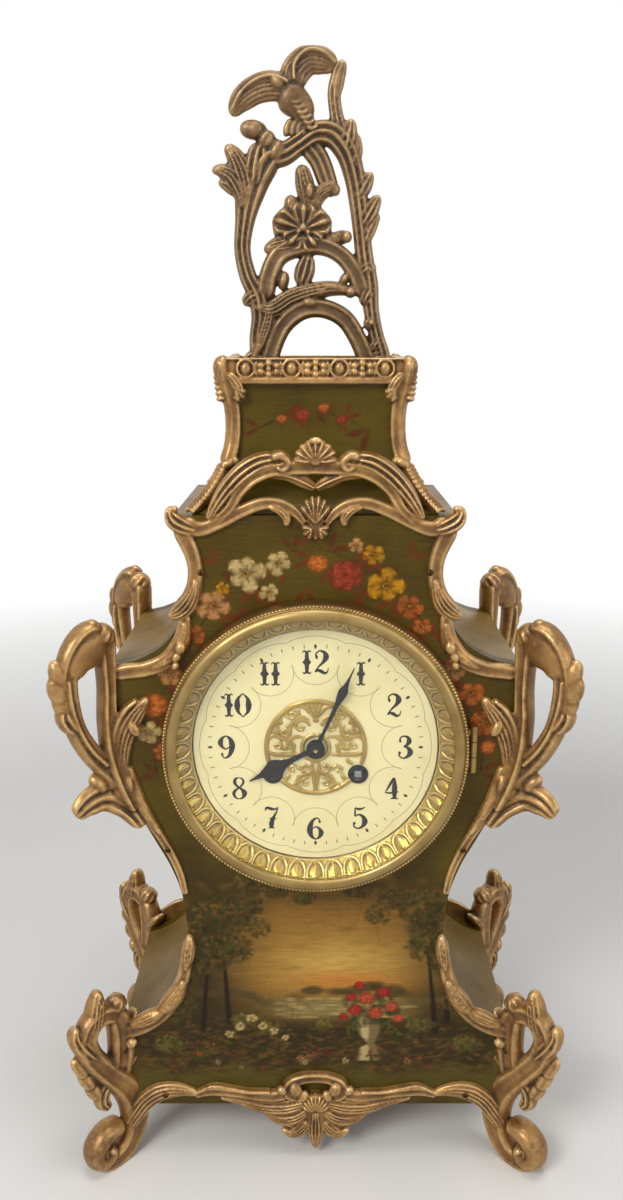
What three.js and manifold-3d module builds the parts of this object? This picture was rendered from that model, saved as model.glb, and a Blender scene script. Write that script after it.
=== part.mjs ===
// A waisted mantel clock: painted wooden case, gilt bronze mounts, round striking movement.
// Millimetres, +Z up, front towards -Y, origin on the floor under the middle of the case.
import * as THREE from 'three';
import { mergeVertices } from 'three/addons/utils/BufferGeometryUtils.js';
import Module from 'manifold-3d';

const wasm = await Module();
wasm.setup();

// Case, half widths and heights of its outline seen from the front
const BASE_HALF = 104;
const WAIST_HALF = 65.8;
const SHOULDER_HALF = 99.8;
const NECK_HALF = 59.8;
const EAR_HALF = 66.5;
const BASE_Z = 32;
const BASE_TOP_Z = 76;
const WAIST_Z = 134;
const SHOULDER_Z = 283;
const NECK_Z = 332;
const EAR_Z = 352;
const CASE_TOP_Z = 356.5;
const CASE_DEPTH = 104;
const BOARD = 7.7;
const WALL = 6;
const SEAT = 0.3;
const OVERRUN = 40;

// Roof, cap block and gallery
const ROOF_HALF = 58;
const ROOF_SETBACK = 3;
const ROOF_RISE = 21;
const CAP_HALF = 41.5;
const CAP_SETBACK = 12.5;
const CAP_RISE = 42;
const GALLERY_OUT = 3.5;
const GALLERY_BAND = 12;

// Corner handles, feet and the other mounts
const HANDLE_REACH = 20;
const HANDLE_Z = 205;
const HANDLE_HEIGHT = 100;
const HANDLE_BAR = 4;
const FOOT_REACH = 20;
const FOOT_HEIGHT = 100;
const FOOT_BAR = 4.5;
const RELIEF = 2.8;
const STRAP_BAR = 3;
const CREST_Z = 345;
const CREST_RISE = 50;
const APRON_TIP_Z = 4;
const APRON_RISE = 46;
const CORNER_BAR = 3.2;
const SHELL_RADIUS = 11;
const SHELL_LOBES = 5;

// Finial
const FINIAL_HALF = 35;
const FINIAL_RISE = 144;
const FINIAL_BAR = 3.6;
const FINIAL_DEPTH = 5;
const PETAL = 6;
const BLOSSOM_SEAT = 0.4;

// Dial, bezel and hands
const DIAL_Z = 242;
const DIAL_RADIUS = 60;
const DIAL_THICK = 1.3;
const RING_WIDE = 12;
const RING_FLANGE = 1.7;
const RING_SLEEVE_OUT = 2.6;
const RING_SLEEVE = 14;
const RING_LEDGE = 2.5;
const BEZEL_RADIUS = 74.4;
const BEZEL_LIP = 7.6;
const SIGHT_WIDTH = 7.3;
const BEZEL_DEPTH = 12;
const BEZEL_WALL = 6.2;
const GLASS_THICK = 2.2;
const HINGE_RADIUS = 2.2;
const HINGE_OUT = 2.9;
const HINGE_KNUCKLE = 7;
const HINGE_LEAF = 6;
const PIN_RADIUS = 0.9;
const RUNNING = 0.09;
const ORNAMENT_RADIUS = 25;
const ORNAMENT_THICK = 0.7;
const ORNAMENT_WINDOWS = 8;
const MINUTE_LENGTH = 46;
const HOUR_LENGTH = 37;
const MINUTE_ANGLE = THREE.MathUtils.degToRad(24);
const HOUR_ANGLE = THREE.MathUtils.degToRad(242);
const HAND_THICK = 0.7;
const HAND_HUB = 4.6;
const COLLET_RADIUS = 3.6;
const FERRULE_RADIUS = 5;

// Movement: plates, arbor places and wheel counts
const TOOTH_TIP = 0.62;
const TOOTH_ROOT = 1.15;
const PIVOT_SIDES = 6;
const PLATE_RADIUS = 47;
const PLATE_THICK = 2;
const MOVEMENT_SET_IN = 10;
const PLATE_GAP_SHARE = 9 / 26;
const LUG_HALF = 6;
const PILLAR_RADIUS = 2.6;
const PILLAR_CIRCLE = 42.5;
const PILLAR_ANGLES = [-90, 5, 52, 175];
const ARBOR_RADIUS = 0.55;
const CENTRE_RADIUS = 1;
const LEVER_HALF = 1.3;
const WINDING_X = 21;
const WINDING_DROP = 14;
const WINDING_RADIUS = 2.4;
const SQUARE_HALF = 1.7;
const DRUM_RADIUS = 17.6;
const DRUM_LENGTH = 16;
const RATCHET_RADIUS = 7;
const WHEEL_THICK = 1.4;
const PINION_LENGTH = 4.6;
const GREAT_MODULE = 0.937;
const SECOND_MODULE = 0.7714;
const CENTRE_MODULE = 0.4;
const THIRD_MODULE = 0.4;
const PIN_MODULE = 0.64;
const LOCK_MODULE = 0.58;
const CANNON_MODULE = 0.7875;
const HOUR_MODULE = 0.63;
const TEETH = { great: 42, second: 35, centre: 72, third: 66, escape: 32, pin: 36, lock: 30, minute: 24,
  hour: 32 };
const LEAVES = { great: 7, second: 7, centre: 6, third: 6, pin: 6, lock: 6, cannon: 8, minute: 8 };
const ESCAPE_RADIUS = 8.5;
const PALLET_RISE = 11;
const PALLET_SPREAD = 0.27;
const RATCHET_TEETH = 12;
const LIFT_PINS = 8;
const LOCK_TURN = THREE.MathUtils.degToRad(118);
const FLY_TURN = THREE.MathUtils.degToRad(60);
const CANNON_RADIUS = 2.1;
const HOUR_PIPE_RADIUS = 3.1;

// Striking, suspension and pendulum
const BELL_RADIUS = 32;
const BELL_RISE = 16;
const BELL_WALL = 1.6;
const BELL_BORE = 2;
const BELL_SET_IN = 28.5;
const BELL_POST_RADIUS = 2.2;
const BELL_POST_OUT = 30;
const HAMMER_X = -33;
const HAMMER_RISE = 9;
const HAMMER_REACH = 19.6;
const HAMMER_HEAD = 4;
const HAMMER_TAIL = 7.7;
const FLY_HALF = 6.2;
const CRUTCH_LENGTH = 34;
const ROD_OUT = 11;
const ROD_RADIUS = 1.2;
const PENDULUM_LENGTH = 178;
const BOB_RADIUS = 17;
const BOB_HALF = 4.2;
const SPRING_HALF = 2.2;
const SPRING_THICK = 0.4;
const COCK_HALF = 6;
const STRAP_WIDE = 9;
const STRAP_THICK = 2;

// Rear opening and door
const REAR_HOLE = 50;
const DOOR_RADIUS = 57;
const DOOR_THICK = 1.8;
const KNOB_RADIUS = 3.4;
const KNOB_LENGTH = 8;

const FACE_Y = -CASE_DEPTH / 2;
const BACK_Y = CASE_DEPTH / 2;
const ROOF_HALF_DEPTH = BACK_Y - ROOF_SETBACK;
const CAP_HALF_DEPTH = BACK_Y - CAP_SETBACK;
const GALLERY_HALF = CAP_HALF + GALLERY_OUT;
const GALLERY_HALF_DEPTH = CAP_HALF_DEPTH + GALLERY_OUT;
const RING_RADIUS = DIAL_RADIUS + RING_WIDE;
const RING_SLEEVE_RADIUS = DIAL_RADIUS + RING_SLEEVE_OUT;
const BEZEL_INNER = BEZEL_RADIUS - BEZEL_LIP;
const HINGE_X = BEZEL_RADIUS + HINGE_OUT;
const FRONT_PLATE_Y = FACE_Y + MOVEMENT_SET_IN;
const PLATE_GAP = CASE_DEPTH * PLATE_GAP_SHARE;
const BELL_Y = BACK_Y - BELL_SET_IN;
const ROUND = Math.PI * 2;

const mix = (low, high, share) => low + (high - low) * share;
const at = (x, forward, z) => new THREE.Vector3(x, FACE_Y - forward, z);

// Finishes

const finish = (color, roughness, metalness) => () =>
  new THREE.MeshStandardMaterial({ color, roughness, metalness });
const paintedWood = finish(0x555012, 0.5, 0);
const giltBronze = finish(0x9a6f3c, 0.5, 0.8);
const brass = finish(0xb79a55, 0.35, 1);
const brightGilt = finish(0xc8a040, 0.3, 1);
const enamel = finish(0xebe6be, 0.25, 0);
const glassFinish = finish(0xe8f0ee, 0.05, 0);
const bluedSteel = finish(0x15151a, 0.35, 0.8);
const steel = finish(0x8c8f92, 0.35, 1);
const bellMetal = finish(0xb9a878, 0.3, 1);

// Solids

function solidOf(geometry) {
  const bare = geometry.clone();
  bare.deleteAttribute('normal');
  bare.deleteAttribute('uv');
  const merged = mergeVertices(bare, 1e-4);
  return new wasm.Manifold(new wasm.Mesh({
    numProp: 3,
    vertProperties: new Float32Array(merged.attributes.position.array),
    triVerts: new Uint32Array(merged.index.array),
  }));
}

function geometryOf(solid) {
  const mesh = solid.getMesh();
  const geometry = new THREE.BufferGeometry();
  geometry.setAttribute('position', new THREE.BufferAttribute(new Float32Array(mesh.vertProperties), 3));
  geometry.setIndex(new THREE.BufferAttribute(new Uint32Array(mesh.triVerts), 1));
  geometry.computeVertexNormals();
  return geometry;
}

const joined = (...solids) => solids.flat().reduce((whole, piece) => whole.add(piece));

function reflected(solid, signX, signY) {
  const mesh = solid.getMesh();
  const positions = new Float32Array(mesh.vertProperties);
  const triangles = new Uint32Array(mesh.triVerts);
  for (let i = 0; i < positions.length; i += 3) {
    positions[i] *= signX;
    positions[i + 1] *= signY;
  }
  if (signX * signY < 0) {
    for (let i = 0; i < triangles.length; i += 3) {
      [triangles[i + 1], triangles[i + 2]] = [triangles[i + 2], triangles[i + 1]];
    }
  }
  return new wasm.Manifold(new wasm.Mesh({ numProp: 3, vertProperties: positions, triVerts: triangles }));
}

const bothSides = (solid) => solid.add(reflected(solid, -1, 1));
const corners = [['front_left', -1, 1], ['front_right', 1, 1], ['rear_left', -1, -1],
  ['rear_right', 1, -1]];

function loft(rings) {
  const count = rings[0].length;
  const points = rings.flat();
  const faces = [];
  for (let r = 0; r + 1 < rings.length; r += 1) {
    for (let k = 0; k < count; k += 1) {
      const a = r * count + k;
      const b = r * count + (k + 1) % count;
      faces.push(a, b, b + count, a, b + count, a + count);
    }
  }
  for (let k = 1; k + 1 < count; k += 1) {
    const last = (rings.length - 1) * count;
    faces.push(0, k + 1, k, last, last + k, last + k + 1);
  }
  let volume = 0;
  for (let i = 0; i < faces.length; i += 3) {
    const [p, q, r] = [points[faces[i]], points[faces[i + 1]], points[faces[i + 2]]];
    volume += p.dot(new THREE.Vector3().crossVectors(q, r));
  }
  if (volume < 0) faces.reverse();
  const geometry = new THREE.BufferGeometry().setFromPoints(points);
  geometry.setIndex(faces);
  return solidOf(geometry);
}

// A bar that follows stations { p, w, h }: w is its half width across the run, h its half height along out.
// A relief bar has a flat back on the run and stands h above it.
const squareSection = [[-1, -0.85], [1, -0.85], [1, 0.85], [-1, 0.85]];
const reliefSection = [[-1, 0], [-0.6, 1], [0.6, 1], [1, 0]];

function bar(stations, out, grow = 0, section = squareSection) {
  const path = new THREE.CatmullRomCurve3(stations.map((s) => s.p), false, 'centripetal');
  const rings = stations.map(({ p, w, h }, i) => {
    const tangent = path.getTangent(i / (stations.length - 1));
    const across = new THREE.Vector3().crossVectors(tangent, out).normalize();
    return section.map(([u, v]) =>
      p.clone().addScaledVector(across, (w + grow) * u).addScaledVector(out, (h + grow) * v));
  });
  return loft(rings);
}

function lump(centre, radii, lean = 0, across = 5, tall = 3) {
  const geometry = new THREE.SphereGeometry(1, across, tall);
  geometry.rotateX(Math.PI / 2);
  geometry.scale(...radii);
  geometry.rotateY(lean);
  geometry.translate(centre.x, centre.y, centre.z);
  return solidOf(geometry);
}

function block(x0, x1, y0, y1, z0, z1) {
  const geometry = new THREE.BoxGeometry(x1 - x0, y1 - y0, z1 - z0);
  geometry.translate((x0 + x1) / 2, (y0 + y1) / 2, (z0 + z1) / 2);
  return solidOf(geometry);
}

function slabY(points, y0, y1, holes = []) {
  const shape = new THREE.Shape(points);
  shape.holes = holes.map((hole) => new THREE.Path(hole));
  const geometry = new THREE.ExtrudeGeometry(shape, { depth: y1 - y0, bevelEnabled: false });
  geometry.rotateX(Math.PI / 2);
  geometry.translate(0, y1, 0);
  return solidOf(geometry);
}

function circle(radius, segments, x = 0, z = 0, turn = 0) {
  return Array.from({ length: segments }, (_, i) => {
    const angle = turn + ROUND * i / segments;
    return new THREE.Vector2(x + radius * Math.cos(angle), z + radius * Math.sin(angle));
  });
}

function turned(profile, x, z, segments = 16) {
  const geometry = new THREE.LatheGeometry(profile.map(([r, y]) => new THREE.Vector2(r, y)), segments);
  geometry.translate(x, 0, z);
  return solidOf(geometry);
}

const rod = (radius, y0, y1, x, z, segments = 10) =>
  turned([[0, y0], [radius, y0], [radius, y1], [0, y1]], x, z, segments);

function upright(radius, x, y, z0, z1, segments = 10) {
  const geometry = new THREE.CylinderGeometry(radius, radius, z1 - z0, segments);
  geometry.rotateX(Math.PI / 2);
  geometry.translate(x, y, (z0 + z1) / 2);
  return solidOf(geometry);
}

const clock = new THREE.Group();
clock.name = 'mantel_clock';

function place(name, solid, material) {
  const mesh = new THREE.Mesh(geometryOf(solid), material());
  mesh.name = name;
  clock.add(mesh);
}

// Case outline: each run blends between two half widths and two heights

const baseShares = [[0.895, 0], [0.955, 0.18], [0.985, 0.45], [1, 1]];
const flareShares = [[1, 0], [0.71, 0.07], [0.45, 0.2], [0.2, 0.43], [0.05, 0.68], [0, 1]];
const bellyShares = [[0, 0], [0.07, 0.16], [0.226, 0.275], [0.447, 0.376], [0.68, 0.483], [0.86, 0.604],
  [0.96, 0.745], [1, 0.88], [1, 1]];
const shoulderShares = [[1, 0], [0.68, 0.06], [0.38, 0.19], [0.18, 0.37], [0.07, 0.57], [0.013, 0.8],
  [0, 1]];
const neckShares = [[0, 0], [0.3, 0.6], [1, 1]];

function run(xLow, xHigh, zLow, zHigh, shares) {
  return new THREE.SplineCurve(shares.map(([sx, sz]) =>
    new THREE.Vector2(mix(xLow, xHigh, sx), mix(zLow, zHigh, sz))));
}

const baseRun = run(0, BASE_HALF, BASE_Z, BASE_TOP_Z, baseShares);
const flareRun = run(WAIST_HALF, BASE_HALF, BASE_TOP_Z, WAIST_Z, flareShares);
const bellyRun = run(WAIST_HALF, SHOULDER_HALF, WAIST_Z, SHOULDER_Z, bellyShares);
const shoulderRun = run(NECK_HALF, SHOULDER_HALF, SHOULDER_Z, NECK_Z, shoulderShares);
const neckRun = run(NECK_HALF, EAR_HALF, NECK_Z, EAR_Z, neckShares);

const rightSide = [
  ...baseRun.getPoints(3).slice(0, -1),
  ...flareRun.getPoints(7).slice(0, -1),
  ...bellyRun.getPoints(9).slice(0, -1),
  ...shoulderRun.getPoints(7).slice(0, -1),
  ...neckRun.getPoints(2),
  new THREE.Vector2(EAR_HALF, CASE_TOP_Z),
];
const leftSide = rightSide.map((p) => new THREE.Vector2(-p.x, p.y)).reverse();
const caseOutline = [...rightSide, ...leftSide];

function offset(outline, distance) {
  return outline.map((p, i) => {
    const before = outline[(i + outline.length - 1) % outline.length];
    const after = outline[(i + 1) % outline.length];
    const a = p.clone().sub(before).normalize();
    const b = after.clone().sub(p).normalize();
    const normal = new THREE.Vector2(a.y + b.y, -a.x - b.x).normalize();
    const stretch = normal.dot(new THREE.Vector2(a.y, -a.x));
    return p.clone().addScaledVector(normal, distance / Math.max(stretch, 0.5));
  });
}

const ringSolid = slabY(caseOutline, FACE_Y + BOARD + SEAT, BACK_Y - BOARD - SEAT, [offset(caseOutline,
  -WALL)]);
const grownCase = slabY(offset(caseOutline, SEAT), FACE_Y - SEAT, BACK_Y + SEAT);

// Case boards

const FLOOR_SPLIT = BASE_HALF * 0.84;
const TOP_SPLIT = EAR_HALF * 0.78;
const floorCut = block(-FLOOR_SPLIT, FLOOR_SPLIT, FACE_Y, BACK_Y, 0, BASE_Z + WALL * 2);
const topCut = block(-TOP_SPLIT, TOP_SPLIT, FACE_Y, BACK_Y, EAR_Z - WALL * 2, CASE_TOP_Z + WALL);
const floorGap = block(-FLOOR_SPLIT - SEAT, FLOOR_SPLIT + SEAT, FACE_Y, BACK_Y, 0, BASE_Z + WALL * 2);
const topGap = block(-TOP_SPLIT - SEAT, TOP_SPLIT + SEAT, FACE_Y, BACK_Y, EAR_Z - WALL * 2,
  CASE_TOP_Z + WALL);
const sides = ringSolid.subtract(floorGap).subtract(topGap);
const leftHalf = block(-BASE_HALF - SHOULDER_HALF, 0, FACE_Y, BACK_Y, 0, CASE_TOP_Z + WALL);
place('case_side_left', sides.intersect(leftHalf), paintedWood);
place('case_side_right', sides.subtract(leftHalf), paintedWood);
place('case_floor', ringSolid.intersect(floorCut), paintedWood);
place('case_top', ringSolid.intersect(topCut), paintedWood);

const dialHole = circle(RING_SLEEVE_RADIUS + SEAT * 2, 28, 0, DIAL_Z);
place('front_board', slabY(caseOutline, FACE_Y, FACE_Y + BOARD, [dialHole]), paintedWood);
place('back_board', slabY(caseOutline, BACK_Y - BOARD, BACK_Y, [circle(REAR_HOLE, 24, 0, DIAL_Z)]),
  paintedWood);

// Roof, cap block and gallery

const roofShares = [[0, 0], [0.42, 0.2], [0.75, 0.5], [0.93, 0.8], [1, 1]];
const capShares = [[0.96, 0.2], [0.945, 0.5], [0.96, 0.8], [0.975, 1]];
const ROOF_Z = CASE_TOP_Z + SEAT;
const CAP_Z = ROOF_Z + ROOF_RISE;
const GALLERY_Z = CAP_Z + CAP_RISE - GALLERY_BAND / 3;
const FINIAL_Z = CAP_Z + CAP_RISE + SEAT;

function tower(levels, grow = 0) {
  return loft(levels.map(([x, y, z]) => [[1, 1], [-1, 1], [-1, -1], [1, -1]].map(([sx, sy]) =>
    new THREE.Vector3(sx * (x + grow), sy * (y + grow), z))));
}

const roofLevels = roofShares.map(([inward, rise]) => [
  mix(ROOF_HALF, CAP_HALF, inward), mix(ROOF_HALF_DEPTH, CAP_HALF_DEPTH, inward),
    ROOF_Z + ROOF_RISE * rise]);
const capLevels = capShares.map(([width, rise]) => [
  CAP_HALF * width, CAP_HALF_DEPTH * width, CAP_Z + CAP_RISE * rise]);
place('roof_and_cap', tower([...roofLevels, ...capLevels]), paintedWood);
const grownCap = tower([...roofLevels, ...capLevels], SEAT);

const galleryShares = [[0.97, 0], [1, 0.12], [0.96, 0.28], [0.985, 0.6], [0.965, 0.88], [1, 1]];
const galleryLevels = galleryShares.map(([width, rise]) => [
  GALLERY_HALF * width, GALLERY_HALF_DEPTH * width, GALLERY_Z + GALLERY_BAND * rise]);
const galleryBore = block(-CAP_HALF + SEAT, CAP_HALF - SEAT, -CAP_HALF_DEPTH + SEAT,
  CAP_HALF_DEPTH - SEAT,
  GALLERY_Z - OVERRUN, GALLERY_Z + OVERRUN);
const gallery = tower(galleryLevels).subtract(galleryBore);
place('cap_gallery', gallery, giltBronze);
const grownGallery = tower(galleryLevels, SEAT).subtract(galleryBore);

// Stations along a run of the outline, set in from it by part of the bar
const frontOut = new THREE.Vector3(0, -1, 0);
const diagonal = new THREE.Vector3(1, 1, 0).normalize();
const reliefBar = (stations, grow = 0) => bar(stations, frontOut, grow, reliefSection);

function strap(curve, rows, unit, inset) {
  return reliefBar(rows.map(([u, width]) => {
    const p = curve.getPointAt(u);
    const tangent = curve.getTangentAt(u);
    return { p: at(p.x - tangent.y * inset, SEAT, p.y + tangent.x * inset), w: unit * width, h: RELIEF };
  }));
}

// Corner handle: shoulder strap, corner bar, openwork grip, berries, leaf, panel scroll and waist strap

const gripShares = [[-0.2, 0.17, 1.1], [0.17, 0.26, 1.05], [0.49, 0.38, 0.95], [0.72, 0.51, 0.95],
  [0.83, 0.65, 1],
  [0.84, 0.78, 1.1], [0.68, 0.89, 1.3], [0.4, 0.96, 1.35], [0.02, 0.95, 1.1]];
const cornerShares = [[-0.45, 0.03, 0.7], [-0.2, 0.17, 1], [0, 0.33, 0.9], [0.06, 0.5, 0.75],
  [0.08, 0.68, 0.72],
  [0.08, 0.87, 1], [0.1, 0.96, 1.1]];
const leafShares = [[-0.5, 0, 0.6], [-0.1, 0.09, 1.1], [0.3, 0.13, 1.2], [0.62, 0.12, 0.6]];
const scrollShares = [[0.99, 0.2, 0.8], [0.957, 0.43, 0.85], [0.935, 0.56, 0.8], [0.88, 0.575, 0.6]];
const berryShares = [[0, 0.19, 1.2], [0.32, 0.17, 1]];
const shoulderStrapShares = [[0.02, 0.8], [0.25, 0.75], [0.5, 0.95], [0.72, 0.85]];
const waistStrapShares = [[0.01, 0.6], [0.16, 0.55], [0.32, 0.65], [0.46, 0.85], [0.58, 0.9]];

const onHandle = (reach, rise) =>
  at(SHOULDER_HALF + HANDLE_REACH * reach, HANDLE_REACH * Math.max(reach, 0.06),
    HANDLE_Z + HANDLE_HEIGHT * rise);
const handleBar = (rows, thick) => bar(rows.map(([reach, rise, width]) =>
  ({ p: onHandle(reach, rise), w: HANDLE_BAR * width, h: HANDLE_BAR * thick })), diagonal);
const panelScroll = reliefBar(scrollShares.map(([sx, rise, width]) => ({
  p: at(SHOULDER_HALF * sx, SEAT, HANDLE_Z + HANDLE_HEIGHT * rise), w: HANDLE_BAR * width, h: RELIEF,
})));

const handleSolid = joined(
  handleBar(gripShares, 0.8), handleBar(cornerShares, 1), handleBar(leafShares, 0.5),
  lump(onHandle(0.97, 0.735), [HANDLE_BAR * 0.9, HANDLE_BAR * 0.9, HANDLE_BAR * 2]),
  berryShares.map(([reach, rise, size]) =>
    lump(onHandle(reach, rise), [HANDLE_BAR * size, HANDLE_BAR * size, HANDLE_BAR * size])),
).subtract(grownCase).add(strap(shoulderRun, shoulderStrapShares, HANDLE_BAR, HANDLE_BAR * 0.4))
  .add(strap(bellyRun, waistStrapShares, HANDLE_BAR, HANDLE_BAR * 0.3)).add(panelScroll);

// Corner foot: S scroll with its volute, openwork top, cheeks, leaves and flare strap

const footShares = [[0.1, 0.955, 0.9], [0.48, 1.0, 1], [0.8, 0.96, 0.95], [0.92, 0.87, 0.85],
  [0.76, 0.75, 0.8],
  [0.28, 0.56, 1], [-0.02, 0.43, 1.35], [-0.2, 0.28, 1.4], [-0.12, 0.13, 1.1], [0.12, 0.045, 1.05],
    [0.42, 0.032, 0.95],
  [0.66, 0.095, 0.8], [0.6, 0.165, 0.7]];
const cheekShares = [[0.22, 0.955, 0.8], [0.03, 0.86, 0.75], [0.04, 0.7, 0.72], [0.12, 0.54, 0.9]];
const tongueShares = [[0.7, 0.96, 0.8], [0.76, 1.06, 0.7], [0.68, 1.13, 0.25]];
const dropShares = [[0.4, 0.56, 0.8], [0.54, 0.44, 0.75], [0.42, 0.37, 0.35]];
const footLumpShares = [[1, 0.9, 0.75, 1.9], [0.8, 0.67, 0.7, 1.2]];
const frontCheekShares = [[1, 0.8, 0.7], [0.968, 0.63, 1.15], [0.985, 0.5, 0.85], [1, 0.4, 0.5]];
const sideCheekShares = [[0.02, 0.8, 0.7], [0.2, 0.63, 1.15], [0.12, 0.5, 0.85], [-0.02, 0.4, 0.5]];
const flareStrapShares = [[0, 0.95], [0.25, 1], [0.5, 1], [0.75, 0.85], [0.98, 0.55]];

const onFoot = (reach, rise) =>
  at(BASE_HALF + FOOT_REACH * reach, FOOT_REACH * reach, FOOT_HEIGHT * rise);
const footBar = (rows, thick) => bar(rows.map(([reach, rise, width]) =>
  ({ p: onFoot(reach, rise), w: FOOT_BAR * width, h: FOOT_BAR * thick })), diagonal);
const frontCheek = reliefBar(frontCheekShares.map(([sx, rise, width]) =>
  ({ p: at(BASE_HALF * sx, SEAT, FOOT_HEIGHT * rise), w: FOOT_BAR * width, h: RELIEF })));
const sideCheek = bar(sideCheekShares.map(([back, rise, width]) => ({
  p: at(BASE_HALF + SEAT, -FOOT_REACH * back, FOOT_HEIGHT * rise), w: FOOT_BAR * width, h: RELIEF,
})), new THREE.Vector3(1, 0, 0), 0, reliefSection);
const underFloor = block(-BASE_HALF * 2, BASE_HALF * 2, -CASE_DEPTH, CASE_DEPTH, -OVERRUN, 0);

const footSolid = joined(
  footBar(footShares, 0.95), footBar(cheekShares, 0.9), footBar(tongueShares, 0.6),
    footBar(dropShares, 0.7),
  footLumpShares.map(([reach, rise, size, tall]) =>
    lump(onFoot(reach, rise), [FOOT_BAR * size, FOOT_BAR * size, FOOT_BAR * tall])),
).subtract(grownCase).subtract(underFloor).add(strap(flareRun, flareStrapShares, FOOT_BAR,
  FOOT_BAR * 0.4))
  .add(frontCheek).add(sideCheek);

for (const [corner, signX, signY] of corners) {
  place(`handle_${corner}`, reflected(handleSolid, signX, signY), giltBronze);
  place(`foot_${corner}`, reflected(footSolid, signX, signY), giltBronze);
}

// Crest mount: neck straps, two arches, rolled leaves, shell and middle mask leaf

const neckStrapShares = [[0.955, 0.14, 1.5], [0.9, 0, 1.3], [0.865, -0.16, 1.2], [0.858, -0.34, 1.2],
  [0.885, -0.52, 1.4],
  [0.94, -0.66, 1.7], [1.06, -0.735, 0.9]];
const lowArchShares = [[0.96, 0.2, 1.4], [0.83, 0.13, 1.1], [0.69, 0.16, 0.95], [0.45, 0.32, 0.95],
  [0.33, 0.356, 0.95], [0.225, 0.32, 0.9], [0.135, 0.24, 0.85], [0.05, 0.16, 0.8]];
const highArchShares = [[0.72, 0.18, 0.9], [0.6, 0.3, 0.9], [0.535, 0.44, 0.95], [0.435, 0.57, 1],
  [0.3, 0.64, 1],
  [0, 0.676, 1]];
const rolledShares = [[0.54, 0.54, 0.8], [0.466, 0.68, 0.9], [0.36, 0.77, 0.9], [0.25, 0.76, 0.7]];
const bracketShares = [[0.33, 0.62], [0.33, 0.68], [-0.33, 0.68], [-0.33, 0.62], [0, 0.475]];
const maskShares = [[0, 0.01], [0.055, 0.08], [0.045, 0.18], [0.085, 0.3], [0.068, 0.4], [0, 0.43],
  [-0.068, 0.4], [-0.085, 0.3], [-0.045, 0.18], [-0.055, 0.08]];

const crestBar = (rows, thick = 1) => reliefBar(rows.map(([sx, rise, width]) => ({
  p: at(EAR_HALF * sx, SEAT, CREST_Z + CREST_RISE * rise), w: STRAP_BAR * width, h: RELIEF * thick,
})));
const crestPoint = ([sx, rise]) => new THREE.Vector2(EAR_HALF * sx, CREST_Z + CREST_RISE * rise);
const shellZ = CREST_Z + CREST_RISE * 0.7;
const shellPoints = Array.from({ length: SHELL_LOBES * 2 + 1 }, (_, i) => {
  const angle = mix(-0.1, Math.PI + 0.1, i / (SHELL_LOBES * 2));
  const radius = SHELL_RADIUS * (i % 2 === 0 ? 0.86 : 1);
  return new THREE.Vector2(radius * Math.cos(angle), shellZ + radius * Math.sin(angle));
});
const mountFront = (thick) => FACE_Y - SEAT - RELIEF * thick;
const mountBack = FACE_Y - SEAT;

const crestHalf = joined(
  crestBar(neckStrapShares), crestBar(lowArchShares), crestBar(highArchShares, 1.3),
    crestBar(rolledShares, 1.5),
);
place('crest_mount', joined(
  bothSides(crestHalf),
  slabY(bracketShares.map(crestPoint), mountFront(0.9), mountBack),
  slabY(maskShares.map(crestPoint), mountFront(1.9), mountBack),
  slabY(shellPoints, mountFront(1.4), mountBack),
).subtract(handleSolid).subtract(reflected(handleSolid, -1, 1)), giltBronze);

// Apron mount under the front board

const apronShares = [[0.85, 0.62, 1.2], [0.78, 0.74, 1.2], [0.69, 0.765, 1.1], [0.56, 0.7, 0.9],
  [0.385, 0.675, 0.9], [0.21, 0.665, 1], [0.144, 0.74, 0.9], [0.11, 0.87, 0.9]];
const apronLeafShares = [[0.42, 0.63, 0.7], [0.29, 0.555, 0.9], [0.215, 0.47, 0.8], [0.178, 0.39, 0.3]];
const apronArchShares = [[0.09, 0.7, 0.7], [0.088, 0.83, 0.6], [0.058, 0.93, 0.6], [0, 0.975, 0.6]];
const tongueMaskShares = [[0, 0], [0.04, 0.12], [0.072, 0.27], [0.14, 0.32], [0.12, 0.46], [0.12, 0.72],
  [-0.12, 0.72], [-0.12, 0.46], [-0.14, 0.32], [-0.072, 0.27], [-0.04, 0.12]];

const apronBar = (rows, thick = 1) => reliefBar(rows.map(([sx, rise, width]) => ({
  p: at(BASE_HALF * sx, SEAT, APRON_TIP_Z + APRON_RISE * rise), w: STRAP_BAR * width, h: RELIEF * thick,
})));
const apronPoint = ([sx, rise]) => new THREE.Vector2(BASE_HALF * sx, APRON_TIP_Z + APRON_RISE * rise);
place('apron_mount', joined(
  bothSides(joined(apronBar(apronShares), apronBar(apronLeafShares), apronBar(apronArchShares))),
  slabY(tongueMaskShares.map(apronPoint), mountFront(1.6), mountBack),
).subtract(footSolid).subtract(reflected(footSolid, -1, 1)), giltBronze);

// Cap corner mounts with their husk drops down the hips of the roof

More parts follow.
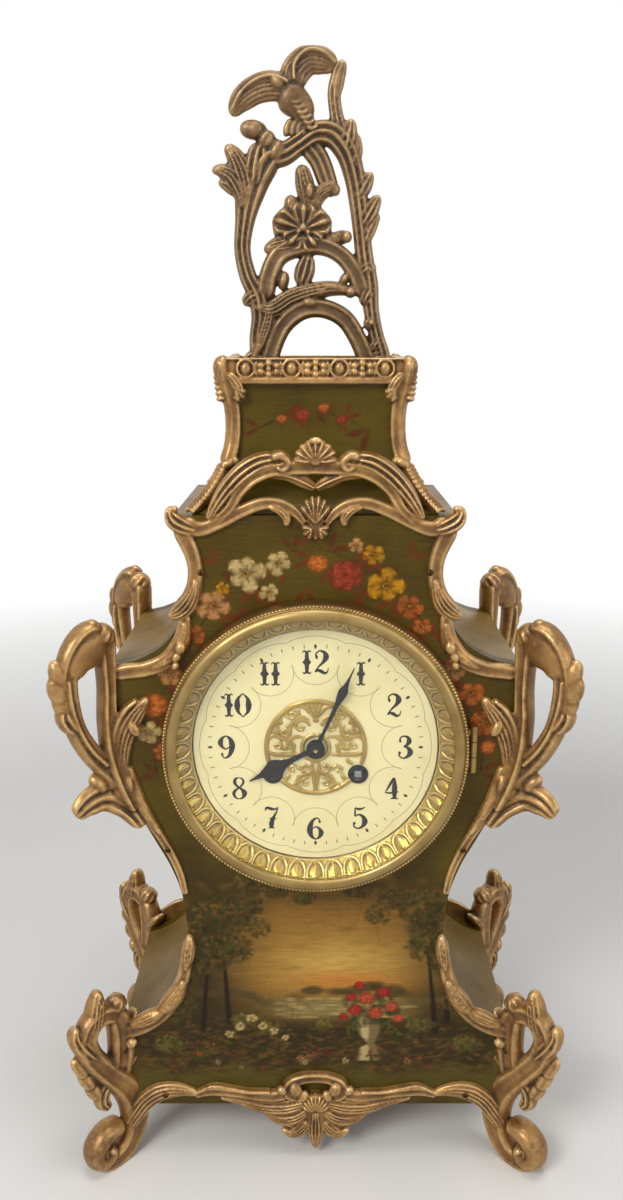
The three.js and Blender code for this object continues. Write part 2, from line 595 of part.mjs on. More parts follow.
const capCornerShares = [[1.03, 1.03, 0], [0.955, 0.96, 0.35], [0.97, 0.975, 0.65], [1.0, 1.0, 0.8],
  [1.08, 1.07, 0.93], [1.08, 1.07, 1.12]];
const capCornerWidthShares = [1, 0.8, 0.75, 0.85, 1.15, 0.8];
const huskShares = [[0.02, 1.1, 1], [0.2, 0.66, 1], [0.45, 0.4, 1.15], [0.7, 0.2, 0.85],
  [0.9, 0.08, 0.4]];
const capCorner = joined(
  bar(capCornerShares.map(([sx, sy, rise], i) => ({
    p: new THREE.Vector3(CAP_HALF * sx, -CAP_HALF_DEPTH * sy, CAP_Z + CAP_RISE * rise),
    w: CORNER_BAR * capCornerWidthShares[i],
    h: CORNER_BAR * capCornerWidthShares[i],
  })), diagonal),
  bar(huskShares.map(([out, rise, width]) => ({
    p: new THREE.Vector3(mix(CAP_HALF, ROOF_HALF, out) + CORNER_BAR * 0.4,
      -mix(CAP_HALF_DEPTH, ROOF_HALF_DEPTH, out) - CORNER_BAR * 0.4, ROOF_Z + ROOF_RISE * rise),
    w: CORNER_BAR * width,
    h: CORNER_BAR * width,
  })), diagonal),
).subtract(grownCap).subtract(grownGallery).subtract(grownCase);
for (const [corner, signX, signY] of corners) {
  place(`cap_corner_${corner}`, reflected(capCorner, signX, signY), giltBronze);
}

// Finial: openwork frame, blossom and bird

const loopShares = [[-0.76, 0.2, 1.1], [-0.9, 0.3, 0.95], [-1.01, 0.42, 0.95], [-0.957, 0.53, 1.1],
  [-0.871, 0.606, 1.4], [-0.743, 0.675, 1.7], [-0.571, 0.706, 1.5], [-0.371, 0.696, 1.2],
    [-0.171, 0.73, 1.2],
  [0.057, 0.758, 1.4], [0.257, 0.751, 1.3], [0.43, 0.696, 1.2], [0.557, 0.613, 1.1], [0.623, 0.523, 1],
  [0.629, 0.39, 0.9], [0.671, 0.267, 1], [0.757, 0.178, 0.9], [0.843, 0.088, 0.85], [0.914, 0, 0.9]];
const legShares = [[-0.9, 0, 0.9], [-0.86, 0.1, 0.8], [-0.76, 0.25, 1.2]];
const archShares = [[-0.686, 0, 1], [-0.6, 0.08, 0.9], [-0.43, 0.155, 0.95], [-0.15, 0.208, 1.05],
  [0.12, 0.212, 1.05],
  [0.37, 0.18, 1], [0.56, 0.11, 0.9], [0.74, 0, 1]];
const garlandShares = [[-0.82, 0.226, 1.2], [-0.486, 0.243, 1.2], [-0.143, 0.252, 1.2],
  [0.171, 0.245, 1.2],
  [0.72, 0.2, 1.1]];
const twigShares = [[0.343, 0.72, 1], [0.3, 0.806, 0.8], [0.271, 0.876, 0.75], [0.314, 0.93, 0.85],
  [0.357, 0.98, 0.3]];
const fanShares = [
  [[-0.86, 0.62, 1.2], [-1.086, 0.641, 1.1], [-1.3, 0.648, 0.7], [-1.4, 0.637, 0.25]],
  [[-0.82, 0.64, 1.2], [-1.1, 0.69, 0.9], [-1.229, 0.724, 0.3]],
  [[0.486, 0.68, 0.9], [0.53, 0.758, 0.9], [0.471, 0.81, 0.3]],
  [[0.6, 0.49, 0.9], [0.8, 0.53, 0.9], [0.91, 0.575, 0.3]],
  [[0.03, 0.74, 1.2], [0.114, 0.682, 1.2], [0.2, 0.613, 1.2], [0.3, 0.565, 0.6]],
];
const seatArchShares = [
  [[-0.68, 0.23, 1.2], [-0.571, 0.323, 1.1], [-0.43, 0.385, 1.1], [-0.1, 0.4, 1.1], [0.171, 0.395, 1],
    [0.4, 0.365, 1],
    [0.66, 0.23, 1.1]],
  [[-0.12, 0.25, 1.1], [-0.143, 0.337, 1], [-0.08, 0.4, 1.1]],
];
const petalShares = [[-0.4, 0.44, 1.7, 1.1, 1, 0.35], [-0.12, 0.455, 2.2, 1.45, 1.1, 0],
  [-0.28, 0.5, 1.2, 1.1, 1.1, 0],
  [0, 0.505, 1.1, 1.1, 1.1, 0], [0.16, 0.45, 1.4, 1, 0.9, -0.35], [-0.12, 0.57, 0.7, 0.6, 1.4, 0.1]];
const wingShares = [
  [[-0.36, 0.875, 1.5], [-0.66, 0.89, 1.7], [-0.92, 0.866, 1.6], [-1.12, 0.81, 0.5]],
  [[-0.2, 0.87, 1.5], [-0.13, 0.945, 1.7], [0.03, 0.982, 1.6], [0.29, 0.945, 0.6]],
];
const birdShares = [[-0.25, 0.86, 1, 1.1, 1.5, 0.3], [-0.46, 0.902, 0.85, 0.7, 0.65, 0.2],
  [-0.14, 0.8, 0.7, 0.7, 1.1, -0.3]];

const onFinial = (sx, rise) => new THREE.Vector3(FINIAL_HALF * sx, 0, FINIAL_Z + FINIAL_RISE * rise);
const finialBar = (rows, thick, grow = 0) => bar(rows.map(([sx, rise, width]) =>
  ({ p: onFinial(sx, rise), w: FINIAL_BAR * width, h: FINIAL_DEPTH * thick })), frontOut, grow);
const finialLumps = (rows) => joined(rows.map(([sx, rise, rx, ry, rz, lean]) =>
  lump(onFinial(sx, rise), [PETAL * rx, PETAL * ry, PETAL * rz], lean, 6, 4)));
const underLevel = (rise) => block(-FINIAL_HALF * 2, FINIAL_HALF * 2, -FINIAL_HALF, FINIAL_HALF,
  FINIAL_Z - OVERRUN, FINIAL_Z + FINIAL_RISE * rise);

const finialFrame = (grow) => joined(
  finialBar(loopShares, 1, grow), finialBar(legShares, 1, grow), finialBar(archShares, 1.1, grow),
  finialBar(garlandShares, 1.25, grow), finialBar(twigShares, 0.7, grow),
  fanShares.map((rows) => finialBar(rows, 0.8, grow)),
  seatArchShares.map((rows) => finialBar(rows, 1.1, grow)),
);
place('finial_frame', finialFrame(0).subtract(underLevel(0)), giltBronze);
const frameGap = finialFrame(SEAT);
place('finial_blossom', finialLumps(petalShares).subtract(frameGap).subtract(underLevel(BLOSSOM_SEAT)),
  giltBronze);
place('finial_bird', joined(finialLumps(birdShares),
  finialBar([[-0.4, 0.9, 0.9], [-0.72, 0.893, 0.3]], 0.3), wingShares.map((rows) => finialBar(rows, 0.5)),
).subtract(frameGap), giltBronze);

// Fixed dial ring with its hinge knuckles, hinge pin and the two straps that clamp the back

const RING_Y = FACE_Y - SEAT;
const hingeY = RING_Y - RING_FLANGE - HINGE_RADIUS - SEAT;
const kneeZ = HINGE_KNUCKLE / 2;
const ringBore = DIAL_RADIUS - RING_LEDGE;

// Two knuckles joined by their pin, and the clear space for the third knuckle between them
const outerKnuckles = (x, y) => joined(
  upright(HINGE_RADIUS, x, y, DIAL_Z + kneeZ + SEAT, DIAL_Z + kneeZ * 3),
  upright(HINGE_RADIUS, x, y, DIAL_Z - kneeZ * 3, DIAL_Z - kneeZ - SEAT),
  upright(PIN_RADIUS, x, y, DIAL_Z - kneeZ * 2, DIAL_Z + kneeZ * 2),
);
const knuckleSpace = (x, y) => upright(HINGE_RADIUS + SEAT * 2, x, y, DIAL_Z - kneeZ - SEAT,
  DIAL_Z + kneeZ + SEAT);
const middleKnuckle = (x, y) => upright(HINGE_RADIUS, x, y, DIAL_Z - kneeZ, DIAL_Z + kneeZ);
const pinBore = (x, y) => upright(PIN_RADIUS + RUNNING, x, y, DIAL_Z - OVERRUN, DIAL_Z + OVERRUN);

const ringLeaf = block(Math.min(RING_RADIUS - HINGE_LEAF, HINGE_X - HINGE_RADIUS),
  HINGE_X + HINGE_RADIUS * 0.5, RING_Y - RING_FLANGE,
  RING_Y, DIAL_Z - kneeZ * 3, DIAL_Z + kneeZ * 3);
const leafNeck = block(HINGE_X - HINGE_RADIUS * 0.6, HINGE_X + HINGE_RADIUS * 0.5, hingeY,
  RING_Y - RING_FLANGE / 2, DIAL_Z - kneeZ * 3, DIAL_Z + kneeZ * 3);
const strapOuter = ringBore + STRAP_THICK / 2;
const strapFootY = BACK_Y - BOARD - SEAT;
const strapRight = joined(
  block(strapOuter - STRAP_THICK, strapOuter, RING_Y + RING_SLEEVE * 0.3, strapFootY,
    DIAL_Z - STRAP_WIDE / 2, DIAL_Z + STRAP_WIDE / 2),
  block(strapOuter - STRAP_WIDE, strapOuter, strapFootY - STRAP_THICK, strapFootY,
    DIAL_Z - STRAP_WIDE / 2, DIAL_Z + STRAP_WIDE / 2));
place('dial_ring', joined(
  turned([[ringBore, RING_Y - SEAT], [DIAL_RADIUS + SEAT, RING_Y - SEAT],
    [DIAL_RADIUS + SEAT, RING_Y - RING_FLANGE],
    [RING_RADIUS, RING_Y - RING_FLANGE], [RING_RADIUS, RING_Y], [RING_SLEEVE_RADIUS, RING_Y],
    [RING_SLEEVE_RADIUS, RING_Y + RING_SLEEVE], [ringBore, RING_Y + RING_SLEEVE],
      [ringBore, RING_Y - SEAT]],
  0, DIAL_Z, 28),
  ringLeaf.add(leafNeck).subtract(knuckleSpace(HINGE_X, hingeY)), outerKnuckles(HINGE_X, hingeY),
  bothSides(strapRight)), brass);

// Bezel door: bezel, bevelled glass and sight ring

const BEZEL_Y = RING_Y - RING_FLANGE - SEAT;
const bezelFront = BEZEL_Y - BEZEL_DEPTH;
const bezelBore = BEZEL_RADIUS - BEZEL_WALL;
const lipY = bezelFront + BEZEL_DEPTH * 0.18;
const bezelShares = [[0.905, 1], [0.945, 0.92], [0.962, 0.52], [1.004, 0.4], [1, 0]];
const bezelBody = turned([
  [bezelBore, BEZEL_Y], [bezelBore, lipY], [BEZEL_INNER, lipY],
  ...bezelShares.map(([radius, deep]) => [BEZEL_RADIUS * radius, BEZEL_Y - BEZEL_DEPTH * deep]),
  [bezelBore, BEZEL_Y]], 0, DIAL_Z, 28);
const bezelArm = block(BEZEL_RADIUS - RING_FLANGE, HINGE_X, hingeY - HINGE_RADIUS * 0.6,
  hingeY + HINGE_RADIUS * 0.4,
  DIAL_Z - kneeZ, DIAL_Z + kneeZ);
place('bezel_ring', joined(bezelBody, bezelArm, middleKnuckle(HINGE_X, hingeY)).subtract(pinBore(HINGE_X,
  hingeY)), brass);
const glassFront = lipY + SEAT;
const glassRadius = bezelBore - SEAT;
place('bezel_glass', turned([[0, glassFront], [glassRadius * 0.94, glassFront],
  [glassRadius, glassFront + GLASS_THICK / 2],
  [glassRadius, glassFront + GLASS_THICK], [0, glassFront + GLASS_THICK]], 0, DIAL_Z, 28), glassFinish);
const sightFront = glassFront + GLASS_THICK + SEAT;
const sightInner = glassRadius - SIGHT_WIDTH;
place('sight_ring', turned([[sightInner, BEZEL_Y - SEAT], [glassRadius, sightFront],
  [glassRadius, BEZEL_Y - SEAT],
  [sightInner, BEZEL_Y - SEAT]], 0, DIAL_Z, 28), brightGilt);

// Dial, ferrules, pierced centre and hands

const dialBack = RING_Y - SEAT * 2;
const dialFront = dialBack - DIAL_THICK;
const windingZ = DIAL_Z - WINDING_DROP;
const holeRadius = WINDING_RADIUS + SEAT * 2;
const hubHole = circle(HOUR_PIPE_RADIUS + SEAT * 2, 12, 0, DIAL_Z);
const windingHoles = [-1, 1].map((side) => circle(holeRadius, 12, side * WINDING_X, windingZ));
place('dial', slabY(circle(DIAL_RADIUS, 28, 0, DIAL_Z), dialFront, dialBack, [hubHole, ...windingHoles]),
  enamel);
for (const [side, sign] of [['left', -1], ['right', 1]]) {
  place(`winding_ferrule_${side}`, turned([[holeRadius, dialFront - SEAT],
    [holeRadius, dialFront - SEAT * 4],
    [FERRULE_RADIUS * 0.85, dialFront - SEAT * 5], [FERRULE_RADIUS, dialFront - SEAT],
      [holeRadius, dialFront - SEAT]],
  sign * WINDING_X, windingZ, 12), bluedSteel);
}

const windowShares = [[0.3, 0.32], [0.9, 0.38]];
const ornamentWindows = Array.from({ length: ORNAMENT_WINDOWS }, (_, i) => {
  const middle = ROUND * (i + 0.5) / ORNAMENT_WINDOWS;
  const half = ROUND / ORNAMENT_WINDOWS;
  const side = (sign) => windowShares.map(([radius, spread]) => new THREE.Vector2(
    ORNAMENT_RADIUS * radius * Math.cos(middle + sign * spread * half),
    DIAL_Z + ORNAMENT_RADIUS * radius * Math.sin(middle + sign * spread * half)));
  return [...side(-1), ...side(1).reverse()];
});
const ferruleBores = joined([-1, 1].map((side) =>
  rod(FERRULE_RADIUS + SEAT, FACE_Y * 2, 0, side * WINDING_X, windingZ, 12)));
const ornamentY = dialFront - SEAT - ORNAMENT_THICK;
place('dial_centre_ornament', slabY(circle(ORNAMENT_RADIUS, 24, 0, DIAL_Z), ornamentY, dialFront - SEAT,
  [hubHole, ...ornamentWindows]).subtract(ferruleBores), brightGilt);

const minuteShares = [[0, 0.03], [0.16, 0.028], [0.55, 0.03], [0.68, 0.062], [0.86, 0.016], [1, 0.004]];
const hourShares = [[0, 0.035], [0.3, 0.035], [0.42, 0.06], [0.56, 0.135], [0.68, 0.06], [0.84, 0.02],
  [1, 0.006]];

function hand(rows, length, angle, y) {
  const side = (sign) => rows.map(([along, half]) => {
    const [a, h] = [length * along, length * half * sign];
    return new THREE.Vector2(a * Math.sin(angle) + h * Math.cos(angle),
      DIAL_Z + a * Math.cos(angle) - h * Math.sin(angle));
  });
  const blade = slabY([...side(-1), ...side(1).reverse()], y, y + HAND_THICK);
  return blade.add(rod(HAND_HUB, y, y + HAND_THICK, 0, DIAL_Z, 16));
}

const hourY = ornamentY - HAND_THICK - SEAT * 2;
const minuteY = hourY - HAND_THICK - SEAT * 3;
const colletTip = minuteY - SEAT * 5;
const throughBore = (radius, segments) => rod(radius, -CASE_DEPTH, CASE_DEPTH, 0, DIAL_Z, segments);
place('hour_hand', hand(hourShares, HOUR_LENGTH, HOUR_ANGLE, hourY)
  .subtract(throughBore(HOUR_PIPE_RADIUS + RUNNING, 12)), bluedSteel);
place('minute_hand', joined(hand(minuteShares, MINUTE_LENGTH, MINUTE_ANGLE, minuteY),
  turned([[0, colletTip], [COLLET_RADIUS * 0.7, colletTip], [COLLET_RADIUS, minuteY], [0, minuteY]],
    0, DIAL_Z, 16),
).subtract(throughBore(CANNON_RADIUS + RUNNING, 12)), bluedSteel);

// Wheels

// A toothed outline with one tooth pointing at the angle of its mate, or a gap there for a pinion.
function gear(teeth, module, mate, gapFirst, y0, y1, [x, z]) {
  const pitch = teeth * module / 2;
  const points = Array.from({ length: teeth * 2 }, (_, i) => {
    const tip = (i % 2 === 0) !== gapFirst;
    const radius = pitch + module * (tip ? TOOTH_TIP : -TOOTH_ROOT);
    const angle = mate + ROUND * i / (teeth * 2);
    return new THREE.Vector2(x + radius * Math.cos(angle), z + radius * Math.sin(angle));
  });
  return slabY(points, y0, y1);
}

// A saw-toothed outline, as on an escape wheel or a ratchet.
function saw(teeth, radius, depth, lean, y0, y1, [x, z]) {
  const points = Array.from({ length: teeth * 2 }, (_, i) => {
    const r = radius * (i % 2 === 0 ? 1 : depth);
    const angle = ROUND * (i % 2 === 0 ? i : i + lean) / (teeth * 2);
    return new THREE.Vector2(x + r * Math.cos(angle), z + r * Math.sin(angle));
  });
  return slabY(points, y0, y1);
}

const plateFrontBack = FRONT_PLATE_Y + PLATE_THICK;
const backPlateY = plateFrontBack + PLATE_GAP;
const backPlateBack = backPlateY + PLATE_THICK;
const ROD_Y = backPlateBack + ROD_OUT;
const headingTo = ([x0, z0], [x1, z1]) => Math.atan2(z1 - z0, x1 - x0);

// The place of an arbor at distance a from one centre and b from another, left or right of the line.
function meet([x0, z0], a, [x1, z1], b, side) {
  const gap = Math.hypot(x1 - x0, z1 - z0);
  const along = (a * a - b * b + gap * gap) / (2 * gap);
  const out = Math.sqrt(a * a - along * along) * side;
  const [ux, uz] = [(x1 - x0) / gap, (z1 - z0) / gap];
  return [x0 + ux * along - uz * out, z0 + uz * along + ux * out];
}

const reach = (teeth, leaves, module) => (teeth + leaves) * module / 2;
const beside = ([x, z], distance, angle) => [x + distance * Math.cos(angle),
  z + distance * Math.sin(angle)];
const centreAt = [0, DIAL_Z];
const goingAt = [WINDING_X, windingZ];
const strikeAt = [-WINDING_X, windingZ];
const secondAt = meet(goingAt, reach(TEETH.great, LEAVES.great, GREAT_MODULE), centreAt,
  reach(TEETH.second, LEAVES.second, SECOND_MODULE), -1);
const thirdAt = [0, DIAL_Z + reach(TEETH.centre, LEAVES.centre, CENTRE_MODULE)];
const escapeAt = [0, thirdAt[1] + reach(TEETH.third, LEAVES.third, THIRD_MODULE)];
const palletAt = [0, escapeAt[1] + PALLET_RISE];
const pinAt = [-secondAt[0], secondAt[1]];
const lockAt = beside(pinAt, reach(TEETH.pin, LEAVES.pin, PIN_MODULE), LOCK_TURN);
const flyAt = beside(lockAt, reach(TEETH.lock, LEAVES.lock, LOCK_MODULE), FLY_TURN);
const minuteWheelAt = [0, DIAL_Z - reach(TEETH.minute, LEAVES.cannon, CANNON_MODULE)];
const hammerAt = [HAMMER_X, DIAL_Z + HAMMER_RISE];

// Heights of the wheel planes between the plates, as shares of the space
const planeShares = { great: 0.62, second: 0.8, centre: 0.88, third: 0.3, escape: 0.12, pin: 0.8,
  lock: 0.45 };
const plane = (name) => plateFrontBack + PLATE_GAP * planeShares[name];

const arbor = (spot, back = backPlateBack) => rod(ARBOR_RADIUS, FRONT_PLATE_Y, back, ...spot,
  PIVOT_SIDES);
const wheel = (teeth, module, spot, mate, name) =>
  gear(teeth, module, headingTo(spot, mate), false, plane(name), plane(name) + WHEEL_THICK, spot);
const pinion = (leaves, module, spot, mate, name) => gear(leaves, module, headingTo(spot, mate), true,
  plane(name) + (WHEEL_THICK - PINION_LENGTH) / 2, plane(name) + (WHEEL_THICK + PINION_LENGTH) / 2, spot);

place('second_wheel', joined(arbor(secondAt), wheel(TEETH.second, SECOND_MODULE, secondAt, centreAt,
  'second'),
  pinion(LEAVES.great, GREAT_MODULE, secondAt, goingAt, 'great')), brass);
place('centre_wheel', joined(rod(CENTRE_RADIUS, colletTip, backPlateBack, ...centreAt, 8),
  wheel(TEETH.centre, CENTRE_MODULE, centreAt, thirdAt, 'centre'),
  pinion(LEAVES.second, SECOND_MODULE, centreAt, secondAt, 'second')), brass);
place('third_wheel', joined(arbor(thirdAt), wheel(TEETH.third, THIRD_MODULE, thirdAt, escapeAt, 'third'),
  pinion(LEAVES.centre, CENTRE_MODULE, thirdAt, centreAt, 'centre')), brass);
place('escape_wheel', joined(arbor(escapeAt), pinion(LEAVES.third, THIRD_MODULE, escapeAt, thirdAt,
  'third'),
  saw(TEETH.escape, ESCAPE_RADIUS, 0.84, 0.55, plane('escape'),
    plane('escape') + WHEEL_THICK, escapeAt)), brass);

// Barrels, each with its great wheel, and the winding arbors that turn inside them

const ratchetY = FRONT_PLATE_Y - SEAT - WHEEL_THICK;
for (const [side, spot, mate] of [['going', goingAt, secondAt], ['strike', strikeAt, pinAt]]) {
  place(`${side}_barrel`, joined(rod(DRUM_RADIUS, plane('great') - DRUM_LENGTH, plane('great'),
    ...spot, 16),
    wheel(TEETH.great, GREAT_MODULE, spot, mate, 'great'),
  ).subtract(rod(WINDING_RADIUS + RUNNING, -CASE_DEPTH, CASE_DEPTH, ...spot, 12)), brass);
  place(`${side}_winding_arbor`, joined(
    rod(WINDING_RADIUS, ratchetY - SEAT, backPlateBack, ...spot, 12),
    saw(RATCHET_TEETH, RATCHET_RADIUS, 0.8, 0.8, ratchetY, FRONT_PLATE_Y - SEAT, spot),
    block(spot[0] - SQUARE_HALF, spot[0] + SQUARE_HALF, dialFront - SEAT * 2, ratchetY,
      spot[1] - SQUARE_HALF, spot[1] + SQUARE_HALF)), steel);
}

// Strike train

const pinCircle = TEETH.pin * PIN_MODULE * 0.36;
const liftPins = Array.from({ length: LIFT_PINS }, (_, i) => rod(ARBOR_RADIUS, plane('pin') - WHEEL_THICK,
  plane('pin') + WHEEL_THICK / 2, ...beside(pinAt, pinCircle, ROUND * i / LIFT_PINS), 4));
place('pin_wheel', joined(arbor(pinAt), wheel(TEETH.pin, PIN_MODULE, pinAt, lockAt, 'pin'),
  pinion(LEAVES.great, GREAT_MODULE, pinAt, strikeAt, 'great'), liftPins), brass);
place('locking_wheel', joined(arbor(lockAt), wheel(TEETH.lock, LOCK_MODULE, lockAt, flyAt, 'lock'),
  pinion(LEAVES.pin, PIN_MODULE, lockAt, pinAt, 'pin')), brass);
place('fly', joined(arbor(flyAt), pinion(LEAVES.lock, LOCK_MODULE, flyAt, lockAt, 'lock'),
  block(flyAt[0] - FLY_HALF, flyAt[0] + FLY_HALF, plateFrontBack + PLATE_GAP * 0.6,
    plateFrontBack + PLATE_GAP * 0.95,
    flyAt[1] - ARBOR_RADIUS / 2, flyAt[1] + ARBOR_RADIUS / 2)), brass);

// Motion work under the dial

const motionY = FRONT_PLATE_Y - WHEEL_THICK - SEAT;
const hourWheelY = motionY - WHEEL_THICK * 1.6;
place('cannon_pinion', joined(
  gear(LEAVES.cannon, CANNON_MODULE, -Math.PI / 2, true, motionY - SEAT, motionY + WHEEL_THICK, centreAt),
  rod(CANNON_RADIUS, minuteY, motionY, ...centreAt, 12),
).subtract(throughBore(CENTRE_RADIUS + RUNNING, 8)), steel);
place('minute_wheel', joined(
  gear(TEETH.minute, CANNON_MODULE, Math.PI / 2, false, motionY, motionY + WHEEL_THICK * 0.7,
    minuteWheelAt),
  gear(LEAVES.minute, HOUR_MODULE, Math.PI / 2, true, hourWheelY - SEAT, motionY + SEAT, minuteWheelAt),
  rod(ARBOR_RADIUS, hourWheelY - SEAT, plateFrontBack, ...minuteWheelAt, PIVOT_SIDES)), brass);
place('hour_wheel', joined(
  gear(TEETH.hour, HOUR_MODULE, -Math.PI / 2, false, hourWheelY, hourWheelY + WHEEL_THICK * 0.6,
    centreAt),
  rod(HOUR_PIPE_RADIUS, hourY, hourWheelY + SEAT, ...centreAt, 12),
).subtract(throughBore(CANNON_RADIUS + RUNNING, 12)), brass);

// Plates and pillars

const pivotHoles = [secondAt, thirdAt, escapeAt, pinAt, lockAt, flyAt, palletAt, hammerAt]
  .map(([x, z]) => circle(ARBOR_RADIUS + RUNNING, PIVOT_SIDES, x, z, Math.PI / 2));
const windingBores = [goingAt, strikeAt].map(([x, z]) => circle(WINDING_RADIUS + RUNNING, 12, x, z,
  Math.PI / 2));
const lugReach = ringBore - SEAT * 3;
const polar = (radius, degrees) => new THREE.Vector2(radius * Math.cos(THREE.MathUtils.degToRad(degrees)),
  DIAL_Z + radius * Math.sin(THREE.MathUtils.degToRad(degrees)));
const lugTurn = THREE.MathUtils.radToDeg(LUG_HALF / PLATE_RADIUS);
const frontOutline = [0, 1, 2].flatMap((i) => {
  const middle = 90 + i * 120;
  return [polar(lugReach, middle - lugTurn * 0.8), polar(lugReach, middle),
    polar(lugReach, middle + lugTurn * 0.8),
    ...Array.from({ length: 8 }, (_, k) => polar(PLATE_RADIUS,
      middle + lugTurn + (120 - lugTurn * 2) * k / 7))];
});
place('front_plate', slabY(frontOutline, FRONT_PLATE_Y, plateFrontBack, [...pivotHoles, ...windingBores,
  circle(ARBOR_RADIUS + RUNNING, PIVOT_SIDES, ...minuteWheelAt, Math.PI / 2),
  circle(CENTRE_RADIUS + RUNNING, 8, ...centreAt, Math.PI / 2)]), brass);
const pillars = PILLAR_ANGLES.map((angle) => {
  const spot = polar(PILLAR_CIRCLE, angle);
  return rod(PILLAR_RADIUS, plateFrontBack + SEAT, backPlateY + PLATE_THICK / 2, spot.x, spot.y, 6);
});
place('back_plate', joined(slabY(circle(PLATE_RADIUS, 24, 0, DIAL_Z), backPlateY, backPlateBack,
  [...pivotHoles, ...windingBores, circle(CENTRE_RADIUS + RUNNING, 8, ...centreAt, Math.PI / 2)]),
    pillars), brass);

// Pallets with the crutch, suspension cock and pendulum

const palletY = plane('escape') + WHEEL_THICK / 2;
const palletTipRadius = ESCAPE_RADIUS + SEAT * 4 + LEVER_HALF * 0.5;
const onPallets = (x, z) => ({ p: new THREE.Vector3(x, palletY, z),
  w: LEVER_HALF * 0.7, h: WHEEL_THICK * 0.7 });
const palletArms = bar([-1, 1].flatMap((side) => {
  const [x, z] = beside(escapeAt, palletTipRadius, Math.PI * (0.5 - side * PALLET_SPREAD));
  const rows = [onPallets(x, z), onPallets(x * 1.05, palletAt[1] - PALLET_RISE * 0.15)];
  return side < 0 ? rows : rows.reverse();
}), frontOut);
const leverY = backPlateBack + WHEEL_THICK;
const crutchFoot = palletAt[1] - CRUTCH_LENGTH;
const forkHalf = ROD_RADIUS + RUNNING * 2;
place('pallets', joined(
  arbor(palletAt, leverY + WHEEL_THICK), palletArms,
  block(-LEVER_HALF, LEVER_HALF, palletY - WHEEL_THICK / 2, palletY + WHEEL_THICK / 2,
    palletAt[1] - PALLET_RISE * 0.2, palletAt[1] + ARBOR_RADIUS),
  block(-LEVER_HALF, LEVER_HALF, leverY, leverY + WHEEL_THICK, crutchFoot, palletAt[1] + ARBOR_RADIUS),
  block(-ROD_RADIUS * 2.2, ROD_RADIUS * 2.2, leverY, ROD_Y + ROD_RADIUS * 1.8, crutchFoot - ROD_RADIUS,
    crutchFoot + ROD_RADIUS),
).subtract(block(-forkHalf, forkHalf, leverY + WHEEL_THICK, ROD_Y + ROD_RADIUS * 4,
  crutchFoot - ROD_RADIUS * 2,
  crutchFoot + ROD_RADIUS * 2)), steel);

const cockZ = palletAt[1] + COCK_HALF * 0.9;
const cockTop = cockZ + COCK_HALF * 1.1;
const slotHalf = SPRING_THICK / 2 + SEAT * 4;
place('suspension_cock', joined(
  block(-COCK_HALF, COCK_HALF, backPlateBack + SEAT, backPlateBack + SEAT + PLATE_THICK,
    palletAt[1] + ARBOR_RADIUS * 3, cockTop),
  block(-COCK_HALF * 0.7, COCK_HALF * 0.7, backPlateBack + SEAT, ROD_Y + SPRING_HALF + PLATE_THICK,
    cockZ, cockTop),
).subtract(block(-slotHalf, slotHalf, ROD_Y - SPRING_HALF - SEAT, ROD_Y + SPRING_HALF + SEAT,
  cockZ - OVERRUN, cockZ + COCK_HALF * 0.9)), brass);
const bobZ = palletAt[1] - PENDULUM_LENGTH;
place('pendulum', joined(
  block(-SPRING_THICK / 2, SPRING_THICK / 2, ROD_Y - SPRING_HALF, ROD_Y + SPRING_HALF,
    palletAt[1] - COCK_HALF * 1.4, cockZ + COCK_HALF * 0.5),
  block(-ROD_RADIUS * 1.2, ROD_RADIUS * 1.2, ROD_Y - SPRING_HALF - SEAT, ROD_Y + SPRING_HALF + SEAT,
    palletAt[1] - COCK_HALF * 1.7, palletAt[1] - COCK_HALF * 0.8),
  upright(ROD_RADIUS, 0, ROD_Y, bobZ, palletAt[1] - COCK_HALF, 8),
  upright(ROD_RADIUS * 2, 0, ROD_Y, bobZ - BOB_RADIUS - ROD_RADIUS * 3, bobZ - BOB_RADIUS * 0.9, 8),
  turned([[0, ROD_Y - BOB_HALF], [BOB_RADIUS * 0.7, ROD_Y - BOB_HALF * 0.75],
    [BOB_RADIUS, ROD_Y - BOB_HALF * 0.15],
    [BOB_RADIUS, ROD_Y + BOB_HALF * 0.15], [BOB_RADIUS * 0.7, ROD_Y + BOB_HALF * 0.75],
      [0, ROD_Y + BOB_HALF]],
  0, bobZ, 16)), brass);

// Bell, its stand and the hammer

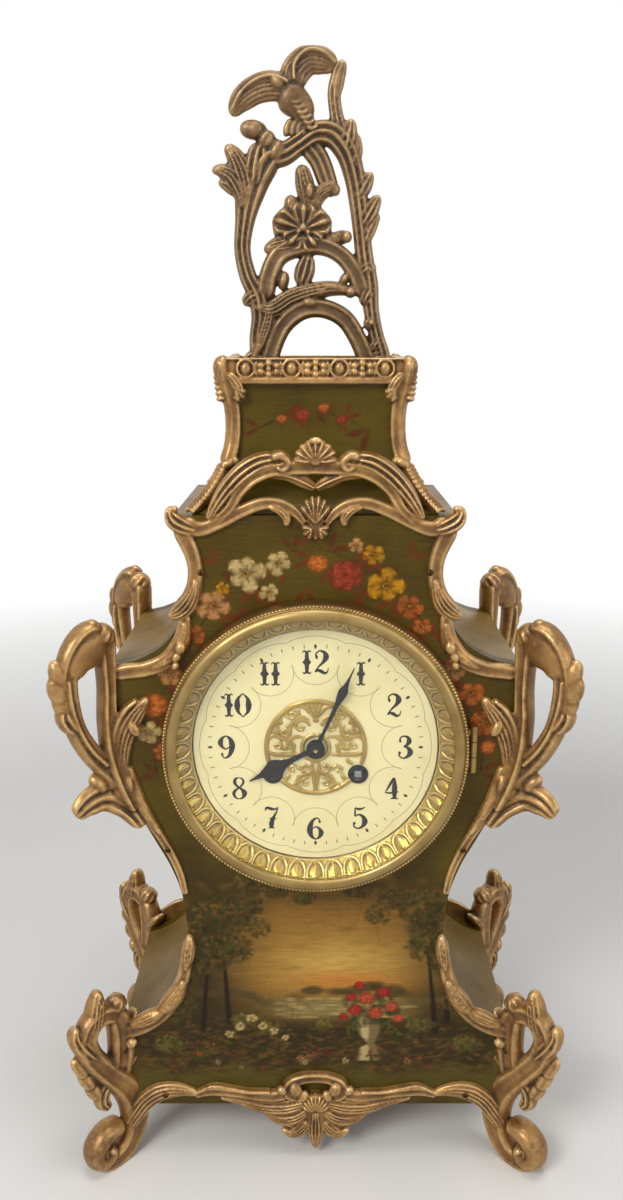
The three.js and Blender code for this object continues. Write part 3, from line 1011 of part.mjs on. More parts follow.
const bellApex = BELL_Y + BELL_RISE;
const bellShares = [[1, 0], [0.94, 0.45], [0.7, 0.8], [0.3, 1]];
place('bell', turned([
  ...bellShares.map(([radius, rise]) => [BELL_RADIUS * radius, BELL_Y + BELL_RISE * rise]),
  [BELL_BORE, bellApex], [BELL_BORE, bellApex - BELL_WALL],
  ...bellShares.slice().reverse().map(([radius, rise]) => [
    BELL_RADIUS * radius - BELL_WALL, Math.max(BELL_Y, BELL_Y + BELL_RISE * rise - BELL_WALL)]),
  [BELL_RADIUS, BELL_Y]], 0, DIAL_Z, 18), bellMetal);
const standY = bellApex + SEAT + BELL_POST_RADIUS;
const studTip = bellApex - BELL_WALL * 3;
const nutBack = bellApex - BELL_WALL - SEAT;
const standAt = [-BELL_POST_OUT, DIAL_Z - BELL_POST_OUT];
place('bell_stand', joined(
  rod(BELL_POST_RADIUS, backPlateBack + SEAT, standY, ...standAt, 10),
  bar([[standAt[0] - BELL_POST_RADIUS, standAt[1] - BELL_POST_RADIUS],
    [BELL_POST_RADIUS, DIAL_Z + BELL_POST_RADIUS]]
    .map(([x, z]) => ({ p: new THREE.Vector3(x, standY, z), w: BELL_POST_RADIUS * 1.6,
      h: BELL_POST_RADIUS })), frontOut),
  turned([[0, studTip], [BELL_BORE * 1.8, studTip], [BELL_BORE * 1.8, nutBack],
    [BELL_BORE - SEAT, nutBack],
    [BELL_BORE - SEAT, standY], [0, standY]], ...centreAt, 8)), brass);

const [headX, headZ] = [hammerAt[0] - HAMMER_HEAD * 1.1, hammerAt[1] - HAMMER_REACH];
const onHammer = (x, y, z, w) => ({ p: new THREE.Vector3(x, y, z), w, h: WHEEL_THICK / 2 });
const armY = leverY + WHEEL_THICK / 2;
const tailY = plane('pin') - WHEEL_THICK * 2;
place('hammer', joined(
  arbor(hammerAt, leverY + WHEEL_THICK),
  bar([onHammer(hammerAt[0], armY, hammerAt[1] + LEVER_HALF, LEVER_HALF),
    onHammer(headX, armY, headZ - LEVER_HALF, LEVER_HALF)],
    frontOut),
  turned([[0, armY], [LEVER_HALF, armY], [LEVER_HALF, BELL_Y - HAMMER_HEAD],
    [HAMMER_HEAD, BELL_Y - HAMMER_HEAD],
    [HAMMER_HEAD, BELL_Y + HAMMER_HEAD], [0, BELL_Y + HAMMER_HEAD]], headX, headZ, 10),
  bar([onHammer(hammerAt[0] - LEVER_HALF, tailY, hammerAt[1], LEVER_HALF / 2),
    onHammer(hammerAt[0] + HAMMER_TAIL, tailY, hammerAt[1] - LEVER_HALF, LEVER_HALF / 2)], frontOut)),
      steel);

// Rear door with its hinge and knob

const doorY = BACK_Y + SEAT;
const doorHingeX = -DOOR_RADIUS - HINGE_OUT;
const doorHingeY = doorY + HINGE_RADIUS;
place('rear_door', joined(
  turned([[0, doorY], [DOOR_RADIUS, doorY], [DOOR_RADIUS, doorY + DOOR_THICK * 0.7],
    [DOOR_RADIUS * 0.95, doorY + DOOR_THICK], [0, doorY + DOOR_THICK]], 0, DIAL_Z, 24),
  block(doorHingeX, -DOOR_RADIUS * 0.95, doorY, doorY + DOOR_THICK, DIAL_Z - kneeZ, DIAL_Z + kneeZ),
  middleKnuckle(doorHingeX, doorHingeY),
  turned([[0, doorY + DOOR_THICK / 2], [KNOB_RADIUS * 0.5, doorY + DOOR_THICK / 2],
    [KNOB_RADIUS * 0.5, doorY + KNOB_LENGTH * 0.5],
    [KNOB_RADIUS, doorY + KNOB_LENGTH * 0.7], [KNOB_RADIUS * 0.8, doorY + KNOB_LENGTH],
      [0, doorY + KNOB_LENGTH]],
  DOOR_RADIUS * 0.82, DIAL_Z, 10)).subtract(pinBore(doorHingeX, doorHingeY)), brass);
place('rear_door_hinge', joined(
  outerKnuckles(doorHingeX, doorHingeY),
  block(doorHingeX - HINGE_LEAF, doorHingeX, doorY, doorY + DOOR_THICK, DIAL_Z - kneeZ * 3,
    DIAL_Z + kneeZ * 3)
    .subtract(knuckleSpace(doorHingeX, doorHingeY))), brass);

export default clock;
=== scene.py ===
"""A waisted mantel clock with painted case, gilt bronze mounts and openwork finial, dressed around its solids."""

import logging
import math
from dataclasses import dataclass, field
from enum import Enum
from typing import Callable, Iterable, Sequence

import bmesh
import bpy
import numpy as np
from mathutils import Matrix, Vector


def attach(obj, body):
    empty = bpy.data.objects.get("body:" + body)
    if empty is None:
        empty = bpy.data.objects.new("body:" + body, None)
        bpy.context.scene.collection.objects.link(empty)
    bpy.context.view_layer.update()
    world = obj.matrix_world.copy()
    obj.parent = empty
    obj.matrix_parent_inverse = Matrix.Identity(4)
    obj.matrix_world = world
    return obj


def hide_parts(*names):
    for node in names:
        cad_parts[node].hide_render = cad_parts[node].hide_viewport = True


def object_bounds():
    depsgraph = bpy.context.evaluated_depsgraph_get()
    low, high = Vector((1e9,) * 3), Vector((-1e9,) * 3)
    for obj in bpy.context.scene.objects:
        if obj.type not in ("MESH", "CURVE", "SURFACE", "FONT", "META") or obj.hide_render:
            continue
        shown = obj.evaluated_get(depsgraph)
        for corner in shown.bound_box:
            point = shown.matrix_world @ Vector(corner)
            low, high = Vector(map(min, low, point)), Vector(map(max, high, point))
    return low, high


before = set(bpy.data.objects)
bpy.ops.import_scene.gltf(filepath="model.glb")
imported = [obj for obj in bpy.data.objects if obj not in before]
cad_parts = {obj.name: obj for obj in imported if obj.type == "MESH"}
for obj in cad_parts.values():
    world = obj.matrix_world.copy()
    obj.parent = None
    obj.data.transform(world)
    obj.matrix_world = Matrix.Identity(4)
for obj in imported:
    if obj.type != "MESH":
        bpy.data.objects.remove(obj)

LOG = logging.getLogger("mantel_clock")
CAD_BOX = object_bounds()
MM = 0.001
BOX_MARGIN = 0.02 * MM
FULL_TURN = 2 * math.pi
ANY_TURN = 6.28  # the range that random turns are drawn from
FRONT_Y = -52.0  # the case's front, in millimetres
DIAL_Z = 242.0  # the height of the dial's middle, in millimetres
FRONT = (0.0, -1.0, 0.0)
SIDEWAYS = (1.0, 0.0, 0.0)
DIAGONAL = (1.0, 1.0, 0.0)
OFF_CORNER = (1.0, -1.0, 0.0)
CORNERS = (("front_left", -1, 1), ("front_right", 1, 1), ("rear_left", -1, -1), ("rear_right", 1, -1))
BAR_POINTS = 27  # across the top of a bar
EGG_RINGS = 14
EGG_POINTS = 32
WIDE_HOLE = 20.0  # holes of a larger radius get the finer rim
FINE_RIM = 160
PLAIN_RIM = 48
Colour = tuple[float, float, float]
Row = tuple[float, ...]
Grid = np.ndarray


def colour_of(red: int, green: int, blue: int) -> Colour:
    """Turns an sRGB colour of 0 to 255 into linear values."""
    shares = [c / 255 for c in (red, green, blue)]
    return tuple(s / 12.92 if s <= 0.04045 else ((s + 0.055) / 1.055) ** 2.4 for s in shares)


# Node trees


class Wiring:
    """Adds nodes to one tree and joins them.

    Args:
        tree: The node tree of a material, a world or a shader group.
    """

    def __init__(self, tree: bpy.types.NodeTree) -> None:
        self.tree = tree

    def add(self, kind: str, inputs: dict | None = None, **settings: object) -> bpy.types.Node:
        """Adds one node.

        Args:
            kind: The node's type name, without the leading ShaderNode.
            inputs: Values or sockets for its inputs, by name or number.
            settings: Properties of the node.

        Returns:
            The new node.
        """
        node = self.tree.nodes.new("ShaderNode" + kind)
        for name, value in settings.items():
            setattr(node, name, value)
        for name, value in (inputs or {}).items():
            self.feed(node.inputs[name], value)
        return node

    def feed(self, socket: bpy.types.NodeSocket, value: object) -> None:
        """Joins a socket to another one, or sets its own value."""
        if isinstance(value, bpy.types.NodeSocket):
            self.tree.links.new(value, socket)
        elif isinstance(value, tuple) and len(value) == 3 and len(socket.default_value) == 4:
            socket.default_value = (*value, 1.0)
        else:
            socket.default_value = value

    def math(self, operation: str, first: object, second: object = 0.0, clamp: bool = False) -> bpy.types.NodeSocket:
        """A Math node's result."""
        node = self.add("Math", {0: first, 1: second}, operation=operation, use_clamp=clamp)
        return node.outputs[0]

    def times(self, first: object, second: object) -> bpy.types.NodeSocket:
        """One value times another."""
        return self.math("MULTIPLY", first, second)

    def plus(self, first: object, second: object, clamp: bool = False) -> bpy.types.NodeSocket:
        """One value plus another."""
        return self.math("ADD", first, second, clamp=clamp)

    def mix(self, share: object, low: object, high: object, blend: str = "MIX") -> bpy.types.NodeSocket:
        """A mix of two colours, whose sockets are the Mix node's inputs 6 and 7."""
        node = self.add("Mix", data_type="RGBA", blend_type=blend)
        self.feed(node.inputs["Factor"], share)
        self.feed(node.inputs[6], low)
        self.feed(node.inputs[7], high)
        return node.outputs[2]

    def span(self, value: object, low: float, high: float, to_low: float = 0.0,
             to_high: float = 1.0) -> bpy.types.NodeSocket:
        """A value moved from one range to another, kept inside it."""
        node = self.add("MapRange", {0: value, 1: low, 2: high, 3: to_low, 4: to_high})
        return node.outputs[0]

    def noise(self, place: object, scale: object, detail: float = 4.0, rough: float = 0.55) -> bpy.types.NodeSocket:
        """A noise value at a place."""
        node = self.add("TexNoise", {"Vector": place, "Scale": scale, "Detail": detail, "Roughness": rough})
        return node.outputs["Fac"]


class Kind(Enum):
    """The socket types of the shared shader groups."""

    VALUE = "NodeSocketFloat"
    VECTOR = "NodeSocketVector"


@dataclass
class SharedEffects:
    """The shader groups that more than one material uses, each built once."""

    made: dict[str, bpy.types.NodeTree] = field(default_factory=dict)

    def start(self, name: str, inputs: Sequence[tuple[str, Kind, object]],
              outputs: Sequence[tuple[str, Kind]]) -> tuple[Wiring, bpy.types.Node, bpy.types.Node]:
        """Opens a new group with its sockets.

        Args:
            name: The group's name.
            inputs: Name, kind and default of each input.
            outputs: Name and kind of each output.

        Returns:
            The wiring, the input node and the output node.
        """
        tree = bpy.data.node_groups.new(name, "ShaderNodeTree")
        for label, kind, default in inputs:
            socket = tree.interface.new_socket(label, in_out="INPUT", socket_type=kind.value)
            if kind is not Kind.VECTOR:
                socket.default_value = default
        for label, kind in outputs:
            tree.interface.new_socket(label, in_out="OUTPUT", socket_type=kind.value)
        self.made[name] = tree
        return Wiring(tree), tree.nodes.new("NodeGroupInput"), tree.nodes.new("NodeGroupOutput")

    def build(self) -> None:
        """Builds every group."""
        self.relief_tone()
        self.turned_lines()
        self.fine_wear()
        self.aged_lacquer()

    def relief_tone(self) -> None:
        """Hollows, for grime and painted shade, and raised edges, for wear and painted highlight, from stored relief,
        with noise.
        """
        w, given, put = self.start(
            "relief_tone",
            [("Place", Kind.VECTOR, None), ("Relief", Kind.VALUE, 0.5), ("Breakup", Kind.VALUE, 0.5),
             ("Scale", Kind.VALUE, 300.0)],
            [("Hollow", Kind.VALUE), ("Edge", Kind.VALUE), ("Mottle", Kind.VALUE), ("Height", Kind.VALUE)])
        fine = w.noise(given.outputs["Place"], given.outputs["Scale"], 6.0, 0.6)
        broad = w.noise(given.outputs["Place"], w.times(given.outputs["Scale"], 0.18), 3.0, 0.5)
        shift = w.times(w.math("SUBTRACT", fine, 0.5), given.outputs["Breakup"])
        relief = w.plus(given.outputs["Relief"], shift)
        w.feed(put.inputs["Hollow"], w.span(relief, 0.5, 0.24))
        w.feed(put.inputs["Edge"], w.span(relief, 0.56, 0.86))
        w.feed(put.inputs["Mottle"], w.span(broad, 0.3, 0.7))
        w.feed(put.inputs["Height"], w.plus(fine, w.times(broad, 0.8)))

    def turned_lines(self) -> None:
        """Fine circular tool lines about an axis that runs from front to back."""
        w, given, put = self.start(
            "turned_lines",
            [("Place", Kind.VECTOR, None), ("Middle Height", Kind.VALUE, DIAL_Z * MM),
             ("Fineness", Kind.VALUE, 4000.0)],
            [("Lines", Kind.VALUE), ("Height", Kind.VALUE)])
        parts = w.add("SeparateXYZ", {0: given.outputs["Place"]})
        rise = w.math("SUBTRACT", parts.outputs["Z"], given.outputs["Middle Height"])
        radius = w.math("SQRT", w.plus(w.times(parts.outputs["X"], parts.outputs["X"]), w.times(rise, rise)))
        along = w.add("CombineXYZ", {0: w.times(radius, given.outputs["Fineness"]),
                                     1: w.times(parts.outputs["Y"], given.outputs["Fineness"])})
        lines = w.noise(along.outputs[0], 1.0, 3.0, 0.7)
        w.feed(put.inputs["Lines"], w.span(lines, 0.3, 0.7))
        w.feed(put.inputs["Height"], lines)

    def fine_wear(self) -> None:
        """Smudges, small scratches and specks of a handled smooth surface."""
        w, given, put = self.start("fine_wear", [("Place", Kind.VECTOR, None), ("Scale", Kind.VALUE, 60.0)],
                                   [("Smudge", Kind.VALUE), ("Scratch", Kind.VALUE), ("Speck", Kind.VALUE)])
        place = given.outputs["Place"]
        smudge = w.noise(place, given.outputs["Scale"], 4.0, 0.6)
        slanted = w.add("Mapping", {"Vector": place, "Rotation": (0.3, 0.7, 0.5), "Scale": (0.08, 1.0, 1.0)})
        scratch = w.noise(slanted.outputs[0], w.times(given.outputs["Scale"], 30.0), 2.0, 0.5)
        speck = w.noise(place, w.times(given.outputs["Scale"], 14.0), 3.0, 0.7)
        w.feed(put.inputs["Smudge"], w.span(smudge, 0.35, 0.7))
        w.feed(put.inputs["Scratch"], w.span(scratch, 0.66, 0.74))
        w.feed(put.inputs["Speck"], w.span(speck, 0.66, 0.76))

    def aged_lacquer(self) -> None:
        """The level brushing, dull patches and hair cracks of old lacquer on wood."""
        w, given, put = self.start(
            "aged_lacquer",
            [("Place", Kind.VECTOR, None), ("Brush Scale", Kind.VALUE, 90.0), ("Crack Scale", Kind.VALUE, 160.0)],
            [("Brushing", Kind.VALUE), ("Patches", Kind.VALUE), ("Cracks", Kind.VALUE), ("Height", Kind.VALUE)])
        place = given.outputs["Place"]
        level = w.add("Mapping", {"Vector": place, "Scale": (1.0, 1.0, 14.0)})
        brushing = w.noise(level.outputs[0], given.outputs["Brush Scale"], 5.0, 0.6)
        patches = w.noise(place, 22.0, 4.0, 0.55)
        bent = w.add("VectorMath", {0: w.add("TexNoise", {"Vector": place, "Scale": 60.0}).outputs["Color"],
                                    1: (0.004, 0.004, 0.004), 2: place}, operation="MULTIPLY_ADD")
        cells = w.add("TexVoronoi", {"Vector": bent.outputs[0], "Scale": given.outputs["Crack Scale"]},
                      feature="DISTANCE_TO_EDGE")
        cracks = w.times(w.span(cells.outputs["Distance"], 0.03, 0.0), w.span(patches, 0.45, 0.62))
        w.feed(put.inputs["Brushing"], w.span(brushing, 0.3, 0.7))
        w.feed(put.inputs["Patches"], w.span(patches, 0.35, 0.65))
        w.feed(put.inputs["Cracks"], cracks)
        w.feed(put.inputs["Height"], w.math("SUBTRACT", w.times(brushing, 0.6), w.times(cracks, 0.5)))


EFFECTS = SharedEffects()


# Finishes


@dataclass(frozen=True)
class Finish:
    """What all finishes share.

    Args:
        name: The material's name.
    """

    name: str

    def material(self) -> bpy.types.Material:
        """The finish's material, built at its first use."""
        known = bpy.data.materials.get(self.name)
        if known is not None:
            return known
        made = bpy.data.materials.new(self.name)
        made.use_nodes = True
        w = Wiring(made.node_tree)
        shader = made.node_tree.nodes["Principled BSDF"]
        self.wire(w, shader)
        return made

    def wire(self, w: Wiring, shader: bpy.types.Node) -> None:
        """Joins the finish's nodes to its shader."""
        raise NotImplementedError

    @staticmethod
    def place(w: Wiring) -> bpy.types.NodeSocket:
        """The place on the piece, which stays put when the piece moves."""
        return w.add("TexCoord").outputs["Object"]

    @staticmethod
    def effect(w: Wiring, name: str, inputs: dict) -> bpy.types.Node:
        """Places one shared effect."""
        node = w.tree.nodes.new("ShaderNodeGroup")
        node.node_tree = EFFECTS.made[name]
        for label, value in inputs.items():
            w.feed(node.inputs[label], value)
        return node

    @staticmethod
    def bump(w: Wiring, shader: bpy.types.Node, height: object, strength: float, distance: float) -> None:
        """Feeds the shader's normal from a height."""
        node = w.add("Bump", {"Height": height, "Strength": strength, "Distance": distance})
        w.feed(shader.inputs["Normal"], node.outputs[0])


@dataclass(frozen=True)
class CastGilt(Finish):
    """Cast gilt bronze, browned: grime and painted shade in its hollows, rubbed bright with painted highlight on its
    edges.

    Args:
        body: The gilding's own colour.
        hollow: The colour of the grime and the painted shade in its hollows.
        edge: The colour where it is rubbed bright, which is also its painted highlight.
        warm: The browner colour of its patches.
        roughness: Of the body.
        metallic: Of the body.
        patches: How strongly the patches show.
        dirt: How strongly the grime and painted shade show.
        rubbing: How strongly the rubbed edges and the painted highlight show.
    """

    body: Colour
    hollow: Colour
    edge: Colour
    warm: Colour
    roughness: float
    metallic: float
    patches: float = 0.9
    dirt: float = 0.96
    rubbing: float = 0.72

    def wire(self, w: Wiring, shader: bpy.types.Node) -> None:
        """Joins the finish's nodes to its shader."""
        place = self.place(w)
        relief = w.add("Attribute", attribute_name="relief").outputs["Fac"]
        tone = self.effect(w, "relief_tone", {"Place": place, "Relief": relief, "Breakup": 0.34, "Scale": 420.0})
        hollow, edge = tone.outputs["Hollow"], tone.outputs["Edge"]
        colour = w.mix(w.times(tone.outputs["Mottle"], self.patches), self.body, self.warm)
        # Painted shade: the hollows are pulled towards a near-black colour, which stands for the shade there as well as
        # grime.
        colour = w.mix(w.times(hollow, self.dirt), colour, self.hollow)
        # Painted highlight: the raised edges are pulled towards a pale colour, which stands for highlights as well as
        # rubbed wear.
        colour = w.mix(w.times(edge, self.rubbing), colour, self.edge)
        w.feed(shader.inputs["Base Color"], colour)
        rough = w.plus(w.times(hollow, 0.22), w.times(edge, -0.12))
        w.feed(shader.inputs["Roughness"], w.plus(rough, self.roughness, clamp=True))
        w.feed(shader.inputs["Metallic"], w.math("SUBTRACT", self.metallic, w.times(hollow, 0.5)))
        self.bump(w, shader, tone.outputs["Height"], 0.35, 0.0003)


@dataclass(frozen=True)
class TurnedMetal(Finish):
    """A lathe-turned metal with fine circular lines and handling marks.

    Args:
        body: Its own colour.
        dark: The colour of its smudges and specks.
        roughness: Of the body.
        fineness: How close the circular lines lie.
    """

    body: Colour
    dark: Colour
    roughness: float
    fineness: float = 3500.0

    def wire(self, w: Wiring, shader: bpy.types.Node) -> None:
        """Joins the finish's nodes to its shader."""
        place = self.place(w)
        lines = self.effect(w, "turned_lines", {"Place": place, "Fineness": self.fineness})
        wear = self.effect(w, "fine_wear", {"Place": place, "Scale": 70.0})
        share = w.plus(w.times(wear.outputs["Smudge"], 0.6), w.times(wear.outputs["Speck"], 0.6), clamp=True)
        colour = w.mix(share, self.body, self.dark)
        w.feed(shader.inputs["Base Color"], colour)
        rough = w.plus(w.times(lines.outputs["Lines"], 0.12), w.times(wear.outputs["Smudge"], 0.16))
        w.feed(shader.inputs["Roughness"], w.plus(rough, self.roughness - 0.1, clamp=True))
        shader.inputs["Metallic"].default_value = 1.0
        self.bump(w, shader, lines.outputs["Height"], 0.25, 0.0001)


@dataclass(frozen=True)
class ToolFinish(Finish):
    """Filed and polished steel of the movement and the hands, with smudges and scratches.

    Args:
        body: Its own colour.
        dark: The colour of its smudges and specks.
        roughness: Of the body.
        metallic: Of the body.
        gloss: Its specular level.
    """

    body: Colour
    dark: Colour
    roughness: float
    metallic: float = 1.0
    gloss: float = 0.5

    def wire(self, w: Wiring, shader: bpy.types.Node) -> None:
        """Joins the finish's nodes to its shader."""
        shader.inputs["Specular IOR Level"].default_value = self.gloss
        place = self.place(w)
        wear = self.effect(w, "fine_wear", {"Place": place, "Scale": 90.0})
        colour = w.mix(w.times(wear.outputs["Smudge"], 0.7), self.body, self.dark)
        colour = w.mix(w.times(wear.outputs["Speck"], 0.6), colour, self.dark)
        w.feed(shader.inputs["Base Color"], colour)
        rough = w.plus(w.times(wear.outputs["Smudge"], 0.2), w.times(wear.outputs["Scratch"], 0.15))
        w.feed(shader.inputs["Roughness"], w.plus(rough, self.roughness - 0.08, clamp=True))
        shader.inputs["Metallic"].default_value = self.metallic
        self.bump(w, shader, wear.outputs["Scratch"], 0.2, 0.0001)


@dataclass(frozen=True)
class PaintedLacquer(Finish):
    """Lacquer over wood, brushed level and slightly crazed.

    Args:
        body: Its own colour.
        deep: The colour of its darker patches.
        pale: The colour of its brushed streaks and specks.
        painted: Whether the colours stored on the mesh lie over it.
        streaks: How strongly the streaks show.
        roughness: Of the body.
        crack: The colour in its hair cracks.
    """

    body: Colour
    deep: Colour
    pale: Colour
    painted: bool = False
    streaks: float = 0.3
    roughness: float = 0.36
    crack: Colour = (0.02, 0.015, 0.006)

    def wire(self, w: Wiring, shader: bpy.types.Node) -> None:
        """Joins the finish's nodes to its shader."""
        place = self.place(w)
        aged = self.effect(w, "aged_lacquer", {"Place": place})
        wear = self.effect(w, "fine_wear", {"Place": place, "Scale": 40.0})
        colour = w.mix(aged.outputs["Patches"], self.body, self.deep)
        colour = w.mix(w.times(aged.outputs["Brushing"], self.streaks), colour, self.pale)
        if self.painted:
            paint = w.add("Attribute", attribute_name="paint")
            worn = w.times(aged.outputs["Brushing"], 0.3)
            strokes = w.mix(worn, paint.outputs["Color"], self.deep, "MULTIPLY")
            colour = w.mix(paint.outputs["Alpha"], colour, strokes)
        colour = w.mix(w.times(aged.outputs["Cracks"], 0.4), colour, self.crack)
        colour = w.mix(w.times(wear.outputs["Speck"], 0.2), colour, self.pale)
        w.feed(shader.inputs["Base Color"], colour)
        rough = w.plus(w.times(aged.outputs["Patches"], 0.14), w.times(wear.outputs["Smudge"], 0.1))
        w.feed(shader.inputs["Roughness"], w.plus(rough, self.roughness - 0.06, clamp=True))
        shader.inputs["Specular IOR Level"].default_value = 0.16
        shader.inputs["Coat Weight"].default_value = 0.05
        shader.inputs["Coat Roughness"].default_value = 0.15
        self.bump(w, shader, aged.outputs["Height"], 0.3, 0.00025)


@dataclass(frozen=True)
class Enamel(Finish):
    """Glossy fired enamel with a faint cloudiness.

    Args:
        body: Its own colour.
        cloud: The colour of its clouds.
        roughness: Of the body.
        gloss: Its specular level.
    """

    body: Colour
    cloud: Colour
    roughness: float = 0.16
    gloss: float = 0.5

    def wire(self, w: Wiring, shader: bpy.types.Node) -> None:
        """Joins the finish's nodes to its shader."""
        shader.inputs["Specular IOR Level"].default_value = self.gloss
        place = self.place(w)
        wear = self.effect(w, "fine_wear", {"Place": place, "Scale": 18.0})
        colour = w.mix(wear.outputs["Smudge"], self.body, self.cloud)
        w.feed(shader.inputs["Base Color"], colour)
        w.feed(shader.inputs["Roughness"], w.plus(w.times(wear.outputs["Smudge"], 0.08), self.roughness))
        self.bump(w, shader, w.noise(place, 130.0, 2.0), 0.12, 0.0002)


@dataclass(frozen=True)
class ClearGlass(Finish):
    """Clear glass that lamps shine through, with a few faint smudges."""

    tint: Colour = (0.97, 0.985, 0.975)
    roughness: float = 0.02

    def wire(self, w: Wiring, shader: bpy.types.Node) -> None:
        """Joins the finish's nodes to its shader."""
        wear = self.effect(w, "fine_wear", {"Place": self.place(w), "Scale": 30.0})
        shader.inputs["Base Color"].default_value = (*self.tint, 1.0)
        w.feed(shader.inputs["Roughness"], w.plus(w.times(wear.outputs["Smudge"], 0.05), self.roughness))
        shader.inputs["Transmission Weight"].default_value = 1.0
        shader.inputs["IOR"].default_value = 1.45
        shader.inputs["Specular IOR Level"].default_value = 0.1
        path = w.add("LightPath")
        clear = w.add("BsdfTransparent", {"Color": self.tint})
        both = w.add("MixShader", {0: path.outputs["Is Shadow Ray"], 1: shader.outputs[0], 2: clear.outputs[0]})
        w.feed(w.tree.nodes["Material Output"].inputs["Surface"], both.outputs[0])


@dataclass(frozen=True)
class StudioGround(Finish):
    """The plain pale floor, which fades into the surround.

    Args:
        body: Its colour.
        speck: The colour of its faint grain.
        fades: How far from the object its fading starts and ends, in metres.
    """

    body: Colour
    speck: Colour = (0.7, 0.7, 0.7)
    fades: tuple[float, float] = (0.5, 1.25)

    def wire(self, w: Wiring, shader: bpy.types.Node) -> None:
        """Joins the finish's nodes to its shader."""
        grain = w.noise(self.place(w), 9.0, 5.0)
        w.feed(shader.inputs["Base Color"], w.mix(w.times(grain, 0.05), self.body, self.speck))
        far = w.add("VectorMath", {0: self.place(w)}, operation="LENGTH").outputs["Value"]
        w.feed(shader.inputs["Alpha"], w.span(far, *self.fades, 1.0, 0.0))
        shader.inputs["Roughness"].default_value = 0.85


OLIVES = (colour_of(92, 75, 13), colour_of(62, 44, 6), colour_of(112, 94, 30))
OLIVE = PaintedLacquer("olive_lacquer", *OLIVES)
KHAKI = PaintedLacquer("khaki_lacquer", colour_of(136, 110, 62), colour_of(112, 86, 44), colour_of(152, 126, 78),
                       streaks=0.15)
PAINTING = PaintedLacquer("painted_front", *OLIVES, painted=True)
# In each cast gilt finish the second colour is grime with painted shade for the hollows, and the fourth is wear with
# painted highlight for the raised edges.
GILT = CastGilt("browned_gilding", colour_of(174, 130, 72), colour_of(22, 12, 6), colour_of(240, 204, 142),
                colour_of(108, 70, 34), 0.36, 0.45)
# The finial's gilding is a darker copy of the mounts' gilding. Its darker colours are painted shade, and it is also
# rougher and less metallic.
SHADED_FINIAL_GILT = CastGilt("dulled_shaded_gilding", colour_of(138, 104, 64), colour_of(20, 13, 7), colour_of(200, 166, 116),
                       colour_of(86, 60, 34), 0.44, 0.36)
BEZEL_BRASS = TurnedMetal("dulled_brass", colour_of(168, 142, 92), colour_of(114, 90, 50), 0.34)
BRIGHT_GILT = CastGilt("stamped_gilt", colour_of(186, 156, 76), colour_of(56, 40, 12), colour_of(255, 236, 158),
                       colour_of(150, 116, 46), 0.3, 0.8)
WHEEL_BRASS = TurnedMetal("wheel_brass", colour_of(206, 172, 100), colour_of(164, 128, 66), 0.26)
BELL_METAL = TurnedMetal("turned_bell_metal", colour_of(200, 184, 140), colour_of(160, 142, 96), 0.22)
BLUED = ToolFinish("blackened_hand_steel", colour_of(15, 13, 13), colour_of(8, 7, 7), 0.5, 0.0, gloss=0.04)
STEEL = ToolFinish("polished_steel", colour_of(170, 172, 174), colour_of(120, 120, 120), 0.26)
DIAL_ENAMEL = Enamel("cream_enamel", colour_of(211, 197, 151), colour_of(200, 184, 132))
DIAL_LINE = Enamel("fired_grey", colour_of(128, 118, 98), colour_of(110, 100, 84), 0.3)
DIAL_INK = Enamel("fired_black", colour_of(17, 14, 12), colour_of(30, 25, 20), 0.4, gloss=0.12)
SCREW_BRASS = TurnedMetal("darkened_screws", colour_of(92, 66, 36), colour_of(48, 32, 18), 0.5)
GLASS = ClearGlass("bezel_glass_clear")
GROUND = StudioGround("pale_floor", (0.86, 0.86, 0.86))


# Shapes, in millimetres


def smooth_rows(rows: Sequence[Row], spacing: float = 0.8) -> Grid:
    """Runs a smooth curve through rows of numbers.

    Args:
        rows: Each row's first three numbers are a point; the rest follow along.
        spacing: About how far apart the new rows lie.

    Returns:
        The denser rows.
    """
    table = np.asarray(rows, float)
    gaps = np.maximum(np.linalg.norm(np.diff(table[:, :3], axis=0), axis=1), 1e-6)
    steps = np.sqrt(gaps)
    knots = np.concatenate([[0.0], np.cumsum(steps)])
    knots = np.concatenate([[-steps[0]], knots, [knots[-1] + steps[-1]]])
    ends = np.vstack([2 * table[0] - table[1], table, 2 * table[-1] - table[-2]])
    parts = []
    for i, gap in enumerate(gaps):
        t0, t1, t2, t3 = knots[i:i + 4]
        p0, p1, p2, p3 = ends[i:i + 4]
        u = np.linspace(t1, t2, max(2, math.ceil(gap / spacing)), endpoint=False)[:, None]
        a1 = (t1 - u) / (t1 - t0) * p0 + (u - t0) / (t1 - t0) * p1
        a2 = (t2 - u) / (t2 - t1) * p1 + (u - t1) / (t2 - t1) * p2
        a3 = (t3 - u) / (t3 - t2) * p2 + (u - t2) / (t3 - t2) * p3
        b1 = (t2 - u) / (t2 - t0) * a1 + (u - t0) / (t2 - t0) * a2
        b2 = (t3 - u) / (t3 - t1) * a2 + (u - t1) / (t3 - t1) * a3
        parts.append((t2 - u) / (t2 - t1) * b1 + (u - t1) / (t2 - t1) * b2)
    return np.vstack([*parts, table[-1:]])


def eased(value: Grid, low: float, high: float) -> Grid:
    """A smooth step from 0 at low to 1 at high."""
    share = np.clip((value - low) / (high - low), 0.0, 1.0)
    return share * share * (3 - 2 * share)


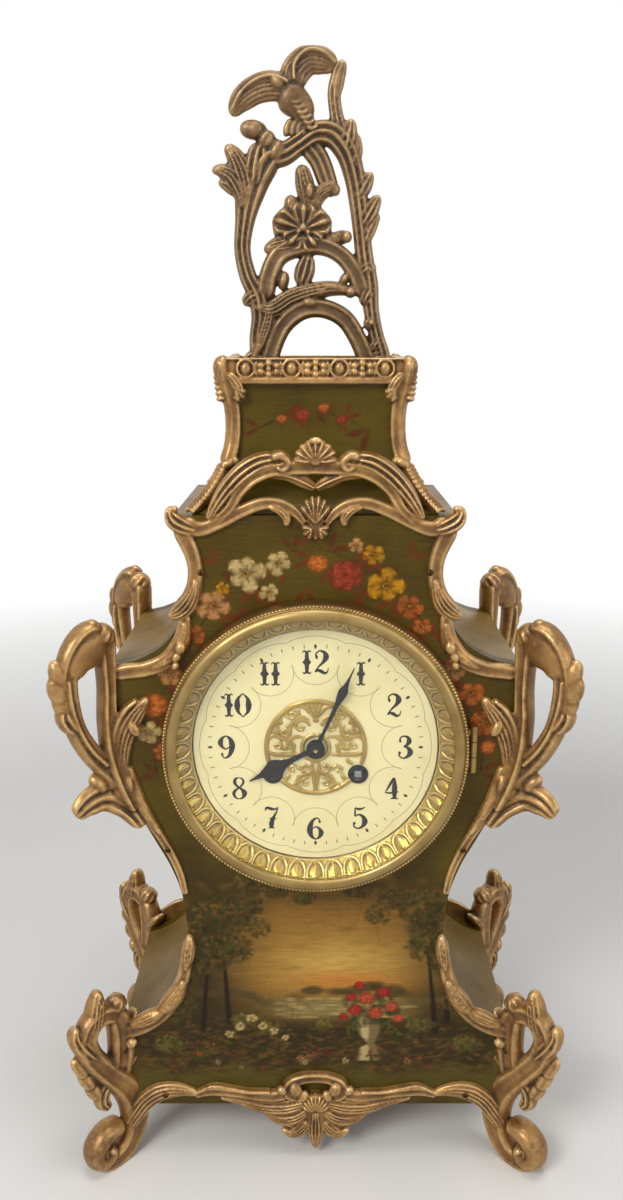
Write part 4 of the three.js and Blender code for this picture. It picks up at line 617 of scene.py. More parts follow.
class Section(Enum):
    """How the top of a chased bar is shaped across its width."""

    ROUND = "round"
    CHANNEL = "channel"
    RIB = "rib"
    LEAF3 = "leaf3"
    LEAF5 = "leaf5"
    LEAF7 = "leaf7"

    def height(self, across: Grid) -> Grid:
        """Height at places from -1 to 1 across the bar."""
        edge = np.abs(across)
        if self is Section.ROUND:
            return np.sqrt(np.clip(1 - edge ** 2.2, 0, 1))
        if self is Section.CHANNEL:
            return np.sqrt(np.clip(1 - edge ** 3.6, 0, 1)) * (0.78 + 0.22 * eased(edge, 0.2, 0.62))
        if self is Section.RIB:
            return np.sqrt(np.clip(1 - edge ** 4, 0, 1)) * (0.55 + 0.45 * np.exp(-(across / 0.26) ** 2))
        ridges = {Section.LEAF3: 3, Section.LEAF5: 5, Section.LEAF7: 7}[self]
        wave = np.abs(np.cos(across * ridges * math.pi / 2)) ** 0.55
        flip = 1 - np.abs(np.sin(across * ridges * math.pi / 2)) ** 3.0
        return np.sqrt(np.clip(1 - edge ** 2.8, 0, 1)) * (0.58 + 0.42 * np.maximum(flip, wave * 0.2))


@dataclass
class Shape:
    """Points and faces gathered piece by piece, in millimetres."""

    points: list[Grid] = field(default_factory=list)
    faces: list[tuple[int, ...]] = field(default_factory=list)
    count: int = 0

    def add(self, points: Grid, faces: Iterable[Sequence[int]]) -> "Shape":
        """Adds points, and faces that number them from zero."""
        self.points.append(np.asarray(points, float).reshape(-1, 3))
        self.faces.extend(tuple(i + self.count for i in face) for face in faces)
        self.count += len(self.points[-1])
        return self

    def all_points(self) -> Grid:
        """Every point as one table."""
        return np.vstack(self.points)

    def reflected(self, sign_x: int, sign_y: int) -> "Shape":
        """A copy mirrored across the middle planes."""
        faces = self.faces if sign_x * sign_y > 0 else [tuple(reversed(f)) for f in self.faces]
        return Shape([self.all_points() * (sign_x, sign_y, 1)], list(faces), self.count)

    def joined(self, other: "Shape") -> "Shape":
        """Adds another shape's points and faces."""
        return self.add(other.all_points(), other.faces)

    def rings(self, rings: Grid, looped: bool = False) -> "Shape":
        """Adds a skin over rings of equal length.

        Args:
            rings: Array of ring, point on the ring, and axis.
            looped: Whether the last ring joins the first; both ends get a lid otherwise.

        Returns:
            The shape itself.
        """
        rows, count = rings.shape[:2]
        faces = []
        for r in range(rows if looped else rows - 1):
            base, after = r * count, ((r + 1) % rows) * count
            faces.extend((base + k, base + (k + 1) % count, after + (k + 1) % count, after + k)
                         for k in range(count))
        if not looped:
            faces.append(tuple(range(count - 1, -1, -1)))
            faces.append(tuple((rows - 1) * count + k for k in range(count)))
        return self.add(rings.reshape(-1, 3), faces)

    def bar(self, rows: Sequence[Row], out: Row, section: Section = Section.CHANNEL, under: float = 1.0,
            rounding: tuple[float, float] = (1.0, 1.0), spacing: float = 0.8) -> "Shape":
        """Adds a chased bar along stations.

        Args:
            rows: Stations of x, y, z, half width and height.
            out: The direction that the bar's top faces.
            section: The shape of its top.
            under: The height of its underside as a share of its top's, shaped alike; 0 for a flat back.
            rounding: How far each end is rounded off, in half widths.
            spacing: About how far apart its rings lie.

        Returns:
            The shape itself.
        """
        table = smooth_rows(rows, spacing)
        path = table[:, :3]
        width, height = np.maximum(table[:, 3:4], 0.05), np.maximum(table[:, 4:5], 0.05)
        run = np.concatenate([[0.0], np.cumsum(np.linalg.norm(np.diff(path, axis=0), axis=1))])
        shrink = np.ones(len(run))
        for share, distance, size in ((rounding[0], run, width[0, 0]), (rounding[1], run[-1] - run, width[-1, 0])):
            if share > 0:
                reach = np.clip(distance / (size * share), 0.02, 1.0)
                shrink *= np.sqrt(1 - (1 - reach) ** 2)
        tangent = np.gradient(path, axis=0)
        facing = np.asarray(out, float) / np.linalg.norm(out)
        across = np.cross(tangent, facing)
        across /= np.maximum(np.linalg.norm(across, axis=1, keepdims=True), 1e-9)
        places = np.sin(np.linspace(-math.pi / 2, math.pi / 2, BAR_POINTS))
        top = section.height(places)
        if under > 0:
            u = np.concatenate([places, places[-2:0:-1]])
            v = np.concatenate([top, -top[-2:0:-1] * under])
        else:
            u = np.concatenate([places, places[::-4]])
            v = np.concatenate([np.maximum(top, 0.02), np.zeros(len(places[::-4]))])
        w, h = width * shrink[:, None], height * np.maximum(shrink[:, None], 0.3 if under == 0 else 0.05)
        rings = path[:, None, :] + across[:, None, :] * (w * u)[:, :, None] + facing * (h * v)[:, :, None]
        return self.rings(rings)

    def on_front(self, rows: Sequence[Row], section: Section, under: float = 0.0,
                 rounding: tuple[float, float] = (1.0, 1.0)) -> "Shape":
        """Adds a bar on the front board, from stations of x, z, half width and height."""
        stations = [(x, FRONT_Y - 0.1, z, width, height) for x, z, width, height in rows]
        return self.bar(stations, FRONT, section, under, rounding)

    def egg(self, centre: Row, radii: Row, lean: float = 0.0, ridges: int = 0, depth: float = 0.14) -> "Shape":
        """Adds an egg, with ridges along it if wanted.

        Args:
            centre: Its middle.
            radii: Its half sizes, with its long axis upright before leaning.
            lean: Turn about the front to back axis.
            ridges: How many ridges run round it.
            depth: How deep the furrows between them are, as a share of its radius.

        Returns:
            The shape itself.
        """
        up = np.linspace(0, math.pi, EGG_RINGS)[:, None]
        around = np.linspace(0, FULL_TURN, EGG_POINTS, endpoint=False)[None, :]
        swell = 1.0 - (depth * (1 - np.abs(np.cos(around * ridges / 2)) ** 0.6) if ridges else 0.0)
        x = np.sin(up) * np.cos(around) * swell * radii[0]
        y = np.sin(up) * np.sin(around) * swell * radii[1]
        z = -np.cos(up) * np.ones_like(around) * radii[2]
        x, z = x * math.cos(lean) + z * math.sin(lean), -x * math.sin(lean) + z * math.cos(lean)
        return self.rings(np.stack([x, y, z], axis=2) + np.asarray(centre, float))

    def fan(self, base: Row, tips: Sequence[Row], out: Row, width: float, height: float, bow: float) -> "Shape":
        """Adds lobes that spread from one place, as on a leaf or a shell.

        Args:
            base: Where the lobes start.
            tips: Where each lobe ends, and its size where it isn't 1.
            out: The direction that the fan faces.
            width: Half width of a lobe where it is widest.
            height: Its height there.
            bow: How far each lobe rises in its middle.

        Returns:
            The shape itself.
        """
        start, facing = np.asarray(base, float), np.asarray(out, float) / np.linalg.norm(out)
        for tip in tips:
            end = np.asarray(tip[:3], float)
            size = tip[3] if len(tip) > 3 else 1.0
            rows = []
            for share, wide, tall in ((0.0, 0.45, 0.8), (0.35, 0.75, 1.0), (0.7, 1.0, 1.0), (0.93, 0.8, 0.9),
                                      (1.0, 0.5, 0.7)):
                p = start + (end - start) * share + facing * bow * math.sin(share * math.pi)
                rows.append((*p, width * wide * size, height * tall * size))
            self.bar(rows, out, Section.RIB)
        return self

    def turned(self, profile: Sequence[Row], middle: Row, steps: int) -> "Shape":
        """Adds a closed profile of radius and depth, turned about an axis from front to back."""
        table = np.asarray(profile, float)
        turn = np.linspace(0, FULL_TURN, steps, endpoint=False)
        rings = np.stack([middle[0] + np.cos(turn)[:, None] * table[:, 0],
                          np.ones((steps, 1)) * table[:, 1],
                          middle[1] + np.sin(turn)[:, None] * table[:, 0]], axis=2)
        return self.rings(rings, looped=True)

    def mesh(self, name: str) -> bpy.types.Mesh:
        """The gathered shape as a mesh in metres."""
        made = bpy.data.meshes.new(name)
        made.from_pydata((self.all_points() * MM).tolist(), [], self.faces)
        made.update()
        return made

    def skin(self, name: str, angle: float) -> bpy.types.Mesh:
        """The shape as a mesh that faces outward, with creases above an angle."""
        made = self.mesh(name)
        outward(made)
        shaded(made, angle)
        return made


def outward(mesh: bpy.types.Mesh) -> None:
    """Turns every face of a mesh outward."""
    work = bmesh.new()
    work.from_mesh(mesh)
    bmesh.ops.remove_doubles(work, verts=work.verts, dist=1e-6)
    bmesh.ops.recalc_face_normals(work, faces=work.faces)
    work.to_mesh(mesh)
    work.free()


def smoothed(mesh: bpy.types.Mesh) -> None:
    """Shades a mesh smooth all over."""
    mesh.polygons.foreach_set("use_smooth", [True] * len(mesh.polygons))


def shaded(mesh: bpy.types.Mesh, angle: float) -> None:
    """Shades a mesh smooth, with creases at edges sharper than an angle in degrees."""
    smoothed(mesh)
    mesh.set_sharp_from_angle(angle=math.radians(angle))


def linked(name: str, data: bpy.types.ID) -> bpy.types.Object:
    """Makes an object and links it to the scene."""
    made = bpy.data.objects.new(name, data)
    bpy.context.scene.collection.objects.link(made)
    return made


def fused(name: str, shape: Shape, voxel: float, floor: bool = False) -> bpy.types.Mesh:
    """Melts overlapping pieces into one skin, as in a casting.

    Args:
        name: The mesh's name.
        shape: What is melted together.
        voxel: The fineness, in millimetres.
        floor: Whether it is cut flat at the floor.

    Returns:
        A new mesh with its relief stored for the finish.
    """
    rough = shape.mesh(name + "_rough")
    outward(rough)
    carrier = linked(name + "_rough", rough)
    change = carrier.modifiers.new("melt", "REMESH")
    change.mode, change.voxel_size, change.adaptivity = "VOXEL", voxel * MM, 0.0
    ease = carrier.modifiers.new("ease", "SMOOTH")
    ease.factor, ease.iterations = 0.5, 2
    ready = carrier.evaluated_get(bpy.context.evaluated_depsgraph_get())
    made = bpy.data.meshes.new_from_object(ready)
    made.name = name
    bpy.data.objects.remove(carrier)
    bpy.data.meshes.remove(rough)
    if floor:
        places = points_of(made)
        places[:, 2] = np.maximum(places[:, 2], 0.0)
        set_points(made, places)
    store_relief(made, 14, 0.6)
    smoothed(made)
    return made


def drilled(name: str, shape: Shape, holes: Sequence[Row], near: float, far: float) -> bpy.types.Mesh:
    """A piece with round holes through it from front to back.

    Args:
        name: The mesh's name.
        shape: The piece before its holes.
        holes: Radius, x and z of each hole.
        near: Where the holes start, in front of the piece.
        far: Where they end, behind it.

    Returns:
        The mesh with its holes.
    """
    carrier = linked(name, shape.mesh(name))
    outward(carrier.data)
    cutters = []
    for radius, x, z in holes:
        cutter = Shape().turned([(0.001, near), (radius, near), (radius, far), (0.001, far)], (x, z),
                                FINE_RIM if radius > WIDE_HOLE else PLAIN_RIM)
        made = linked(name + "_hole", cutter.mesh(name + "_hole"))
        outward(made.data)
        cut = carrier.modifiers.new("hole", "BOOLEAN")
        cut.operation, cut.object, cut.solver = "DIFFERENCE", made, "EXACT"
        cutters.append(made)
    ready = bpy.data.meshes.new_from_object(carrier.evaluated_get(bpy.context.evaluated_depsgraph_get()))
    ready.name = name
    for made in (carrier, *cutters):
        bpy.data.objects.remove(made)
    shaded(ready, 30.0)
    return ready


def points_of(mesh: bpy.types.Mesh) -> Grid:
    """A mesh's points."""
    flat = np.empty(len(mesh.vertices) * 3)
    mesh.vertices.foreach_get("co", flat)
    return flat.reshape(-1, 3)


def set_points(mesh: bpy.types.Mesh, places: Grid) -> None:
    """Moves a mesh's points."""
    mesh.vertices.foreach_set("co", places.ravel())
    mesh.update()


def store_relief(mesh: bpy.types.Mesh, rounds: int, scale: float) -> None:
    """Stores how far each point stands above or below the eased surface.

    Args:
        mesh: The mesh that gets the value "relief", where 0.5 is level.
        rounds: How many times the surface is eased.
        scale: The height in millimetres that counts as fully raised.
    """
    places = points_of(mesh)
    ends = np.empty(len(mesh.edges) * 2, np.int64)
    mesh.edges.foreach_get("vertices", ends)
    a, b = ends[0::2], ends[1::2]
    degree = np.maximum(np.bincount(ends, minlength=len(places)), 1)[:, None]
    eased_places = places.copy()
    for _ in range(rounds):
        total = np.stack([np.bincount(a, eased_places[b, k], len(places)) +
                          np.bincount(b, eased_places[a, k], len(places)) for k in range(3)], axis=1)
        eased_places = 0.35 * eased_places + 0.65 * total / degree
    normals = np.empty(len(places) * 3)
    mesh.vertices.foreach_get("normal", normals)
    lift = ((places - eased_places) * normals.reshape(-1, 3)).sum(axis=1) / (scale * MM)
    store = mesh.attributes.new("relief", "FLOAT", "POINT")
    store.data.foreach_set("value", np.clip(0.5 + 0.5 * lift, 0.0, 1.0).astype(np.float32))


def piece(name: str, mesh: bpy.types.Mesh, finish: Finish, body: str = "clock",
          stands_for: Sequence[str] = ()) -> None:
    """Makes one piece of the clock.

    Args:
        name: Its name.
        mesh: Its mesh, in place.
        finish: Its finish.
        body: The CAD body that it moves with.
        stands_for: CAD nodes that it takes the place of.
    """
    low, high = (np.array(end) for end in CAD_BOX)
    set_points(mesh, np.clip(points_of(mesh), low + BOX_MARGIN, high - BOX_MARGIN))
    made = linked(name, mesh)
    mesh.materials.clear()
    mesh.materials.append(finish.material())
    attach(made, body)
    if stands_for:
        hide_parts(*stands_for)
    LOG.info("%s: %d points", name, len(mesh.vertices))


def turned_copy(mesh: bpy.types.Mesh, sign_x: int, sign_y: int) -> bpy.types.Mesh:
    """A mesh mirrored across the clock's middle planes, facing outward."""
    copy = mesh.copy()
    set_points(copy, points_of(copy) * (sign_x, sign_y, 1))
    if sign_x * sign_y < 0:
        copy.flip_normals()
    return copy


def at_corners(mesh: bpy.types.Mesh, name: str, node: str) -> None:
    """Sets a gilt casting at all four corners.

    Args:
        mesh: The casting of the front right corner.
        name: The start of the pieces' names.
        node: The start of the names of the CAD nodes that they stand for.
    """
    for corner, sign_x, sign_y in CORNERS:
        piece(f"{name}_{corner}", turned_copy(mesh, sign_x, sign_y), GILT,
              stands_for=[f"{node}_{corner}"])


def dress_node(node: str, finish: Finish) -> None:
    """Gives a CAD node its finish."""
    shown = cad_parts[node]
    shown.data.materials.clear()
    shown.data.materials.append(finish.material())
    shaded(shown.data, 35.0)
    LOG.info("%s: carried over", node)


# Corner mounts


@dataclass
class CornerMount:
    """A casting that stands out from the case's edge on the diagonal, the same at all four corners.

    Args:
        half: Half width of the case where it stands.
        low: The height that a rise of 0 stands for.
        bar_size: Half width and height that a size of 1 stands for.
        least: The least reach forward.
        reach: How far out a reach of 1 is, sideways and forward.
        rise: How far up a rise of 1 is.
        voxel: The fineness of the casting.
    """

    half: float
    low: float
    bar_size: float
    least: float = -1.0
    reach: float = 20.0
    rise: float = 100.0
    voxel: float = 0.55

    def at(self, reach: float, rise: float, width: float, thick: float, aside: float = 0.0) -> Row:
        """A station on the mount's own slanting plane."""
        return (self.half + self.reach * reach + aside, FRONT_Y - self.reach * max(reach, self.least) + aside,
                self.low + self.rise * rise, self.bar_size * width, self.bar_size * thick)

    def slanted(self, shape: Shape, rows: Sequence[Row], section: Section, **options: object) -> None:
        """Adds a bar on the mount's own plane, from rows of reach, rise, width and thickness."""
        shape.bar([self.at(*row) for row in rows], DIAGONAL, section, **options)

    def openwork(self) -> Shape:
        """What stands out from the case."""
        raise NotImplementedError

    def straps(self) -> Shape:
        """What lies flat on the case."""
        raise NotImplementedError

    def cast(self, name: str, node: str, floor: bool) -> None:
        """Makes the casting once and sets it at all four corners.

        Args:
            name: The start of the pieces' names.
            node: The start of the names of the CAD nodes that they stand for.
            floor: Whether it is cut flat at the floor.
        """
        mesh = fused(node, self.openwork().joined(self.straps()), self.voxel, floor)
        keep_outside_case(mesh)
        at_corners(mesh, name, node)


@dataclass
class CornerHandle(CornerMount):
    """The openwork scroll handle at each shoulder: grip, corner bar, berries, leaves, straps and panel scroll."""

    half: float = 99.8
    low: float = 205.0
    bar_size: float = 5.5
    least: float = 0.06

    def openwork(self) -> Shape:
        """The grip, the corner bar and what grows on them."""
        shape = Shape()
        grip = [(-0.2, 0.17, 1.0, 0.8), (0.17, 0.26, 1.0, 0.8), (0.49, 0.38, 0.95, 0.8), (0.72, 0.51, 0.9, 0.8),
                (0.83, 0.65, 0.95, 0.82), (0.84, 0.78, 1.0, 0.9), (0.68, 0.89, 1.15, 1.0), (0.42, 0.955, 1.2, 1.1),
                (0.14, 0.965, 1.1, 1.15)]
        self.slanted(shape, grip, Section.CHANNEL)
        crown = [(0.0, 0.9, 1.4, 0.95), (0.34, 0.9, 1.85, 1.02), (0.62, 0.85, 1.6, 1.0), (0.78, 0.76, 0.8, 0.9)]
        self.slanted(shape, crown, Section.ROUND)
        ridge = [(0.2, 0.285, 0.3, 1.0), (0.52, 0.4, 0.3, 1.02), (0.76, 0.54, 0.32, 1.05), (0.87, 0.68, 0.34, 1.05),
                 (0.87, 0.78, 0.3, 0.9)]
        self.slanted(shape, ridge, Section.ROUND)
        corner = [(-0.45, 0.03, 0.6, 1.0), (-0.2, 0.17, 0.95, 1.05), (0.02, 0.33, 0.95, 1.0), (0.1, 0.5, 0.8, 1.0),
                  (0.08, 0.68, 0.7, 1.0), (0.08, 0.87, 0.95, 1.0), (0.1, 0.96, 1.05, 1.05)]
        self.slanted(shape, corner, Section.CHANNEL)
        curl = self.at(0.1, 0.93, 1, 1)
        shape.egg((curl[0], curl[1], curl[2] + 1.5), (6.8, 6.0, 5.6), lean=-0.7, ridges=9, depth=0.26)
        shape.egg(self.at(0.34, 0.985, 1, 1)[:3], (5.4, 4.6, 4.2), lean=0.9, ridges=7, depth=0.2)
        for reach, rise, size, tall in ((0.98, 0.795, 0.8, 1.5), (1.02, 0.725, 0.85, 1.35), (0.98, 0.655, 0.7, 1.2)):
            radii = (self.bar_size * size, self.bar_size * size * 0.9, self.bar_size * tall)
            shape.egg(self.at(reach, rise, 1, 1)[:3], radii, lean=0.25)
        leaf = [(0.72, 0.5, 0.5, 0.9), (0.84, 0.55, 0.9, 1.0), (0.92, 0.6, 0.8, 0.9), (0.9, 0.64, 0.3, 0.5)]
        self.slanted(shape, leaf, Section.LEAF3)
        for reach, rise, size, tall, lean in ((0.02, 0.205, 1.15, 1.6, 0.5), (0.3, 0.2, 0.9, 1.35, 0.75),
                                              (-0.2, 0.14, 0.95, 1.45, 0.3), (0.12, 0.14, 0.75, 1.2, 0.6),
                                              (-0.42, 0.17, 0.7, 1.3, 0.1)):
            x, y, z = self.at(reach, rise, 1, 1, 1.0)[:3]
            radii = (self.bar_size * size * 0.75, self.bar_size * size * 0.75, self.bar_size * tall * 0.75)
            shape.egg((x, y - 2.2, z), radii, lean=lean)
        tongue = [(-0.62, -0.06, 0.7, 0.8), (-0.2, 0.06, 1.25, 0.9), (0.2, 0.12, 1.5, 0.8), (0.56, 0.115, 1.4, 0.7),
                  (0.84, 0.07, 0.8, 0.5)]
        self.slanted(shape, tongue, Section.LEAF3, rounding=(1.0, 0.5))
        return shape

    def straps(self) -> Shape:
        """The flat-backed straps along the case's edge and the scroll on its front."""
        shape = Shape()
        shoulder = [(62.2, 312.0, 2.2, 2.2), (62.6, 303.0, 3.4, 2.9), (65.0, 294.5, 4.4, 3.3), (72.0, 286.0, 4.4, 3.1),
                    (82.0, 281.8, 4.0, 3.0), (92.0, 280.5, 4.0, 3.0), (97.5, 279.0, 3.6, 2.8)]
        shape.on_front(shoulder, Section.CHANNEL)
        leaf = [(62.0, 306.0, 1.6, 3.0), (63.4, 299.0, 3.0, 4.0), (67.0, 291.0, 3.2, 4.2), (73.5, 285.0, 2.6, 3.8),
                (80.0, 281.8, 1.2, 2.6)]
        shape.on_front(leaf, Section.LEAF5)
        for x, z, size in ((64.6, 293.0, 2.6), (66.6, 288.6, 2.2), (67.2, 284.4, 1.8)):
            shape.egg((x, FRONT_Y - 3.4, z), (size, 2.0, size * 1.25), lean=-0.5)
        waist = [(66.6, 160.0, 1.7, 2.2), (69.0, 172.0, 2.0, 2.4), (73.5, 184.0, 2.2, 2.6), (79.2, 195.0, 2.5, 2.8),
                 (84.6, 204.5, 3.2, 3.0), (88.6, 213.0, 4.0, 3.2), (92.0, 222.0, 4.4, 3.2), (94.0, 232.0, 3.4, 3.0)]
        shape.on_front(waist, Section.CHANNEL)
        grass = [(77.5, 194.5, 1.4, 3.2), (83.0, 203.0, 2.8, 3.9), (87.2, 211.0, 3.4, 4.3), (90.2, 217.0, 2.4, 3.6)]
        shape.on_front(grass, Section.LEAF5)
        stem = [(94.6, 218.0, 3.2, 3.0), (95.8, 230.0, 3.8, 3.4), (95.4, 241.0, 4.8, 4.0), (92.6, 251.0, 5.6, 4.6),
                (88.0, 259.0, 5.0, 4.6), (83.6, 264.4, 3.2, 3.8), (81.4, 267.4, 1.2, 2.4)]
        shape.on_front(stem, Section.LEAF5)
        spine = [(97.8, 224.0, 1.4, 3.8), (99.0, 240.0, 1.8, 4.6), (97.4, 252.0, 2.2, 5.2), (92.4, 261.6, 2.0, 5.0),
                 (86.4, 266.6, 1.2, 3.8)]
        shape.on_front(spine, Section.ROUND)
        shape.egg((88.4, FRONT_Y - 3.0, 252.0), (3.0, 2.6, 4.4), lean=0.5, ridges=6)
        return shape

    def build(self) -> None:
        """Makes the four handles."""
        self.cast("scroll_handle", "handle", floor=False)


@dataclass
class CornerFoot(CornerMount):
    """The scrolled foot at each lower corner, with its volute, openwork top, cheeks and flare strap."""

    half: float = 104.0
    low: float = 0.0
    bar_size: float = 6.0

    def openwork(self) -> Shape:
        """The S scroll, its volute and the open loop above it."""
        shape = Shape()
        scroll = [(0.06, 0.9, 0.8, 0.9), (0.34, 0.945, 0.95, 0.95), (0.62, 0.93, 1.0, 0.95),
                  (0.77, 0.85, 1.05, 0.92), (0.7, 0.74, 1.1, 0.92), (0.36, 0.585, 1.1, 0.95), (-0.02, 0.43, 1.3, 1.0),
                  (-0.2, 0.28, 1.4, 1.05), (-0.12, 0.13, 1.15, 1.0), (0.12, 0.05, 1.05, 0.98),
                  (0.42, 0.036, 0.95, 0.96), (0.64, 0.09, 0.85, 0.94), (0.6, 0.165, 0.7, 0.9),
                  (0.42, 0.165, 0.55, 0.86)]
        self.slanted(shape, scroll, Section.CHANNEL)
        spiral = [(0.1, 0.22, 0.5, 1.0), (0.26, 0.225, 0.75, 1.12), (0.5, 0.215, 0.9, 1.2), (0.72, 0.16, 0.85, 1.2),
                  (0.72, 0.09, 0.8, 1.15), (0.52, 0.06, 0.7, 1.1), (0.4, 0.1, 0.55, 1.1), (0.5, 0.135, 0.4, 1.1)]
        self.slanted(shape, spiral, Section.ROUND)
        cheek = [(0.2, 0.93, 0.9, 0.9), (0.06, 0.86, 1.15, 0.9), (0.04, 0.7, 1.12, 0.9), (0.1, 0.54, 1.3, 0.9)]
        self.slanted(shape, cheek, Section.CHANNEL)
        shape.egg(self.at(0.06, 0.965, 1, 1)[:3], (6.0, 5.4, 5.0), lean=-0.6, ridges=9, depth=0.24)
        bud = [(0.66, 0.86, 0.6, 0.9), (0.56, 0.95, 0.85, 1.0), (0.5, 1.03, 0.75, 0.9), (0.46, 1.1, 0.3, 0.5)]
        self.slanted(shape, bud, Section.LEAF5)
        lobe = [(0.62, 0.72, 0.5, 0.9), (0.86, 0.82, 0.8, 1.0), (0.98, 0.9, 0.6, 0.8), (0.96, 0.955, 0.25, 0.5)]
        self.slanted(shape, lobe, Section.LEAF3)
        for reach, rise, size, tall in ((0.93, 0.7, 0.6, 1.1), (0.8, 0.61, 0.7, 1.1), (0.66, 0.52, 0.75, 1.0),
                                        (0.54, 0.45, 0.6, 0.9)):
            radii = (self.bar_size * size, self.bar_size * size, self.bar_size * tall)
            shape.egg(self.at(reach, rise, 1, 1)[:3], radii, lean=0.5, ridges=5, depth=0.16)
        for rise in (0.82, 0.72, 0.62):
            barb = [(-0.06, rise - 0.05, 0.3, 0.9), (-0.2, rise, 0.45, 0.95), (-0.36, rise + 0.05, 0.2, 0.5)]
            self.slanted(shape, barb, Section.LEAF3)
        drop = [(0.3, 0.53, 0.7, 0.8), (0.48, 0.49, 0.8, 0.8), (0.5, 0.42, 0.7, 0.75), (0.36, 0.37, 0.4, 0.7)]
        self.slanted(shape, drop, Section.LEAF3)
        return shape

    def straps(self) -> Shape:
        """The cheeks, the flare strap and the leaf under the base, all flat on the case."""
        shape = Shape()
        flare = [(66.4, 134.0, 2.6, 2.6), (67.2, 124.0, 3.0, 2.8), (69.4, 112.0, 3.6, 3.0), (73.6, 101.0, 4.2, 3.2),
                 (80.0, 91.5, 4.6, 3.3), (88.5, 84.0, 4.6, 3.3), (98.0, 79.5, 4.4, 3.2), (104.0, 78.5, 3.6, 3.0)]
        shape.on_front(flare, Section.CHANNEL)
        tip = [(65.2, 137.0, 1.2, 2.6), (65.6, 131.0, 3.4, 5.0), (66.6, 124.0, 3.6, 5.2), (68.4, 116.0, 1.2, 3.2)]
        shape.on_front(tip, Section.LEAF5)
        middle = [(68.6, 111.0, 1.5, 3.4), (72.4, 103.4, 4.4, 5.6), (77.4, 96.4, 4.8, 5.8), (84.0, 89.5, 1.8, 3.6)]
        shape.on_front(middle, Section.LEAF7)
        lower = [(79.6, 92.4, 1.6, 3.8), (85.0, 89.4, 3.8, 5.6), (91.4, 86.0, 4.0, 5.4), (99.0, 82.4, 2.2, 3.6)]
        shape.on_front(lower, Section.LEAF5)
        cheek = [(101.6, 76.0, 3.4, 3.0), (101.4, 67.0, 4.4, 3.4), (103.0, 57.0, 4.2, 3.2), (104.2, 47.0, 3.6, 3.0),
                 (104.6, 38.0, 2.6, 2.8)]
        shape.on_front(cheek, Section.CHANNEL)
        shape.egg((98.4, FRONT_Y - 1.8, 72.0), (3.4, 2.6, 2.6), lean=0.5, ridges=6)
        under = [(103.0, 19.0, 4.6, 4.6), (97.6, 27.0, 5.0, 4.6), (91.6, 35.4, 5.4, 4.4), (84.0, 40.6, 5.6, 4.2),
                 (75.0, 42.0, 4.4, 3.8), (67.6, 40.6, 2.8, 3.0), (63.0, 38.6, 1.2, 2.0)]
        shape.on_front(under, Section.LEAF5)
        side = [(1.5, 80.0, 3.2, 2.8), (4.0, 63.0, 4.6, 3.2), (2.4, 50.0, 3.6, 3.0), (-0.4, 38.0, 2.4, 2.6)]
        shape.bar([(self.half + 0.2, FRONT_Y + back, z, width, height) for back, z, width, height in side], SIDEWAYS,
                  Section.CHANNEL, under=0)
        return shape

    def build(self) -> None:
        """Makes the four feet."""
        self.cast("scroll_foot", "foot", floor=True)


# Outline of the case


@dataclass(frozen=True)
class CaseOutline:
    """The waisted outline of the case seen from the front, in millimetres."""

    base_half: float = 104.0
    waist_half: float = 65.8
    shoulder_half: float = 99.8
    neck_half: float = 59.8
    ear_half: float = 66.5
    base: float = 32.0
    base_top: float = 76.0
    waist: float = 134.0
    shoulder: float = 283.0
    neck: float = 332.0
    ear: float = 352.0
    top: float = 356.5

    @staticmethod
    def run(low: Row, high: Row, shares: Sequence[Row], count: int) -> list[Row]:
        """One run of the outline as an even spline between two corners.

        Args:
            low: Half width and height that shares of 0 stand for.
            high: Half width and height that shares of 1 stand for.
            shares: The spline's points.
            count: How many points it gives.

        Returns:
            The points, without the last one.
        """
        rows = np.array([(low[0] + (high[0] - low[0]) * a, low[1] + (high[1] - low[1]) * b) for a, b in shares])
        out = []
        for i in range(count):
            place = (len(rows) - 1) * i / count
            n = int(place)
            t = place - n
            p0, p1 = rows[max(n - 1, 0)], rows[n]
            p2, p3 = rows[min(n + 1, len(rows) - 1)], rows[min(n + 2, len(rows) - 1)]
            v0, v1 = (p2 - p0) / 2, (p3 - p1) / 2
            out.append(tuple((2 * p1 - 2 * p2 + v0 + v1) * t ** 3 + (-3 * p1 + 3 * p2 - 2 * v0 - v1) * t ** 2
                             + v0 * t + p1))
        return out

    def right(self) -> Grid:
        """The right side, from the floor up."""
        points = self.run((0, self.base), (self.base_half, self.base_top),
                          [(0.895, 0), (0.955, 0.18), (0.985, 0.45), (1, 1)], 16)
        points += self.run((self.waist_half, self.base_top), (self.base_half, self.waist),
                           [(1, 0), (0.71, 0.07), (0.45, 0.2), (0.2, 0.43), (0.05, 0.68), (0, 1)], 36)
        points += self.run((self.waist_half, self.waist), (self.shoulder_half, self.shoulder),
                           [(0, 0), (0.07, 0.16), (0.226, 0.275), (0.447, 0.376), (0.68, 0.483), (0.86, 0.604),
                            (0.96, 0.745), (1, 0.88), (1, 1)], 56)
        points += self.run((self.neck_half, self.shoulder), (self.shoulder_half, self.neck),
                           [(1, 0), (0.68, 0.06), (0.38, 0.19), (0.18, 0.37), (0.07, 0.57), (0.013, 0.8), (0, 1)], 36)
        points += self.run((self.neck_half, self.neck), (self.ear_half, self.ear), [(0, 0), (0.3, 0.6), (1, 1)], 8)
        points += [(self.ear_half, self.ear), (self.ear_half, self.top)]
        return np.array(points)

    def width_at(self, height: Grid) -> Grid:
        """Half width of the case at a height."""
        table = self.right()
        order = np.argsort(table[:, 1], kind="stable")
        return np.interp(height, table[order, 1], table[order, 0])


OUTLINE = CaseOutline()


